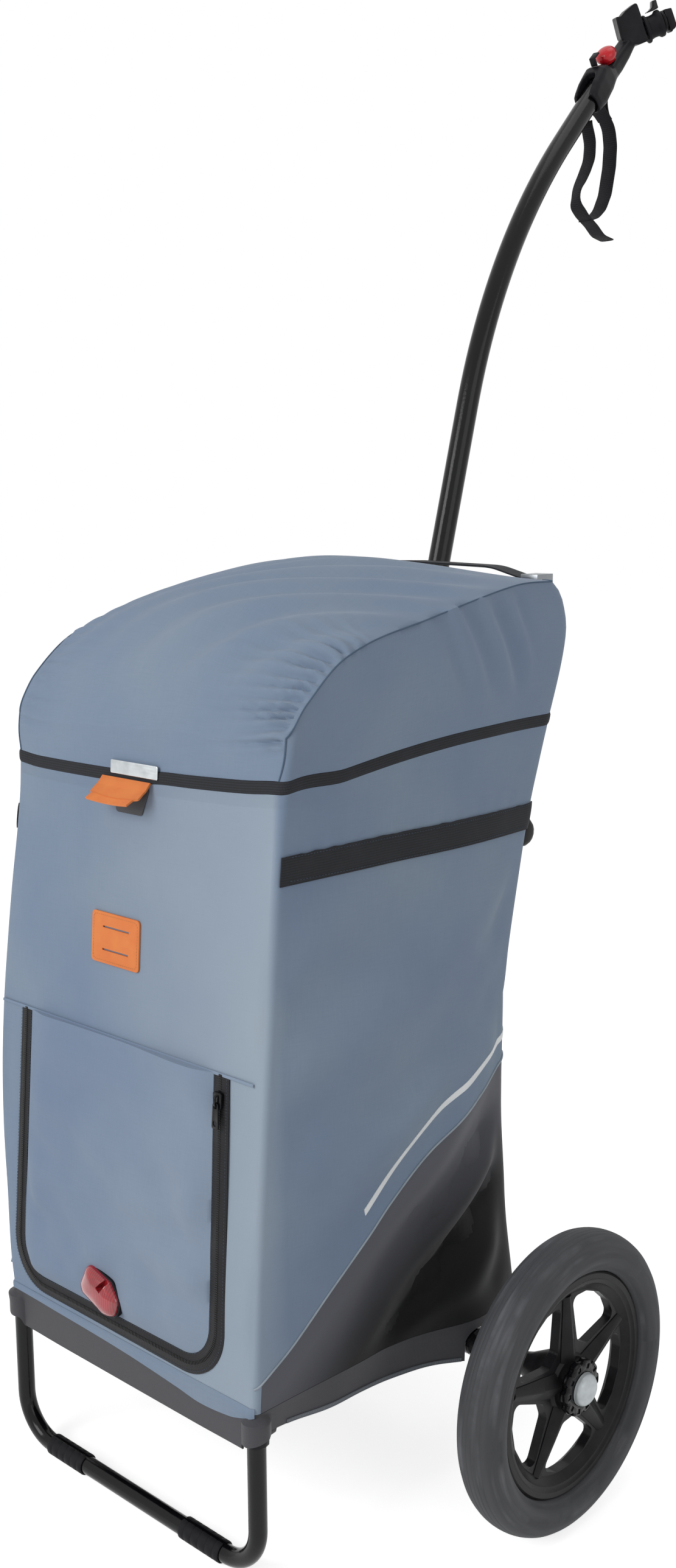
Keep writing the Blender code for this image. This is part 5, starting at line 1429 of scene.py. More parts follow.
        seat = start + 0.0035 + self.button_travel + 0.001
        radius = self.button_radius
        dome = [
            (-0.03, 0.0), (-0.03, 0.0035), (seat, 0.0035), (seat, radius - 0.0008), (seat + 0.001, radius)
        ]
        for step in range(13):
            turn = pi / 2 * step / 12
            dome.append((seat + 0.0026 + 0.008 * sin(turn), (radius - 0.0004) * cos(turn) ** 0.72))
        dome[-1] = (dome[-1][0], 0.0)
        Dress(
            f"button_{self.name}", self.finishes.dome, "silver_metal", (f"release_button_{self.name}",),
            sharp_deg=50.0,
        ).make(f"push_button_{self.name}", Shape().lathe(dome, 72), place)

    def build(self) -> None:
        """Builds the wheel."""
        self.disc()
        self.tyre()
        self.cap_and_button()
        repaint(f"wheel_bushing_{self.name}", self.finishes.plastic)
        repaint(f"axle_stub_{self.name}", self.finishes.glossy)


# The bag


class Bag:
    """The shape of the bag's skin: level rings that swell at the sides, in the trailer's frame."""

    low_z = 0.176
    ledge_z = 0.18
    skirt_top = Places.skirt_top
    front_foot = Places.front_foot
    front_corner = 0.009
    back_corner = 0.022
    back_half = 0.198
    panel_half = 0.1725
    panel_top = 0.927
    panel_behind = 0.018
    side_bulge = 0.026
    bulge_top = 0.765
    band_height = 0.0114
    step_in = 0.0031
    wall = 0.003
    front_halves: Table = ((0.17, 0.1885), (0.3, 0.186), (0.49, 0.188), (0.71, 0.193), (0.765, 0.199))
    lid_halves: Table = ((0.765, 0.199), (0.82, 0.2), (0.88, 0.197), (0.94, 0.193))
    back_lobes: Table = ((0.17, 0.029), (0.25, 0.016), (0.31, 0.011), (0.4, 0.004), (0.95, 0.004))
    back_roll: Table = ((0.0, 0.0), (0.885, 0.0), (0.905, 0.005), (0.92, 0.015), (0.93, 0.029), (0.94, 0.046))
    band_line: Table = ((-0.245, 0.765), (-0.185, 0.775), (-0.081, 0.788), (0.014, 0.796), (0.15, 0.798))
    piping_line: Table = (
        (-0.29, 0.201), (-0.2681, 0.2133), (-0.2386, 0.2334), (-0.196, 0.2739), (-0.1543, 0.3165),
        (-0.1255, 0.3455), (-0.0703, 0.387), (-0.01, 0.416), (0.04, 0.437), (0.076, 0.455),
    )
    stripe_line: Table = (
        (-0.1557, 0.3448), (-0.1257, 0.3754), (-0.0983, 0.3998), (-0.062, 0.425), (-0.042, 0.433),
        (-0.019, 0.44), (0.0, 0.449), (0.022, 0.46), (0.05, 0.468), (0.0745, 0.478),
    )
    left_swell: Table = (
        (0.165, 0.0), (0.18, 0.0035), (0.22, 0.0135), (0.285, 0.0225), (0.35, 0.031), (0.42, 0.0345),
        (0.49, 0.0325), (0.555, 0.0267), (0.62, 0.019), (0.69, 0.008), (0.755, 0.0),
    )
    front_lift: Table = (
        (-0.19, -0.002), (-0.16, -0.0045), (-0.05, -0.0045), (0.0, -0.003), (0.03, 0.0), (0.07, 0.0015),
        (0.11, 0.0035), (0.15, 0.006), (0.185, 0.0095), (0.2, 0.0095),
    )
    back_swell: Table = (
        (0.15, 0.013), (0.25, 0.0132), (0.42, 0.0138), (0.52, 0.015), (0.56, 0.0118), (0.62, 0.009),
        (0.7, 0.0066), (0.75, 0.0085), (0.8, 0.011), (0.87, 0.0118), (0.91, 0.007), (0.94, 0.0085),
    )
    hem_line: Table = ((-0.27, 0.156), (-0.154, 0.145), (-0.09, 0.143), (0.002, 0.135), (0.06, 0.138))

    @classmethod
    def front_y(cls, z: float) -> float:
        """The depth of the flat front at a height."""
        return cls.front_foot + (z - cls.skirt_top) * Places.front_slope

    @classmethod
    def back_y(cls, z: float) -> float:
        """The depth of the back panel at a height."""
        return mast_y(z) - cls.panel_behind - smooth_value(cls.back_roll, z)

    @classmethod
    def half(cls, z: float) -> float:
        """Half the width at the front corners."""
        return smooth_value(cls.front_halves if z < cls.bulge_top else cls.lid_halves, z)

    @classmethod
    def bulge(cls, z: float) -> float:
        """How far the sides swell at mid depth."""
        share = (z - cls.low_z) / (cls.bulge_top - cls.low_z)
        return cls.side_bulge * sin(pi * min(max(share, 0.0), 1.0)) + 0.002

    @classmethod
    def side_ends(cls, z: float) -> tuple[float, float]:
        """The depths between which the side runs."""
        back = cls.back_y(z) + smooth_value(cls.back_lobes, z)
        return cls.front_y(z) + cls.front_corner, back - cls.back_corner

    @classmethod
    def side_folds(cls, y: float, z: float) -> float:
        """How far the side's folds stand out of its smooth shape."""
        wander = noise.noise(Vector((y * 7.0, z * 5.0, 3.1)))
        soft = 0.0022 * noise.noise(Vector((y * 9.0 + z * 6.0, z * 3.0, 0.7)))
        low = ease(z, 0.17, 0.22) * (1 - ease(z, 0.4, 0.5))
        fan = sin((z - 0.9 * y) * 62.0 + 2.4 * wander) * 0.005 * low * ease(y, -0.24, -0.04)
        crease = 0.0085 * bell(z - 0.95 * y, 0.292, 0.015) * low * ease(y, -0.16, -0.05) * (
            1 - ease(y, 0.02, 0.08)
        )
        crease += 0.006 * bell(z - 0.8 * y, 0.355, 0.012) * low * ease(y, -0.12, -0.05) * (
            1 - ease(y, 0.03, 0.09)
        )
        back = ease(y, -0.06, 0.07) * ease(z, 0.3, 0.42) * (1 - ease(z, 0.62, 0.68))
        ripple = sin(z * 96.0 - y * 30.0 + 3.0 * wander) * 0.0034 * back
        broad = sin((z - 0.45 * y) * 44.0 + 3.0 * wander) * 0.0042 * ease(z, 0.36, 0.46) * (
            1 - ease(z, 0.62, 0.68)
        )
        pucker = max(sin(y * 260.0 + 9.0 * wander), 0.0) * 0.0022 * bell(z, 0.7165, 0.0075)
        under = -0.0014 * bell(z, 0.655, 0.02) * ease(y, -0.28, -0.2)
        return soft + fan - crease + ripple + broad + pucker + under

    @classmethod
    def front_folds(cls, x: float, z: float) -> float:
        """How far the front's folds stand out of its plane."""
        wave = noise.noise(Vector((x * 8.0, z * 3.0, 1.7)))
        edge = ease(abs(x), 0.1, 0.17) * (1 - ease(abs(x), 0.178, 0.188))
        pull = 0.0016 * edge * sin(z * 21.0 + (2.0 if x > 0 else 0.0)) * (1 - ease(z, 0.7, 0.755))
        return pull + 0.0007 * wave * (1 - ease(abs(x), 0.17, 0.187)) * ease(z, 0.5, 0.56)

    @classmethod
    def columns(cls) -> list[Column]:
        """The right half's columns, front middle to back middle."""
        found = [("front", share / 18) for share in range(19)]
        found += [("front corner", -90.0 + 90.0 * step / 6) for step in range(1, 7)]
        found += [("side", step / 52) for step in range(1, 52)]
        found += [("back corner", 90.0 * step / 7) for step in range(8)]
        found += [("back", share) for share in (1.0, 0.9975, 0.985)] + [
            ("back", step / 16) for step in range(15, -1, -1)
        ]
        return found

    @classmethod
    def around(cls) -> list[tuple[Column, int]]:
        """The columns all round, right half then left half."""
        right = cls.columns()
        return [(column, 1) for column in right] + [(column, -1) for column in right[-2:0:-1]]

    @classmethod
    def spot(cls, column: Column, z: float, inset: float = 0.0) -> tuple[float, float]:
        """A point of the skin.

        Args:
            column: the column's kind and place.
            z: the height.
            inset: how far inside the skin the point lies.

        Returns:
            Its x, on the right half, and its y.
        """
        kind, place = column
        half = cls.half(z)
        front = cls.front_y(z)
        start, end = cls.side_ends(z)
        if kind == "front":
            x = place * (half - cls.front_corner)
            return x, front + inset - cls.front_folds(x, z)
        if kind == "front corner":
            turn = radians(place)
            radius = cls.front_corner - inset
            return half - cls.front_corner + radius * cos(turn), start + radius * sin(turn)
        if kind == "side":
            y = start + (end - start) * place
            fade = ease(place, 0.0, 0.12) * (1 - ease(place, 0.9, 1.0))
            swell = cls.bulge(z) * sin(pi * place) + cls.side_folds(y, z) * fade
            return half + (cls.back_half - half) * place + swell - inset, y
        if kind == "back corner":
            turn = radians(place)
            radius = cls.back_corner - inset
            return cls.back_half - cls.back_corner + radius * cos(turn), end + radius * sin(turn)
        return place * cls.panel_half, cls.back_y(z) - inset

    @classmethod
    def side_x(cls, y: float, z: float, out: float) -> float:
        """The side's distance from the middle at a depth and a height, round both corners."""
        start, end = cls.side_ends(z)
        if y > end:
            turn = math.asin(min((y - end) / (cls.back_corner + out), 1.0))
            return cls.back_half - cls.back_corner + (cls.back_corner + out) * cos(turn)
        if y < start:
            turn = math.asin(min((start - y) / (cls.front_corner + out), 1.0))
            return cls.half(z) - cls.front_corner + (cls.front_corner + out) * cos(turn)
        return cls.spot(("side", (y - start) / (end - start)), z, -out)[0]

    @classmethod
    def settle(cls, obj: bpy.types.Object) -> None:
        """Moves a finished shape with the cloth, which bags out at the left front and at the back.

        Args:
            obj: the piece, in the world's frame.
        """
        for vert in obj.data.vertices:
            x, y, z = vert.co.x, vert.co.y - AXLE_Y, vert.co.z
            depth = y - cls.front_y(z)
            left = smooth_value(cls.left_swell, z) * ease(-x, 0.09, 0.185) * (1 - ease(y, -0.26, 0.02))
            back = math.copysign(
                smooth_value(cls.back_swell, z) * ease(abs(x), 0.12, 0.19) * ease(y, -0.12, 0.04), x
            )
            near = 1 - ease(depth, 0.009, 0.08)
            lift = smooth_value(cls.front_lift, x) * near * ease(z, 0.705, 0.75) * (1 - ease(z, 0.8, 0.86))
            low = math.copysign(
                0.02 * bell(y, 0.0, 0.055) * (1 - ease(z, 0.17, 0.3)) * ease(abs(x), 0.15, 0.19), x
            )
            vert.co.x += back + low - left
            vert.co.z += lift

    @classmethod
    def band_z(cls, y: float) -> float:
        """The height of the lid band's lower edge."""
        return smooth_value(cls.band_line, y) - cls.band_height

    @classmethod
    def rim_z(cls, column: Column) -> float:
        """How high the wall reaches at a column."""
        if column[0] == "back" and column[1] < 0.99:
            return cls.panel_top
        return cls.band_z(cls.spot(column, 0.77)[1]) - 0.0003

    @classmethod
    def ring(cls, column_z: Callable[[Column], float], inset: float) -> list[tuple[float, float, float]]:
        """One ring of the skin, at a height that may change from column to column."""
        points = []
        for column, side in cls.around():
            z = column_z(column)
            x, y = cls.spot(column, z, inset)
            points.append((side * x, y, z))
        return points

    @classmethod
    def piping_height(cls, spot: Vector) -> float:
        """How far above the side's piping a point lies, in the world's frame."""
        y = spot.y - AXLE_Y
        if y < -0.278 or (abs(spot.x) < 0.165 and y < -0.2):
            return 0.05
        if y > 0.07:
            return spot.z - 0.44
        return spot.z - smooth_value(cls.piping_line, y)


@dataclass(frozen=True)
class BagDress(Dress):
    """What a piece on the bag's sides is given: it moves with the swell of the cloth first."""

    def put_on(self, obj: bpy.types.Object) -> bpy.types.Object:
        """Finishes one object."""
        Bag.settle(obj)
        return super().put_on(obj)


@dataclass
class BagCloth:
    """The bag's cloth parts: shell, skirt, piping, stripe, bands and handle."""

    finishes: Finishes
    levels: int = 84
    inner_levels: int = 14
    elbow_x: float = 0.183
    elbow_y: float = -0.279
    elbow_radius: float = 0.014
    front_hem_line: Table = (
        (-0.189, 0.18), (-0.1, 0.1785), (0.0, 0.175), (0.08, 0.169), (0.115, 0.1655), (0.156, 0.1685),
        (0.1735, 0.1735), (0.189, 0.1785),
    )

    def shell(self) -> None:
        """The shell: an outer skin with its folds, an inner one, and the floor."""
        straight = 0.742
        heights = [
            Bag.ledge_z + (straight - Bag.ledge_z) * step / self.levels for step in range(self.levels + 1)
        ]
        outer = [Bag.ring(lambda column, z=z: z, 0.0) for z in heights]
        shares = [step / 24 for step in range(1, 25)]
        outer += [
            Bag.ring(lambda column, s=s: straight + (Bag.rim_z(column) - straight) * s, 0.0) for s in shares
        ]
        steps = [
            Bag.ledge_z + (straight - Bag.ledge_z) * step / self.inner_levels
            for step in range(self.inner_levels + 1)
        ]
        inner = [Bag.ring(lambda column, z=z: z, Bag.wall) for z in steps]
        inner += [
            Bag.ring(lambda column, s=s: straight + (Bag.rim_z(column) - straight) * s, Bag.wall)
            for s in (0.5, 0.8, 1.0)
        ]
        foot = [Bag.ring(lambda column: z, Bag.step_in) for z in (Bag.low_z, Bag.ledge_z)]
        foot_low = [(x, y, Bag.low_z) for x, y, _ in foot[1]]
        floor = [
            (x, y, Bag.low_z + Bag.wall)
            for x, y, _ in Bag.ring(lambda column: Bag.ledge_z, Bag.step_in + Bag.wall)
        ]
        shape = Shape()
        made = shape.sheet([foot_low, foot[1]] + outer + inner[::-1] + [floor], wrap=True)
        shape.bm.faces.new(made[0][::-1])
        shape.bm.faces.new(made[-1])
        body = new_object("bag_body", shape, Places.trailer)
        store(body, "piping", Bag.piping_height)
        BagDress(FRAME_BODY, self.finishes.cloth, "bag_fabric", ("bag_shell",), sharp_deg=55.0).put_on(body)

    @staticmethod
    def skirt_columns() -> list[tuple[Column, int]]:
        """The skirt's columns from the left side's back end round the front to the right side's."""
        right = [("front", step / 20 * 0.88) for step in range(20)] + [
            ("front", 0.88 + 0.12 * step / 12) for step in range(13)
        ]
        right += [("front corner", -90.0 + 9.0 * step) for step in range(1, 11)]
        right += [("side", 0.1 * step / 10) for step in range(1, 11)] + [
            ("side", 0.1 + 0.9 * step / 56) for step in range(1, 57)
        ]
        return [(column, -1) for column in right[:0:-1]] + [(column, 1) for column in right]

    @staticmethod
    def hem_z(column: Column) -> float:
        """The height of the skirt's lower edge."""
        kind, place = column
        if kind == "front":
            return 0.14 + 0.01 * ease(place, 0.955, 1.0)
        if kind == "front corner":
            return 0.15 + 0.006 * ease(place, -70.0, 0.0)
        return smooth_value(Bag.hem_line, Bag.spot(column, Bag.skirt_top)[1])

    def skirt_spot(self, column: Column, side: int, z: float, out: float) -> Point:
        """A point of the skirt, which swells out over the elbow at each front corner."""
        x, y = Bag.spot(column, Bag.skirt_top, -out)
        drop = Bag.skirt_top - z
        if column[0] == "side":
            x -= 0.0024 * sin(min(drop / 0.03, 1.0) * pi / 2)
            x += 0.05 * drop * sin(y * 62.0 + 1.0) + 0.04 * drop * noise.noise(Vector((y * 20, z * 20, 2.0)))
        away = Vector((x - self.elbow_x, y - self.elbow_y))
        needed = (self.elbow_radius + out) * ease(drop, 0.0, 0.0075)
        if away.length < needed:
            away = away.normalized() * needed
        return side * (self.elbow_x + away.x), self.elbow_y + away.y, z

    def skirt(self) -> None:
        """The black cloth round the floor, and the grey tape along its lower edge."""
        order = self.skirt_columns()
        top = Bag.skirt_top

        def cloth(column: Column, side: int, row: int, out: float) -> Point:
            """A point of the cloth."""
            return self.skirt_spot(column, side, top + (self.hem_z(column) - top) * row / 12, out)

        def tape(column: Column, side: int, row: int, out: float) -> Point:
            """A point of the tape."""
            return self.skirt_spot(
                column, side, self.hem_z(column) + (0.0045, 0.0032, 0.0014, 0.0002)[row], out
            )

        skirt = new_object("bag_skirt", cover(order, 13, (0.0002, -0.0012), cloth), Places.trailer)
        notch = Shape().lathe([(-0.3, 0.0), (-0.3, 0.0167), (0.3, 0.0167), (0.3, 0.0)], 40)
        cut(skirt, notch, Places.trailer @ moved(0.0, 0.0, AXLE_Z))
        slot = Shape().prism(
            [(-0.0163, AXLE_Z - 0.05), (0.0163, AXLE_Z - 0.05), (0.0163, AXLE_Z), (-0.0163, AXLE_Z)], -0.3,
            0.3,
        )
        cut(skirt, slot, Places.trailer)
        BagDress(
            FRAME_BODY, self.finishes.dark_cloth, "black_fabric", ("base_skirt",), sharp_deg=45.0
        ).put_on(skirt)
        for name, wanted in SIDES:
            near = [(column, side) for column, side in order if side == wanted and column[0] == "side"]
            part = [item for item in near if -0.245 < Bag.spot(item[0], top)[1] < -0.02]
            dress = BagDress(FRAME_BODY, self.finishes.grey_tape, "black_fabric")
            dress.make(f"skirt_hem_{name}", cover(part, 4, (0.001, 0.0003), tape), Places.trailer)

    def front_hem(self) -> None:
        """The lower edge of the front, which hangs over the skirt and dips near its right end."""
        right = [("front", step / 40) for step in range(41)] + [
            ("front corner", -90.0 + 15.0 * step) for step in range(1, 4)
        ]
        order = [(column, -1) for column in right[:0:-1]] + [(column, 1) for column in right]
        top = 0.186

        def flap(column: Column, side: int, row: int, out: float) -> Point:
            """A point of the edge."""
            z = top + (
                smooth_value(self.front_hem_line, side * Bag.spot(column, Bag.skirt_top)[0]) - top
            ) * row / 5
            x, y = Bag.spot(column, max(z, Bag.skirt_top), -out * ease(row, -1.0, 2.0))
            return side * x, y, z

        dress = BagDress(FRAME_BODY, self.finishes.lid_cloth, "bag_fabric", sharp_deg=50.0)
        dress.make("front_hem", cover(order, 6, (0.0019, 0.0008), flap), Places.trailer)

    def trims(self) -> None:
        """The piping and the white stripe on each side."""
        for name, side in SIDES:
            line = []
            for step in range(111):
                y = -0.283 + 0.3485 * step / 110
                z = smooth_value(Bag.piping_line, y)
                line.append((side * Bag.side_x(y, z, 0.0006), y, z))
            cord = Shape().sweep(line, circle(0.001, 10))
            BagDress(FRAME_BODY, self.finishes.piping, "bag_fabric").make(
                f"side_piping_{name}", cord, Places.trailer
            )
            rows = []
            inner = []
            for step in range(71):
                y = -0.1557 + 0.2217 * step / 70
                middle = smooth_value(Bag.stripe_line, y)
                spots = [(y - 0.0008 * share, middle + 0.0032 * share) for share in (-1.0, -0.33, 0.33, 1.0)]
                rows.append([(side * Bag.side_x(*spot, 0.0007), *spot) for spot in spots])
                inner.append([(side * Bag.side_x(*spot, 0.0001), *spot) for spot in spots])
            stripe = BagDress(FRAME_BODY, self.finishes.white, "bag_fabric")
            stripe.make(f"side_stripe_{name}", Shape().slab(rows, inner), Places.trailer)

    def bands(self, stitches: RepeatAlong) -> None:
        """The webbing band across each side, with its edge stitching.

        Args:
            stitches: the node tree that lays stitches.
        """
        columns = [("front corner", step * 15.0 - 30.0) for step in range(3)] + [
            ("side", step / 60) for step in range(1, 60)
        ]
        columns += [("back corner", turn) for turn in (0.0, 15.0, 30.0, 45.0)]

        def spot(index: int, side: int, row: int, out: float) -> Point:
            """A point of the band."""
            thin = 0.0008 * abs(row / 3 - 1) ** 3 if out > 0.001 else 0.0
            wave = 0.0009 * noise.noise(Vector((index * 0.55, side, 2.0))) * (1 - row / 6)
            z = 0.7066 - 0.0268 * row / 6 + wave + 0.0022 * sin(pi * index / (len(columns) - 1))
            x, y = Bag.spot(columns[index], z, thin - out)
            return side * x, y, z

        for name, side in SIDES:
            order = [(index, side) for index in range(len(columns))]
            dress = BagDress(FRAME_BODY, self.finishes.webbing, "black_webbing", (f"side_band_{name}",))
            dress.make(f"web_band_{name}", cover(order, 7, (0.0026, 0.0004), spot), Places.trailer)
            lines = []
            for z in (0.706, 0.684):
                spots = [Bag.spot(column, z, -0.0026) for column in columns[3:-3]]
                lines.append(
                    [(Places.trailer @ Vector((side * x, y, z)), (side, 0.0, 0.0)) for x, y in spots]
                )
            dress = BagDress(FRAME_BODY, self.finishes.thread, "black_webbing")
            stitches.lay(
                f"band_stitches_{name}", lines, dress, Spacing=0.0036, Length=0.0027, Width=0.0007,
                Height=0.0005, Jitter=0.08,
            )

    def handle(self) -> None:
        """The webbing handle over the back panel's top, and its metal fittings."""
        end_x = 0.156
        seat = Bag.panel_top + 0.0003
        y = Bag.back_y(Bag.panel_top) + 0.012
        points = [
            (-end_x, y, seat + 0.0067), (-0.11, y, seat + 0.0187), (0.0, y, seat + 0.0212),
            (0.11, y, seat + 0.0187), (end_x, y, seat + 0.0067),
        ]
        path = rounded(points, 0.1, 14, closed=False)
        tape = ribbon(path, 0.012, 0.0026, lambda share: Vector((0.0, -1.0, 0.0)), 8)
        Dress(FRAME_BODY, self.finishes.webbing, "black_webbing", ("carry_handle",)).make(
            "webbing_handle", tape, Places.trailer
        )
        for name, _ in SIDES:
            dress = Dress(
                FRAME_BODY, self.finishes.pewter, "silver_metal", (f"handle_fitting_{name}",), 0.0006, 30.0
            )
            refined(f"handle_fitting_{name}", f"handle_plate_{name}", dress)

    def build(self, stitches: RepeatAlong) -> None:
        """Builds the bag's cloth.

        Args:
            stitches: the node tree that lays stitches.
        """
        self.shell()
        self.skirt()
        self.front_hem()
        self.trims()
        self.bands(stitches)
        self.handle()


@dataclass
class Lid:
    """The domed lid, its binding, clasp plate and leather tab."""

    finishes: Finishes
    wall: float = 0.0026
    across: int = 72
    wall_rows: int = 14
    hinge_half: float = 0.178
    hinge_inset: float = 0.004
    tab_x: float = -0.0165
    tab_z: float = 0.7535
    tab_out: float = 0.0026
    tab_half: float = 0.036
    tab_thick: float = 0.002
    seam_line: Table = (
        (-0.252, 0.779), (-0.242, 0.802), (-0.217, 0.84), (-0.165, 0.879), (-0.057, 0.906), (0.074, 0.932),
        (0.152, 0.9335),
    )
    crown_line: Table = (
        (-0.252, 0.0), (-0.2, 0.03), (-0.1, 0.042), (0.0, 0.036), (0.09, 0.018), (0.15, 0.001)
    )

    def stations(self) -> list[Column]:
        """The columns at which the lid's cross-sections stand."""
        found = [("front corner", -90.0 + 7.5 * step) for step in range(13)]
        found += [("side", 0.36 * step / 76) for step in range(1, 77)] + [
            ("side", 0.36 + 0.64 * step / 44) for step in range(1, 44)
        ]
        return found + [("back corner", 90.0 * step / 7) for step in range(8)]

    def seam(self, column: Column) -> Vector:
        """The seam's point at a station."""
        z = 0.86
        for _ in range(6):
            z = smooth_value(self.seam_line, Bag.spot(column, z)[1])
        x, y = Bag.spot(column, z)
        return Vector((x, y, z))

    def wall_point(self, column: Column, share: float) -> Vector:
        """A point of the side wall, from the band up to the seam."""
        top = self.seam(column).z
        low = Bag.band_z(Bag.spot(column, 0.79)[1]) + Bag.band_height + 0.0003
        z = low + (top - low) * share
        x, y = Bag.spot(column, z)
        return Vector((x + 0.0022 * sin(pi * share), y, z))

    @staticmethod
    def folds(spot: Vector) -> float:
        """How far the cloth's gathers, long folds and side creases stand out at a point of the world."""
        x, y, z = spot.x, spot.y - AXLE_Y, spot.z
        inward = 0.199 - abs(x)
        wander = noise.noise(Vector((x * 5.0, y * 6.0, 4.0)))
        if inward < 0.004:
            hang = ease(y, -0.07, -0.01) * (1 - ease(y, 0.07, 0.11)) * ease(z, 0.81, 0.86) * (
                1 - ease(z, 0.905, 0.935)
            )
            return 0.004 * sin(y * 150.0 + z * 60.0 + 3.0 * wander) * hang
        around = 0.1 * math.atan2(z - 0.79, -0.15 - y)
        uneven = noise.noise(Vector((around * 70.0, x * 4.0, 1.3)))
        fade = math.exp(-inward / (0.042 + 0.026 * uneven)) * ease(inward, 0.003, 0.012)
        gather = sin(around * 430.0 + inward * 26.0 + 2.2 * uneven) * fade
        gather *= ease(around, -0.012, 0.012) * (1 - ease(around, 0.13, 0.19))
        long = sin((x - 1.15 * y) * 92.0 + 2.6 * wander) * ease(around, 0.06, 0.12) * (1 - ease(y, 0.01, 0.1))
        long *= (1 - (abs(x) / 0.2) ** 4) * (0.35 + 0.65 * ease(x, -0.08, 0.05))
        return 0.0066 * gather * (
            0.35 + 0.65 * ease(x, -0.02, 0.02)
        ) + 0.0046 * long + 0.0014 * wander * ease(inward, 0.004, 0.03)

    def top_row(self, column: Column) -> list[Vector]:
        """The points over the top at a station, left seam to right seam."""
        seam = self.seam(column)
        crown = smooth_value(self.crown_line, seam.y)
        shares = [2 * step / self.across - 1 for step in range(self.across + 1)]
        return [Vector((share * seam.x, seam.y, seam.z + crown * (1 - share**2) ** 0.85)) for share in shares]

    def soften(self, lid: bpy.types.Object) -> None:
        """Rounds the lid's front, then raises its folds along the surface's own direction."""
        bm = bmesh.new()
        bm.from_mesh(lid.data)
        bmesh.ops.remove_doubles(bm, verts=bm.verts, dist=2e-4)
        bm.to_mesh(lid.data)
        bm.free()
        group = lid.vertex_groups.new(name="front")
        for vert in lid.data.vertices:
            x, y, z = vert.co.x, vert.co.y - AXLE_Y, vert.co.z
            weight = (1 - ease(y, -0.225, -0.185)) * (1 - ease(abs(x), 0.172, 0.192)) * ease(z, 0.768, 0.79)
            group.add([vert.index], weight, "REPLACE")
        smooth = lid.modifiers.new("Soften", "SMOOTH")
        smooth.factor = 0.5
        smooth.iterations = 60
        smooth.vertex_group = "front"
        apply_modifiers(lid)
        lid.vertex_groups.clear()
        normals = [vert.normal.copy() for vert in lid.data.vertices]
        for vert, normal in zip(lid.data.vertices, normals):
            vert.co += normal * self.folds(vert.co)

    def shell(self) -> None:
        """The lid's cloth."""
        shape = Shape()
        sections = []
        for column in self.stations():
            up = [self.wall_point(column, row / self.wall_rows) for row in range(self.wall_rows)]
            left = [(-point.x, point.y, point.z) for point in up]
            sections.append(left + self.top_row(column) + up[::-1])
        shape.sheet(sections)
        first = self.stations()[0]
        top = self.top_row(first)
        low = self.wall_point(first, 0.0).z
        rows = []
        for row in range(self.wall_rows):
            share = row / self.wall_rows
            edge = self.wall_point(first, share).x
            heights = [low + (point.z - low) * share for point in top]
            rows.append(
                [(edge * (2 * index / self.across - 1), Bag.front_y(z), z) for index, z in enumerate(heights)]
            )
        rows.append([tuple(point) for point in top])
        shape.sheet(rows)
        lid = new_object("lid_cover", shape, Places.trailer)
        self.soften(lid)
        thick = lid.modifiers.new("Thickness", "SOLIDIFY")
        thick.thickness = self.wall
        thick.offset = -1.0
        apply_modifiers(lid)
        BagDress("lid", self.finishes.lid_cloth, "bag_fabric", ("lid",), sharp_deg=48.0).put_on(lid)

    def hinge(self) -> None:
        """The strip of cloth inside the lid's rear edge."""
        outer = []
        inner = []
        for step in range(41):
            x = self.hinge_half * (step / 20 - 1)
            line = []
            for z in (0.9, 0.91, 0.918, 0.924, 0.9275):
                line.append((x, Bag.spot(("back corner", 90.0), z, self.hinge_inset)[1], z))
            for y in (0.144, 0.14, 0.134, 0.127, 0.118):
                crown = smooth_value(self.crown_line, y) * (1 - (x / Bag.back_half) ** 2) ** 0.85
                line.append((x, y, smooth_value(self.seam_line, y) + crown - self.hinge_inset))
            outer.append(line)
            inner.append([(x, y - 0.0007, z - 0.0007) for x, y, z in line])
        strip = new_object("lid_hinge_cloth", Shape().slab(outer, inner), Places.trailer)
        Bag.settle(strip)
        strip.data.shade_smooth()
        strip.data.materials.append(self.finishes.lid_cloth)
        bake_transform(strip)

    def seam_cords(self) -> None:
        """The fine seam along each side of the top."""
        for name, side in SIDES:
            shares = [row / self.wall_rows for row in range(self.wall_rows)]
            line = [self.wall_point(("front corner", 30.0 * share - 90.0), share) for share in shares]
            line += [self.seam(column) for column in self.stations()[4:]]
            points = [(side * (point.x + 0.0004), point.y - 0.0002, point.z + 0.0002) for point in line]
            cord = Shape().sweep(points, circle(0.0008, 8), (0.3, 1.0, 0.0))
            BagDress("lid", self.finishes.seam, "bag_fabric").make(f"lid_seam_{name}", cord, Places.trailer)

    def binding(self) -> None:
        """The black binding along the lower edge."""
        kept = [(column, side) for column, side in Bag.around() if column[0] != "back"]
        order = sorted(kept, key=lambda item: item[1] * (1 + Bag.columns().index(item[0])))

        def edge(column: Column, side: int, row: int, out: float) -> Point:
            """A point of the binding, which is rounded on its outside."""
            z = Bag.band_z(Bag.spot(column, 0.79)[1]) + Bag.band_height * (1 - row / 6)
            soft = 0.0009 * abs(row / 3 - 1) ** 4 if out > 0 else 0.0
            x, y = Bag.spot(column, z, soft - out)
            return side * x, y, z

        dress = BagDress("lid", self.finishes.webbing, "black_webbing", ("lid_band",))
        dress.make("lid_binding", cover(order, 7, (0.0012, -0.0026), edge), Places.trailer)

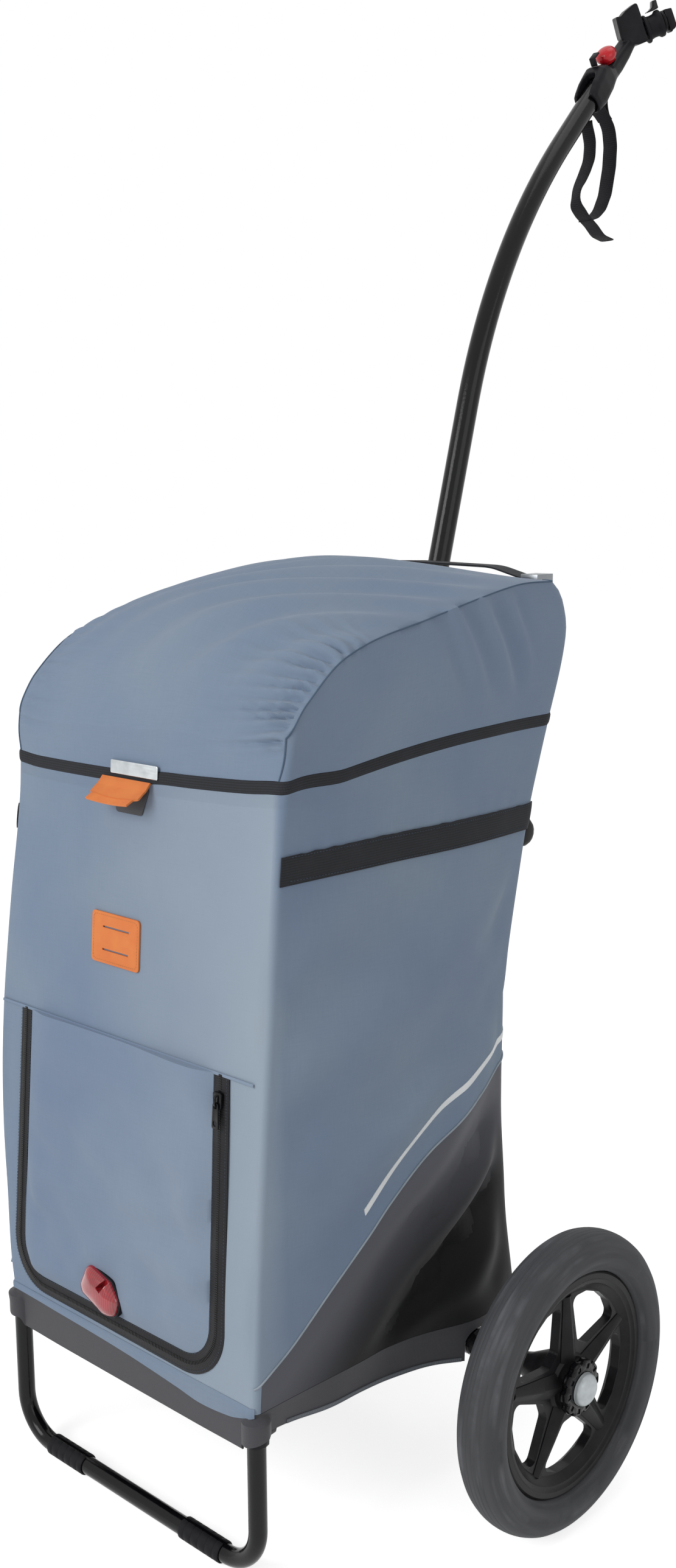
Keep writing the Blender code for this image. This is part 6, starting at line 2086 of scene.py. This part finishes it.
    def clasp(self) -> None:
        """The metal plate and the leather tab under it, which curls out."""
        plate = Dress("lid", self.finishes.silver, "silver_metal", ("clasp_plate",), 0.0004, 30.0)
        refined("clasp_plate", "clasp_cover", plate)
        y = Bag.front_y(self.tab_z) - self.tab_out
        place = Places.trailer @ moved(self.tab_x, y, self.tab_z)
        path = rounded(
            [(0.0, 0.0, 0.0), (0.0, -0.0075, -0.0085), (0.0, -0.0165, -0.0155), (0.0, -0.0265, -0.0205)],
            0.02, 10, closed=False,
        )
        outer = []
        inner = []
        shares = [2 * step / 16 - 1 for step in range(17)]
        for index, (point, ahead) in enumerate(zip(path, headings(path))):
            share = index / (len(path) - 1)
            narrow = 1.0 - 0.14 * ease(share, 0.55, 1.0) ** 2
            out = Vector((0.0, ahead.z, -ahead.y))
            bends = []
            for s in shares:
                tip = 0.0018 * (1 - s * s) * ease(share, 0.9, 1.0)
                bends.append(Vector((self.tab_half * narrow * s, tip, 0.002 * s * s * share)))
            outer.append([point - out * self.tab_thick / 2 + bend for bend in bends])
            inner.append([point + out * self.tab_thick / 2 + bend for bend in bends])
        dress = Dress("tab", self.finishes.leather, "leather", ("leather_tab",), 0.0004, 40.0)
        dress.make("leather_pull", Shape().slab(outer, inner), place)

    def build(self) -> None:
        """Builds the lid."""
        self.shell()
        self.hinge()
        self.seam_cords()
        self.binding()
        self.clasp()


# The front pocket, its zip, patch and light


@dataclass
class Pocket:
    """What lies on the bag's front: the zipped pocket, the leather patch and the red light."""

    finishes: Finishes
    middle: float = -0.021
    top_z: float = 0.494
    low_z: float = 0.2
    half_top: float = 0.15
    half_low: float = 0.156
    corner: float = 0.045
    tape_half: float = 0.01
    base: float = -0.0003
    inset: float = 0.012
    puff: float = 0.0075
    patch_x: float = -0.0283
    patch_half: float = 0.0363
    patch_low: float = 0.566
    patch_high: float = 0.6175
    patch_hem: float = 0.0028

    @staticmethod
    def rise(z: float) -> float:
        """A height written in the panel's own frame."""
        return (z - Places.panel_z) * math.hypot(1.0, Places.front_slope)

    def line(self, inset: float, corner: float, top: float) -> list[Vector]:
        """The U of the zip, or one inside it, as points in the panel's frame."""
        low = self.low_z + inset
        points = [
            (self.middle - self.half_top + inset, 0.0, self.rise(top)),
            (self.middle - self.half_low + inset, 0.0, self.rise(low)),
            (self.middle + self.half_low - inset, 0.0, self.rise(low)),
            (self.middle + self.half_top - inset, 0.0, self.rise(top)),
        ]
        return rounded(points, corner, 14, closed=False)

    def tape(self) -> None:
        """The zip's tape and its teeth."""
        path = even_path(self.line(0.0, self.corner, self.top_z), 0.004)
        outer = []
        inner = []
        line = []
        shares = (-1.0, -0.93, -0.25, -0.16, 0.0, 0.16, 0.25, 0.93, 1.0)
        rises = (0.0008, 0.0013, 0.0014, 0.0018, 0.0018, 0.0018, 0.0014, 0.0013, 0.0008)
        for point, ahead in zip(path, headings(path)):
            level = Vector((-ahead.z, 0.0, ahead.x))
            half = self.tape_half * (1.0 + 1.1 * point.x)
            line.append((Places.panel @ (point + Vector((0.0, self.base - 0.0018, 0.0))), Places.panel_out))
            outer.append(
                [
                    point + level * half * s + Vector((0.0, self.base - lift, 0.0))
                    for s, lift in zip(shares, rises)
                ]
            )
            inner.append([point + level * half * s + Vector((0.0, self.base, 0.0)) for s in shares])
        dress = Dress(FRAME_BODY, self.finishes.zip, "black_fabric", ("zip_tape",))
        dress.make("zip_tapes", Shape().slab(outer, inner), Places.panel)
        teeth = RepeatAlong(Repeat.TOOTH)
        dress = Dress(FRAME_BODY, self.finishes.glossy, "black_plastic")
        teeth.lay(
            "zip_teeth", [line], dress, Spacing=0.0022, Length=0.0012, Width=0.0036, Height=0.0008,
            Jitter=0.03,
        )

    def stitch(self, stitches: RepeatAlong) -> None:
        """The stitches beside the zip."""
        lines = []
        for inset in (-0.0084, 0.0084):
            path = even_path(self.line(inset, self.corner - inset, self.top_z), 0.006)
            spots = [Places.panel @ (point + Vector((0.0, self.base - 0.0014, 0.0))) for point in path]
            lines.append([(spot, Places.panel_out) for spot in spots])
        dress = Dress(FRAME_BODY, self.finishes.thread, "black_fabric")
        stitches.lay(
            "zip_stitches", lines, dress, Spacing=0.0034, Length=0.0025, Width=0.0006, Height=0.0004,
            Jitter=0.06,
        )

    def panel(self) -> None:
        """The pocket's cloth, full in the middle, with soft folds."""
        inset = self.inset - 0.0028
        corner = self.corner - inset
        low = self.low_z + inset
        heights = [low + corner * (1 - cos(pi / 2 * step / 12)) for step in range(12)]
        heights += [low + corner + (self.top_z - low - corner) * step / 44 for step in range(45)]
        outer = []
        inner = []
        for z in heights:
            share = (z - self.low_z) / (self.top_z - self.low_z)
            half = self.half_low + (self.half_top - self.half_low) * share - inset
            drop = corner - (z - low)
            if drop > 0:
                half -= corner - math.sqrt(max(corner**2 - drop**2, 0.0))
            front = []
            back = []
            for step in range(65):
                across = 2 * step / 64 - 1
                x = self.middle + across * half
                full = min((half * (1 - abs(across))) / 0.03, (z - low) / 0.03, 1.0)
                swell = self.puff * sin(pi / 2 * full) * (1 - 0.35 * ease(z, 0.4, 0.494))
                fold = self.folds(x, z) * sin(pi / 2 * full)
                front.append((x, self.base - 0.0012 - swell - fold, self.rise(z)))
                back.append((x, self.base, self.rise(z)))
            outer.append(front)
            inner.append(back)
        Dress(FRAME_BODY, self.finishes.pocket_cloth, "bag_fabric", ("pocket_panel",), sharp_deg=60.0).make(
            "pocket_cloth", Shape().slab(outer, inner), Places.panel
        )
        ends = [(-0.181, -0.0014, self.rise(self.top_z)), (0.1725, -0.0014, self.rise(self.top_z))]
        welt = Shape().sweep(
            even_path(ends, 0.005), [(a * 2.0, b * 0.7) for a, b in circle(0.0008, 12)], (0.0, 0.0, 1.0)
        )
        BagDress(FRAME_BODY, self.finishes.pocket_cloth, "bag_fabric").make("pocket_seam", welt, Places.panel)

    @staticmethod
    def folds(x: float, z: float) -> float:
        """How far the pocket's folds stand out."""
        wander = noise.noise(Vector((x * 6.0, z * 8.0, 5.3)))
        side = 0.35 + 0.65 * ease(abs(x + 0.021), 0.05, 0.12)
        slant = sin((z + 0.5 * x) * 60.0 + 3.0 * wander) * 0.003 * side
        top = sin(z * 88.0 + x * 12.0 + 2.2 * wander) * 0.0016 * ease(z, 0.38, 0.45)
        dent = 0.0062 * noise.noise(Vector((x * 22.0 + z * 9.0, z * 30.0, 2.1))) * (1 - ease(z, 0.34, 0.44))
        return slant + top + dent + 0.0012 * wander

    def patch(self, stitches: RepeatAlong) -> None:
        """The leather patch with its stitched edge, and a dark patch under the lid's tab that serves as the
        tab's painted shadow.
        """
        dress = Dress(FRAME_BODY, self.finishes.leather, "leather", ("leather_patch",), 0.0004, 40.0)
        refined("leather_patch", "patch_leather", dress)
        # painted shadow: a dark cloth patch under the lid's tab
        back = Dress(FRAME_BODY, self.finishes.dark_cloth, "black_plastic", ("tab_backing",), 0.0003, 40.0)
        refined("tab_backing", "tab_shadow_pad", back)
        half = self.patch_half - self.patch_hem
        low = self.rise(self.patch_low + self.patch_hem)
        high = self.rise(self.patch_high - self.patch_hem)
        left, right = self.patch_x - half, self.patch_x + half
        corners = [(left, 0.0, low), (right, 0.0, low), (right, 0.0, high), (left, 0.0, high)]
        path = rounded(corners, 0.004, 4)
        path.append(path[0])
        spots = [Places.panel @ (point + Vector((0.0, -0.0024, 0.0))) for point in even_path(path, 0.003)]
        line = [(spot, Places.panel_out) for spot in spots]
        thread = Dress(FRAME_BODY, self.finishes.tan_thread, "leather")
        stitches.lay(
            "patch_stitches", [line], thread, Spacing=0.003, Length=0.0021, Width=0.0006, Height=0.0004,
            Jitter=0.08,
        )

    def slider(self) -> None:
        """The zip's slider and pull."""
        for body, node in (("slider", "zip_slider"), ("pull", "zip_pull")):
            dress = Dress(body, self.finishes.glossy, "steel", (node,), 0.0003)
            refined(node, f"{node}_metal", dress)

    def light(self) -> None:
        """The red light: a clear red lens over its black clip housing."""
        place = Places.panel @ moved(-0.027, -0.0036, self.rise(0.2335)) @ turned("Y", 17.0)
        corners = [
            (-0.031, -0.0165), (0.02, -0.0185), (0.031, -0.0125), (0.031, 0.006), (0.012, 0.0185),
            (-0.026, 0.0185),
        ]
        outline = rounded(corners, 0.01, 8)
        depth = 0.007
        housing = Dress(
            FRAME_BODY, self.finishes.plastic, "black_plastic", ("light_housing",), 0.0014, 40.0, 3
        )
        housing.make("light_clip", Shape().prism(outline, -depth, 0.0, Axis.ALONG_Y), place)
        rings = []
        steps = 14
        for step in range(steps):
            turn = pi / 2 * step / steps
            size = 0.95 * cos(turn) ** 0.9
            rings.append([(a * size, -depth - 0.0003 - 0.011 * sin(turn), b * size) for a, b in outline])
        lens = new_object("light_cover", Shape().loft(rings), place)
        wedge = [(-0.0035, -0.009), (0.0035, -0.009), (0.001, 0.009), (-0.0035, 0.009)]
        notch = place @ moved(0.008, -depth - 0.0323, 0.015) @ turned("Y", 20.0)
        cut(lens, Shape().prism(wedge, -0.03, 0.03, Axis.ALONG_Y), notch)
        Dress(FRAME_BODY, self.finishes.lens, "red_plastic", ("light_lens",), sharp_deg=38.0).put_on(lens)

    def build(self, stitches: RepeatAlong) -> None:
        """Builds the pocket and what lies beside it.

        Args:
            stitches: the node tree that lays stitches.
        """
        self.tape()
        self.panel()
        self.stitch(stitches)
        self.patch(stitches)
        self.slider()
        self.light()


# The tow bar, its coupling and strap


@dataclass
class TowBar:
    """The bent tow bar with the coupling head, its hitch and the safety strap."""

    finishes: Finishes
    strap_half: float = 0.0095
    strap_thick: float = 0.0018

    def tube(self) -> None:
        """The bent tube."""
        path = tow_path()
        shape = Shape().sweep(
            path, circle(Mast.tow_radius, 44), (1.0, 0.0, 0.0), circle(Mast.tow_radius - 0.0015, 44)
        )
        dress = Dress("tow", self.finishes.powder, "black_powder", ("tow_bar",), sharp_deg=50.0)
        dress.make("tow_tube", shape, Places.mast)

    def head(self) -> None:
        """The coupling arm, its guard and the red knob."""
        plastic = self.finishes.plastic
        arm = Dress("tow", plastic, "black_plastic", ("coupling_arm",), sharp_deg=60.0)
        refined("coupling_arm", "coupling_moulding", arm, soft=0.001)
        refined(
            "knob_guard", "guard_moulding",
            Dress("tow", plastic, "black_plastic", ("knob_guard",), 0.0008, 42.0),
        )
        place = Places.head() @ moved(0.0, -0.0022, 0.075) @ turned("Z", -90.0)
        profile = [(-0.0045, 0.0), (-0.0045, 0.0035), (0.0055, 0.0035), (0.0055, 0.0085), (0.0061, 0.0098)]
        for step in range(15):
            turn = radians(146.0 - 142.0 * step / 14)
            profile.append((0.0137 + 0.0083 * cos(turn), 0.013 * sin(turn) ** 0.75))
        profile.append((0.022, 0.0))
        Dress("release", self.finishes.red, "red_plastic", ("release_knob",), sharp_deg=50.0).make(
            "knob_ball", Shape().lathe(profile, 40), place
        )

    def hitch(self) -> None:
        """The swivelling barrel with its boot, block and latch."""
        start, end = 0.001, 0.0232
        neck = 0.01
        along = Places.swivel() @ Places.upward
        stem = [
            (-0.024, 0.0), (-0.024, 0.008), (start, 0.008), (start, neck), (end, neck), (end, 0.0115),
            (end + 0.001, 0.0125), (0.0275, 0.0125), (0.0275, 0.0),
        ]
        Dress("hitch", self.finishes.plastic, "black_plastic", ("hitch_barrel",), 0.0006, 40.0).make(
            "hitch_stem", Shape().lathe(stem, 40), along
        )
        profile = [
            (start, 0.0103), (start, 0.0165), (0.0044, 0.0165), (0.006, 0.0138), (0.0105, 0.0131),
            (0.0152, 0.0134), (0.0184, 0.016), (end - 0.0003, 0.016), (end - 0.0003, 0.0103),
        ]
        Dress("hitch", self.finishes.rubber, "black_rubber", ("rubber_boot",), sharp_deg=50.0).make(
            "boot_rubber", Shape().lathe(rounded(profile, 0.0014, 4), 44, ring=True), along
        )
        block = Dress("hitch", self.finishes.plastic, "black_plastic", ("hitch_block",), 0.0014, 42.0, 3)
        refined("hitch_block", "hitch_moulding", block)
        refined(
            "latch_tab", "latch_moulding",
            Dress("latch", self.finishes.glossy, "black_plastic", ("latch_tab",), 0.0005, 42.0),
        )

    def tape(self, points: Sequence[Point], twist: Table) -> Shape:
        """One length of the strap along (depth, height) points of the head's frame."""
        path = even_path(rounded([(0.0, y, z) for y, z in points], 0.024, 8, closed=False), 0.0035)
        half = self.strap_thick / 2
        back = [point - Vector((0.0, ahead.z, -ahead.y)) * half for point, ahead in zip(path, headings(path))]

        def level(share: float) -> Vector:
            """The direction of the strap's width."""
            turn = radians(smooth_value(twist, share))
            return Vector((cos(turn), sin(turn), 0.0))

        return ribbon(back, self.strap_half, self.strap_thick, level)

    def strap(self) -> None:
        """The safety strap: a loop of webbing behind the head."""
        tube = 0.0137
        left = [
            (tube, -0.009), (0.0185, -0.0135), (0.0352, -0.0213), (0.0473, -0.0361), (0.0521, -0.0555),
            (0.0566, -0.0829), (0.0665, -0.0946), (0.0847, -0.0927), (0.1057, -0.0863), (0.1232, -0.0833),
            (0.1397, -0.0718),
        ]
        right = [
            (0.0152, 0.0474), (0.02, 0.0328), (0.0336, 0.0215), (0.0477, 0.0212), (0.0645, 0.01),
            (0.0806, -0.0093), (0.0977, -0.0386), (0.1029, -0.06), (0.1001, -0.0776), (0.0923, -0.0918),
        ]
        tie = [(0.0165, 0.0165), (0.025, 0.0192), (0.0368, 0.0214)]
        shape = self.tape(
            left, ((0.0, -26.0), (0.25, -8.0), (0.42, -10.0), (0.55, -30.0), (0.7, 0.0), (1.0, 0.0))
        )
        shape.add(self.tape(right, ((0.0, -30.0), (0.12, -34.0), (0.3, 0.0), (1.0, 0.0))))
        shape.add(self.tape(tie, ((0.0, -30.0), (1.0, -30.0))))
        Dress("tow", self.finishes.strap, "black_webbing", ("safety_strap",)).make(
            "strap_webbing", shape, Places.head(), mend=False
        )

    def build(self) -> None:
        """Builds the tow bar and all it carries."""
        self.tube()
        self.head()
        self.hitch()
        self.strap()


# The studio


@dataclass
class Studio:
    """The camera, the floor and the light."""

    camera_at: tuple[float, float, float] = (1.1986, -1.2374, 1.0308)
    yaw_deg: float = 43.34
    down_deg: float = 10.34
    roll_deg: float = -0.41
    lens: float = 37.43
    sky: float = 0.34

    def camera(self) -> None:
        """The camera, where the photograph's was."""
        yaw = radians(self.yaw_deg)
        down = radians(self.down_deg)
        back = Vector((sin(yaw) * cos(down), -cos(yaw) * cos(down), sin(down)))
        right = Vector((cos(yaw), sin(yaw), 0.0))
        up = back.cross(right)
        roll = radians(self.roll_deg)
        across = right * cos(roll) + up * sin(roll)
        over = up * cos(roll) - right * sin(roll)
        turn = Matrix((across, over, back)).transposed().to_4x4()
        data = bpy.data.cameras.new("camera")
        data.lens = self.lens
        data.sensor_fit = "VERTICAL"
        data.sensor_height = 36.0
        camera = bpy.data.objects.new("camera", data)
        camera.matrix_world = Places.trailer @ Matrix.Translation(self.camera_at) @ turn
        bpy.context.scene.collection.objects.link(camera)
        bpy.context.scene.camera = camera

    @staticmethod
    def seen(tree: bpy.types.NodeTree) -> bpy.types.NodeSocket:
        """Wires a number that is 1 for what the camera, a mirror or glass sees, and 0 for lighting."""
        path = tree.nodes.new("ShaderNodeLightPath")
        total = path.outputs["Is Camera Ray"]
        for name in ("Is Glossy Ray", "Is Transmission Ray"):
            larger = tree.nodes.new("ShaderNodeMath")
            larger.operation = "MAXIMUM"
            tree.links.new(total, larger.inputs[0])
            tree.links.new(path.outputs[name], larger.inputs[1])
            total = larger.outputs[0]
        return total

    def floor(self) -> None:
        """A plain pale floor, which the camera sees as white but for the object's shadow."""
        mixer = Mixer("floor", 0.9)
        mixer.set(
            Base_Color=(0.92, 0.92, 0.92, 1.0), Specular_IOR_Level=0.0, Emission_Color=(1.0, 1.0, 1.0, 1.0)
        )
        glow = mixer.math("MULTIPLY", self.seen(mixer.tree), 0.7)
        mixer.wire(glow, mixer.surface.inputs["Emission Strength"])
        shape = Shape()
        shape.sheet([[(x, y, -0.0005) for x in (-12.0, 12.0)] for y in (-12.0, 12.0)])
        floor = new_object("floor", shape, Matrix.Identity(4))
        floor.data.materials.append(mixer.material)

    def world(self) -> None:
        """A white backdrop for the camera, and a softer sky for the light."""
        world = bpy.data.worlds.new("studio")
        world.use_nodes = True
        tree = world.node_tree
        light = tree.nodes["Background"]
        light.inputs["Color"].default_value = (1.0, 1.0, 1.0, 1.0)
        light.inputs["Strength"].default_value = self.sky
        backdrop = tree.nodes.new("ShaderNodeBackground")
        backdrop.inputs["Color"].default_value = (1.0, 1.0, 1.0, 1.0)
        backdrop.inputs["Strength"].default_value = 1.0
        mix = tree.nodes.new("ShaderNodeMixShader")
        tree.links.new(self.seen(tree), mix.inputs[0])
        tree.links.new(light.outputs[0], mix.inputs[1])
        tree.links.new(backdrop.outputs[0], mix.inputs[2])
        tree.links.new(mix.outputs[0], tree.nodes["World Output"].inputs["Surface"])
        bpy.context.scene.world = world
        bpy.context.scene.view_settings.view_transform = "Standard"

    def lamp(self, name: str, at: Point, size: float, power: float) -> None:
        """One soft square light that looks at the bag's middle."""
        data = bpy.data.lights.new(name, "AREA")
        data.shape = "SQUARE"
        data.size = size
        data.energy = power
        lamp = bpy.data.objects.new(name, data)
        aim = Vector(at) - Vector((0.0, AXLE_Y, 0.6))
        lamp.matrix_world = Matrix.Translation(at) @ aim.to_track_quat("Z", "Y").to_matrix().to_4x4()
        bpy.context.scene.collection.objects.link(lamp)

    def build(self) -> None:
        """Builds the studio."""
        self.camera()
        self.floor()
        self.world()
        self.lamp("key", (-0.6, -3.3, 2.1), 1.8, 57.0)
        self.lamp("fill", (3.2, -0.6, 1.8), 2.2, 16.0)
        self.lamp("top", (0.4, 0.4, 3.6), 1.6, 10.0)


def main() -> None:
    """Builds every piece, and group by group."""
    logging.basicConfig(level=logging.INFO, format="%(levelname)s %(message)s")
    Studio().build()
    finishes = Finishes()
    stitches = RepeatAlong(Repeat.STITCH)
    FootFrame(finishes).build()
    for name, side in SIDES:
        Wheel(finishes, name, side).build()
    BagCloth(finishes).build(stitches)
    Lid(finishes).build()
    Pocket(finishes).build(stitches)
    TowBar(finishes).build()


if __name__ == "__main__":
    main()
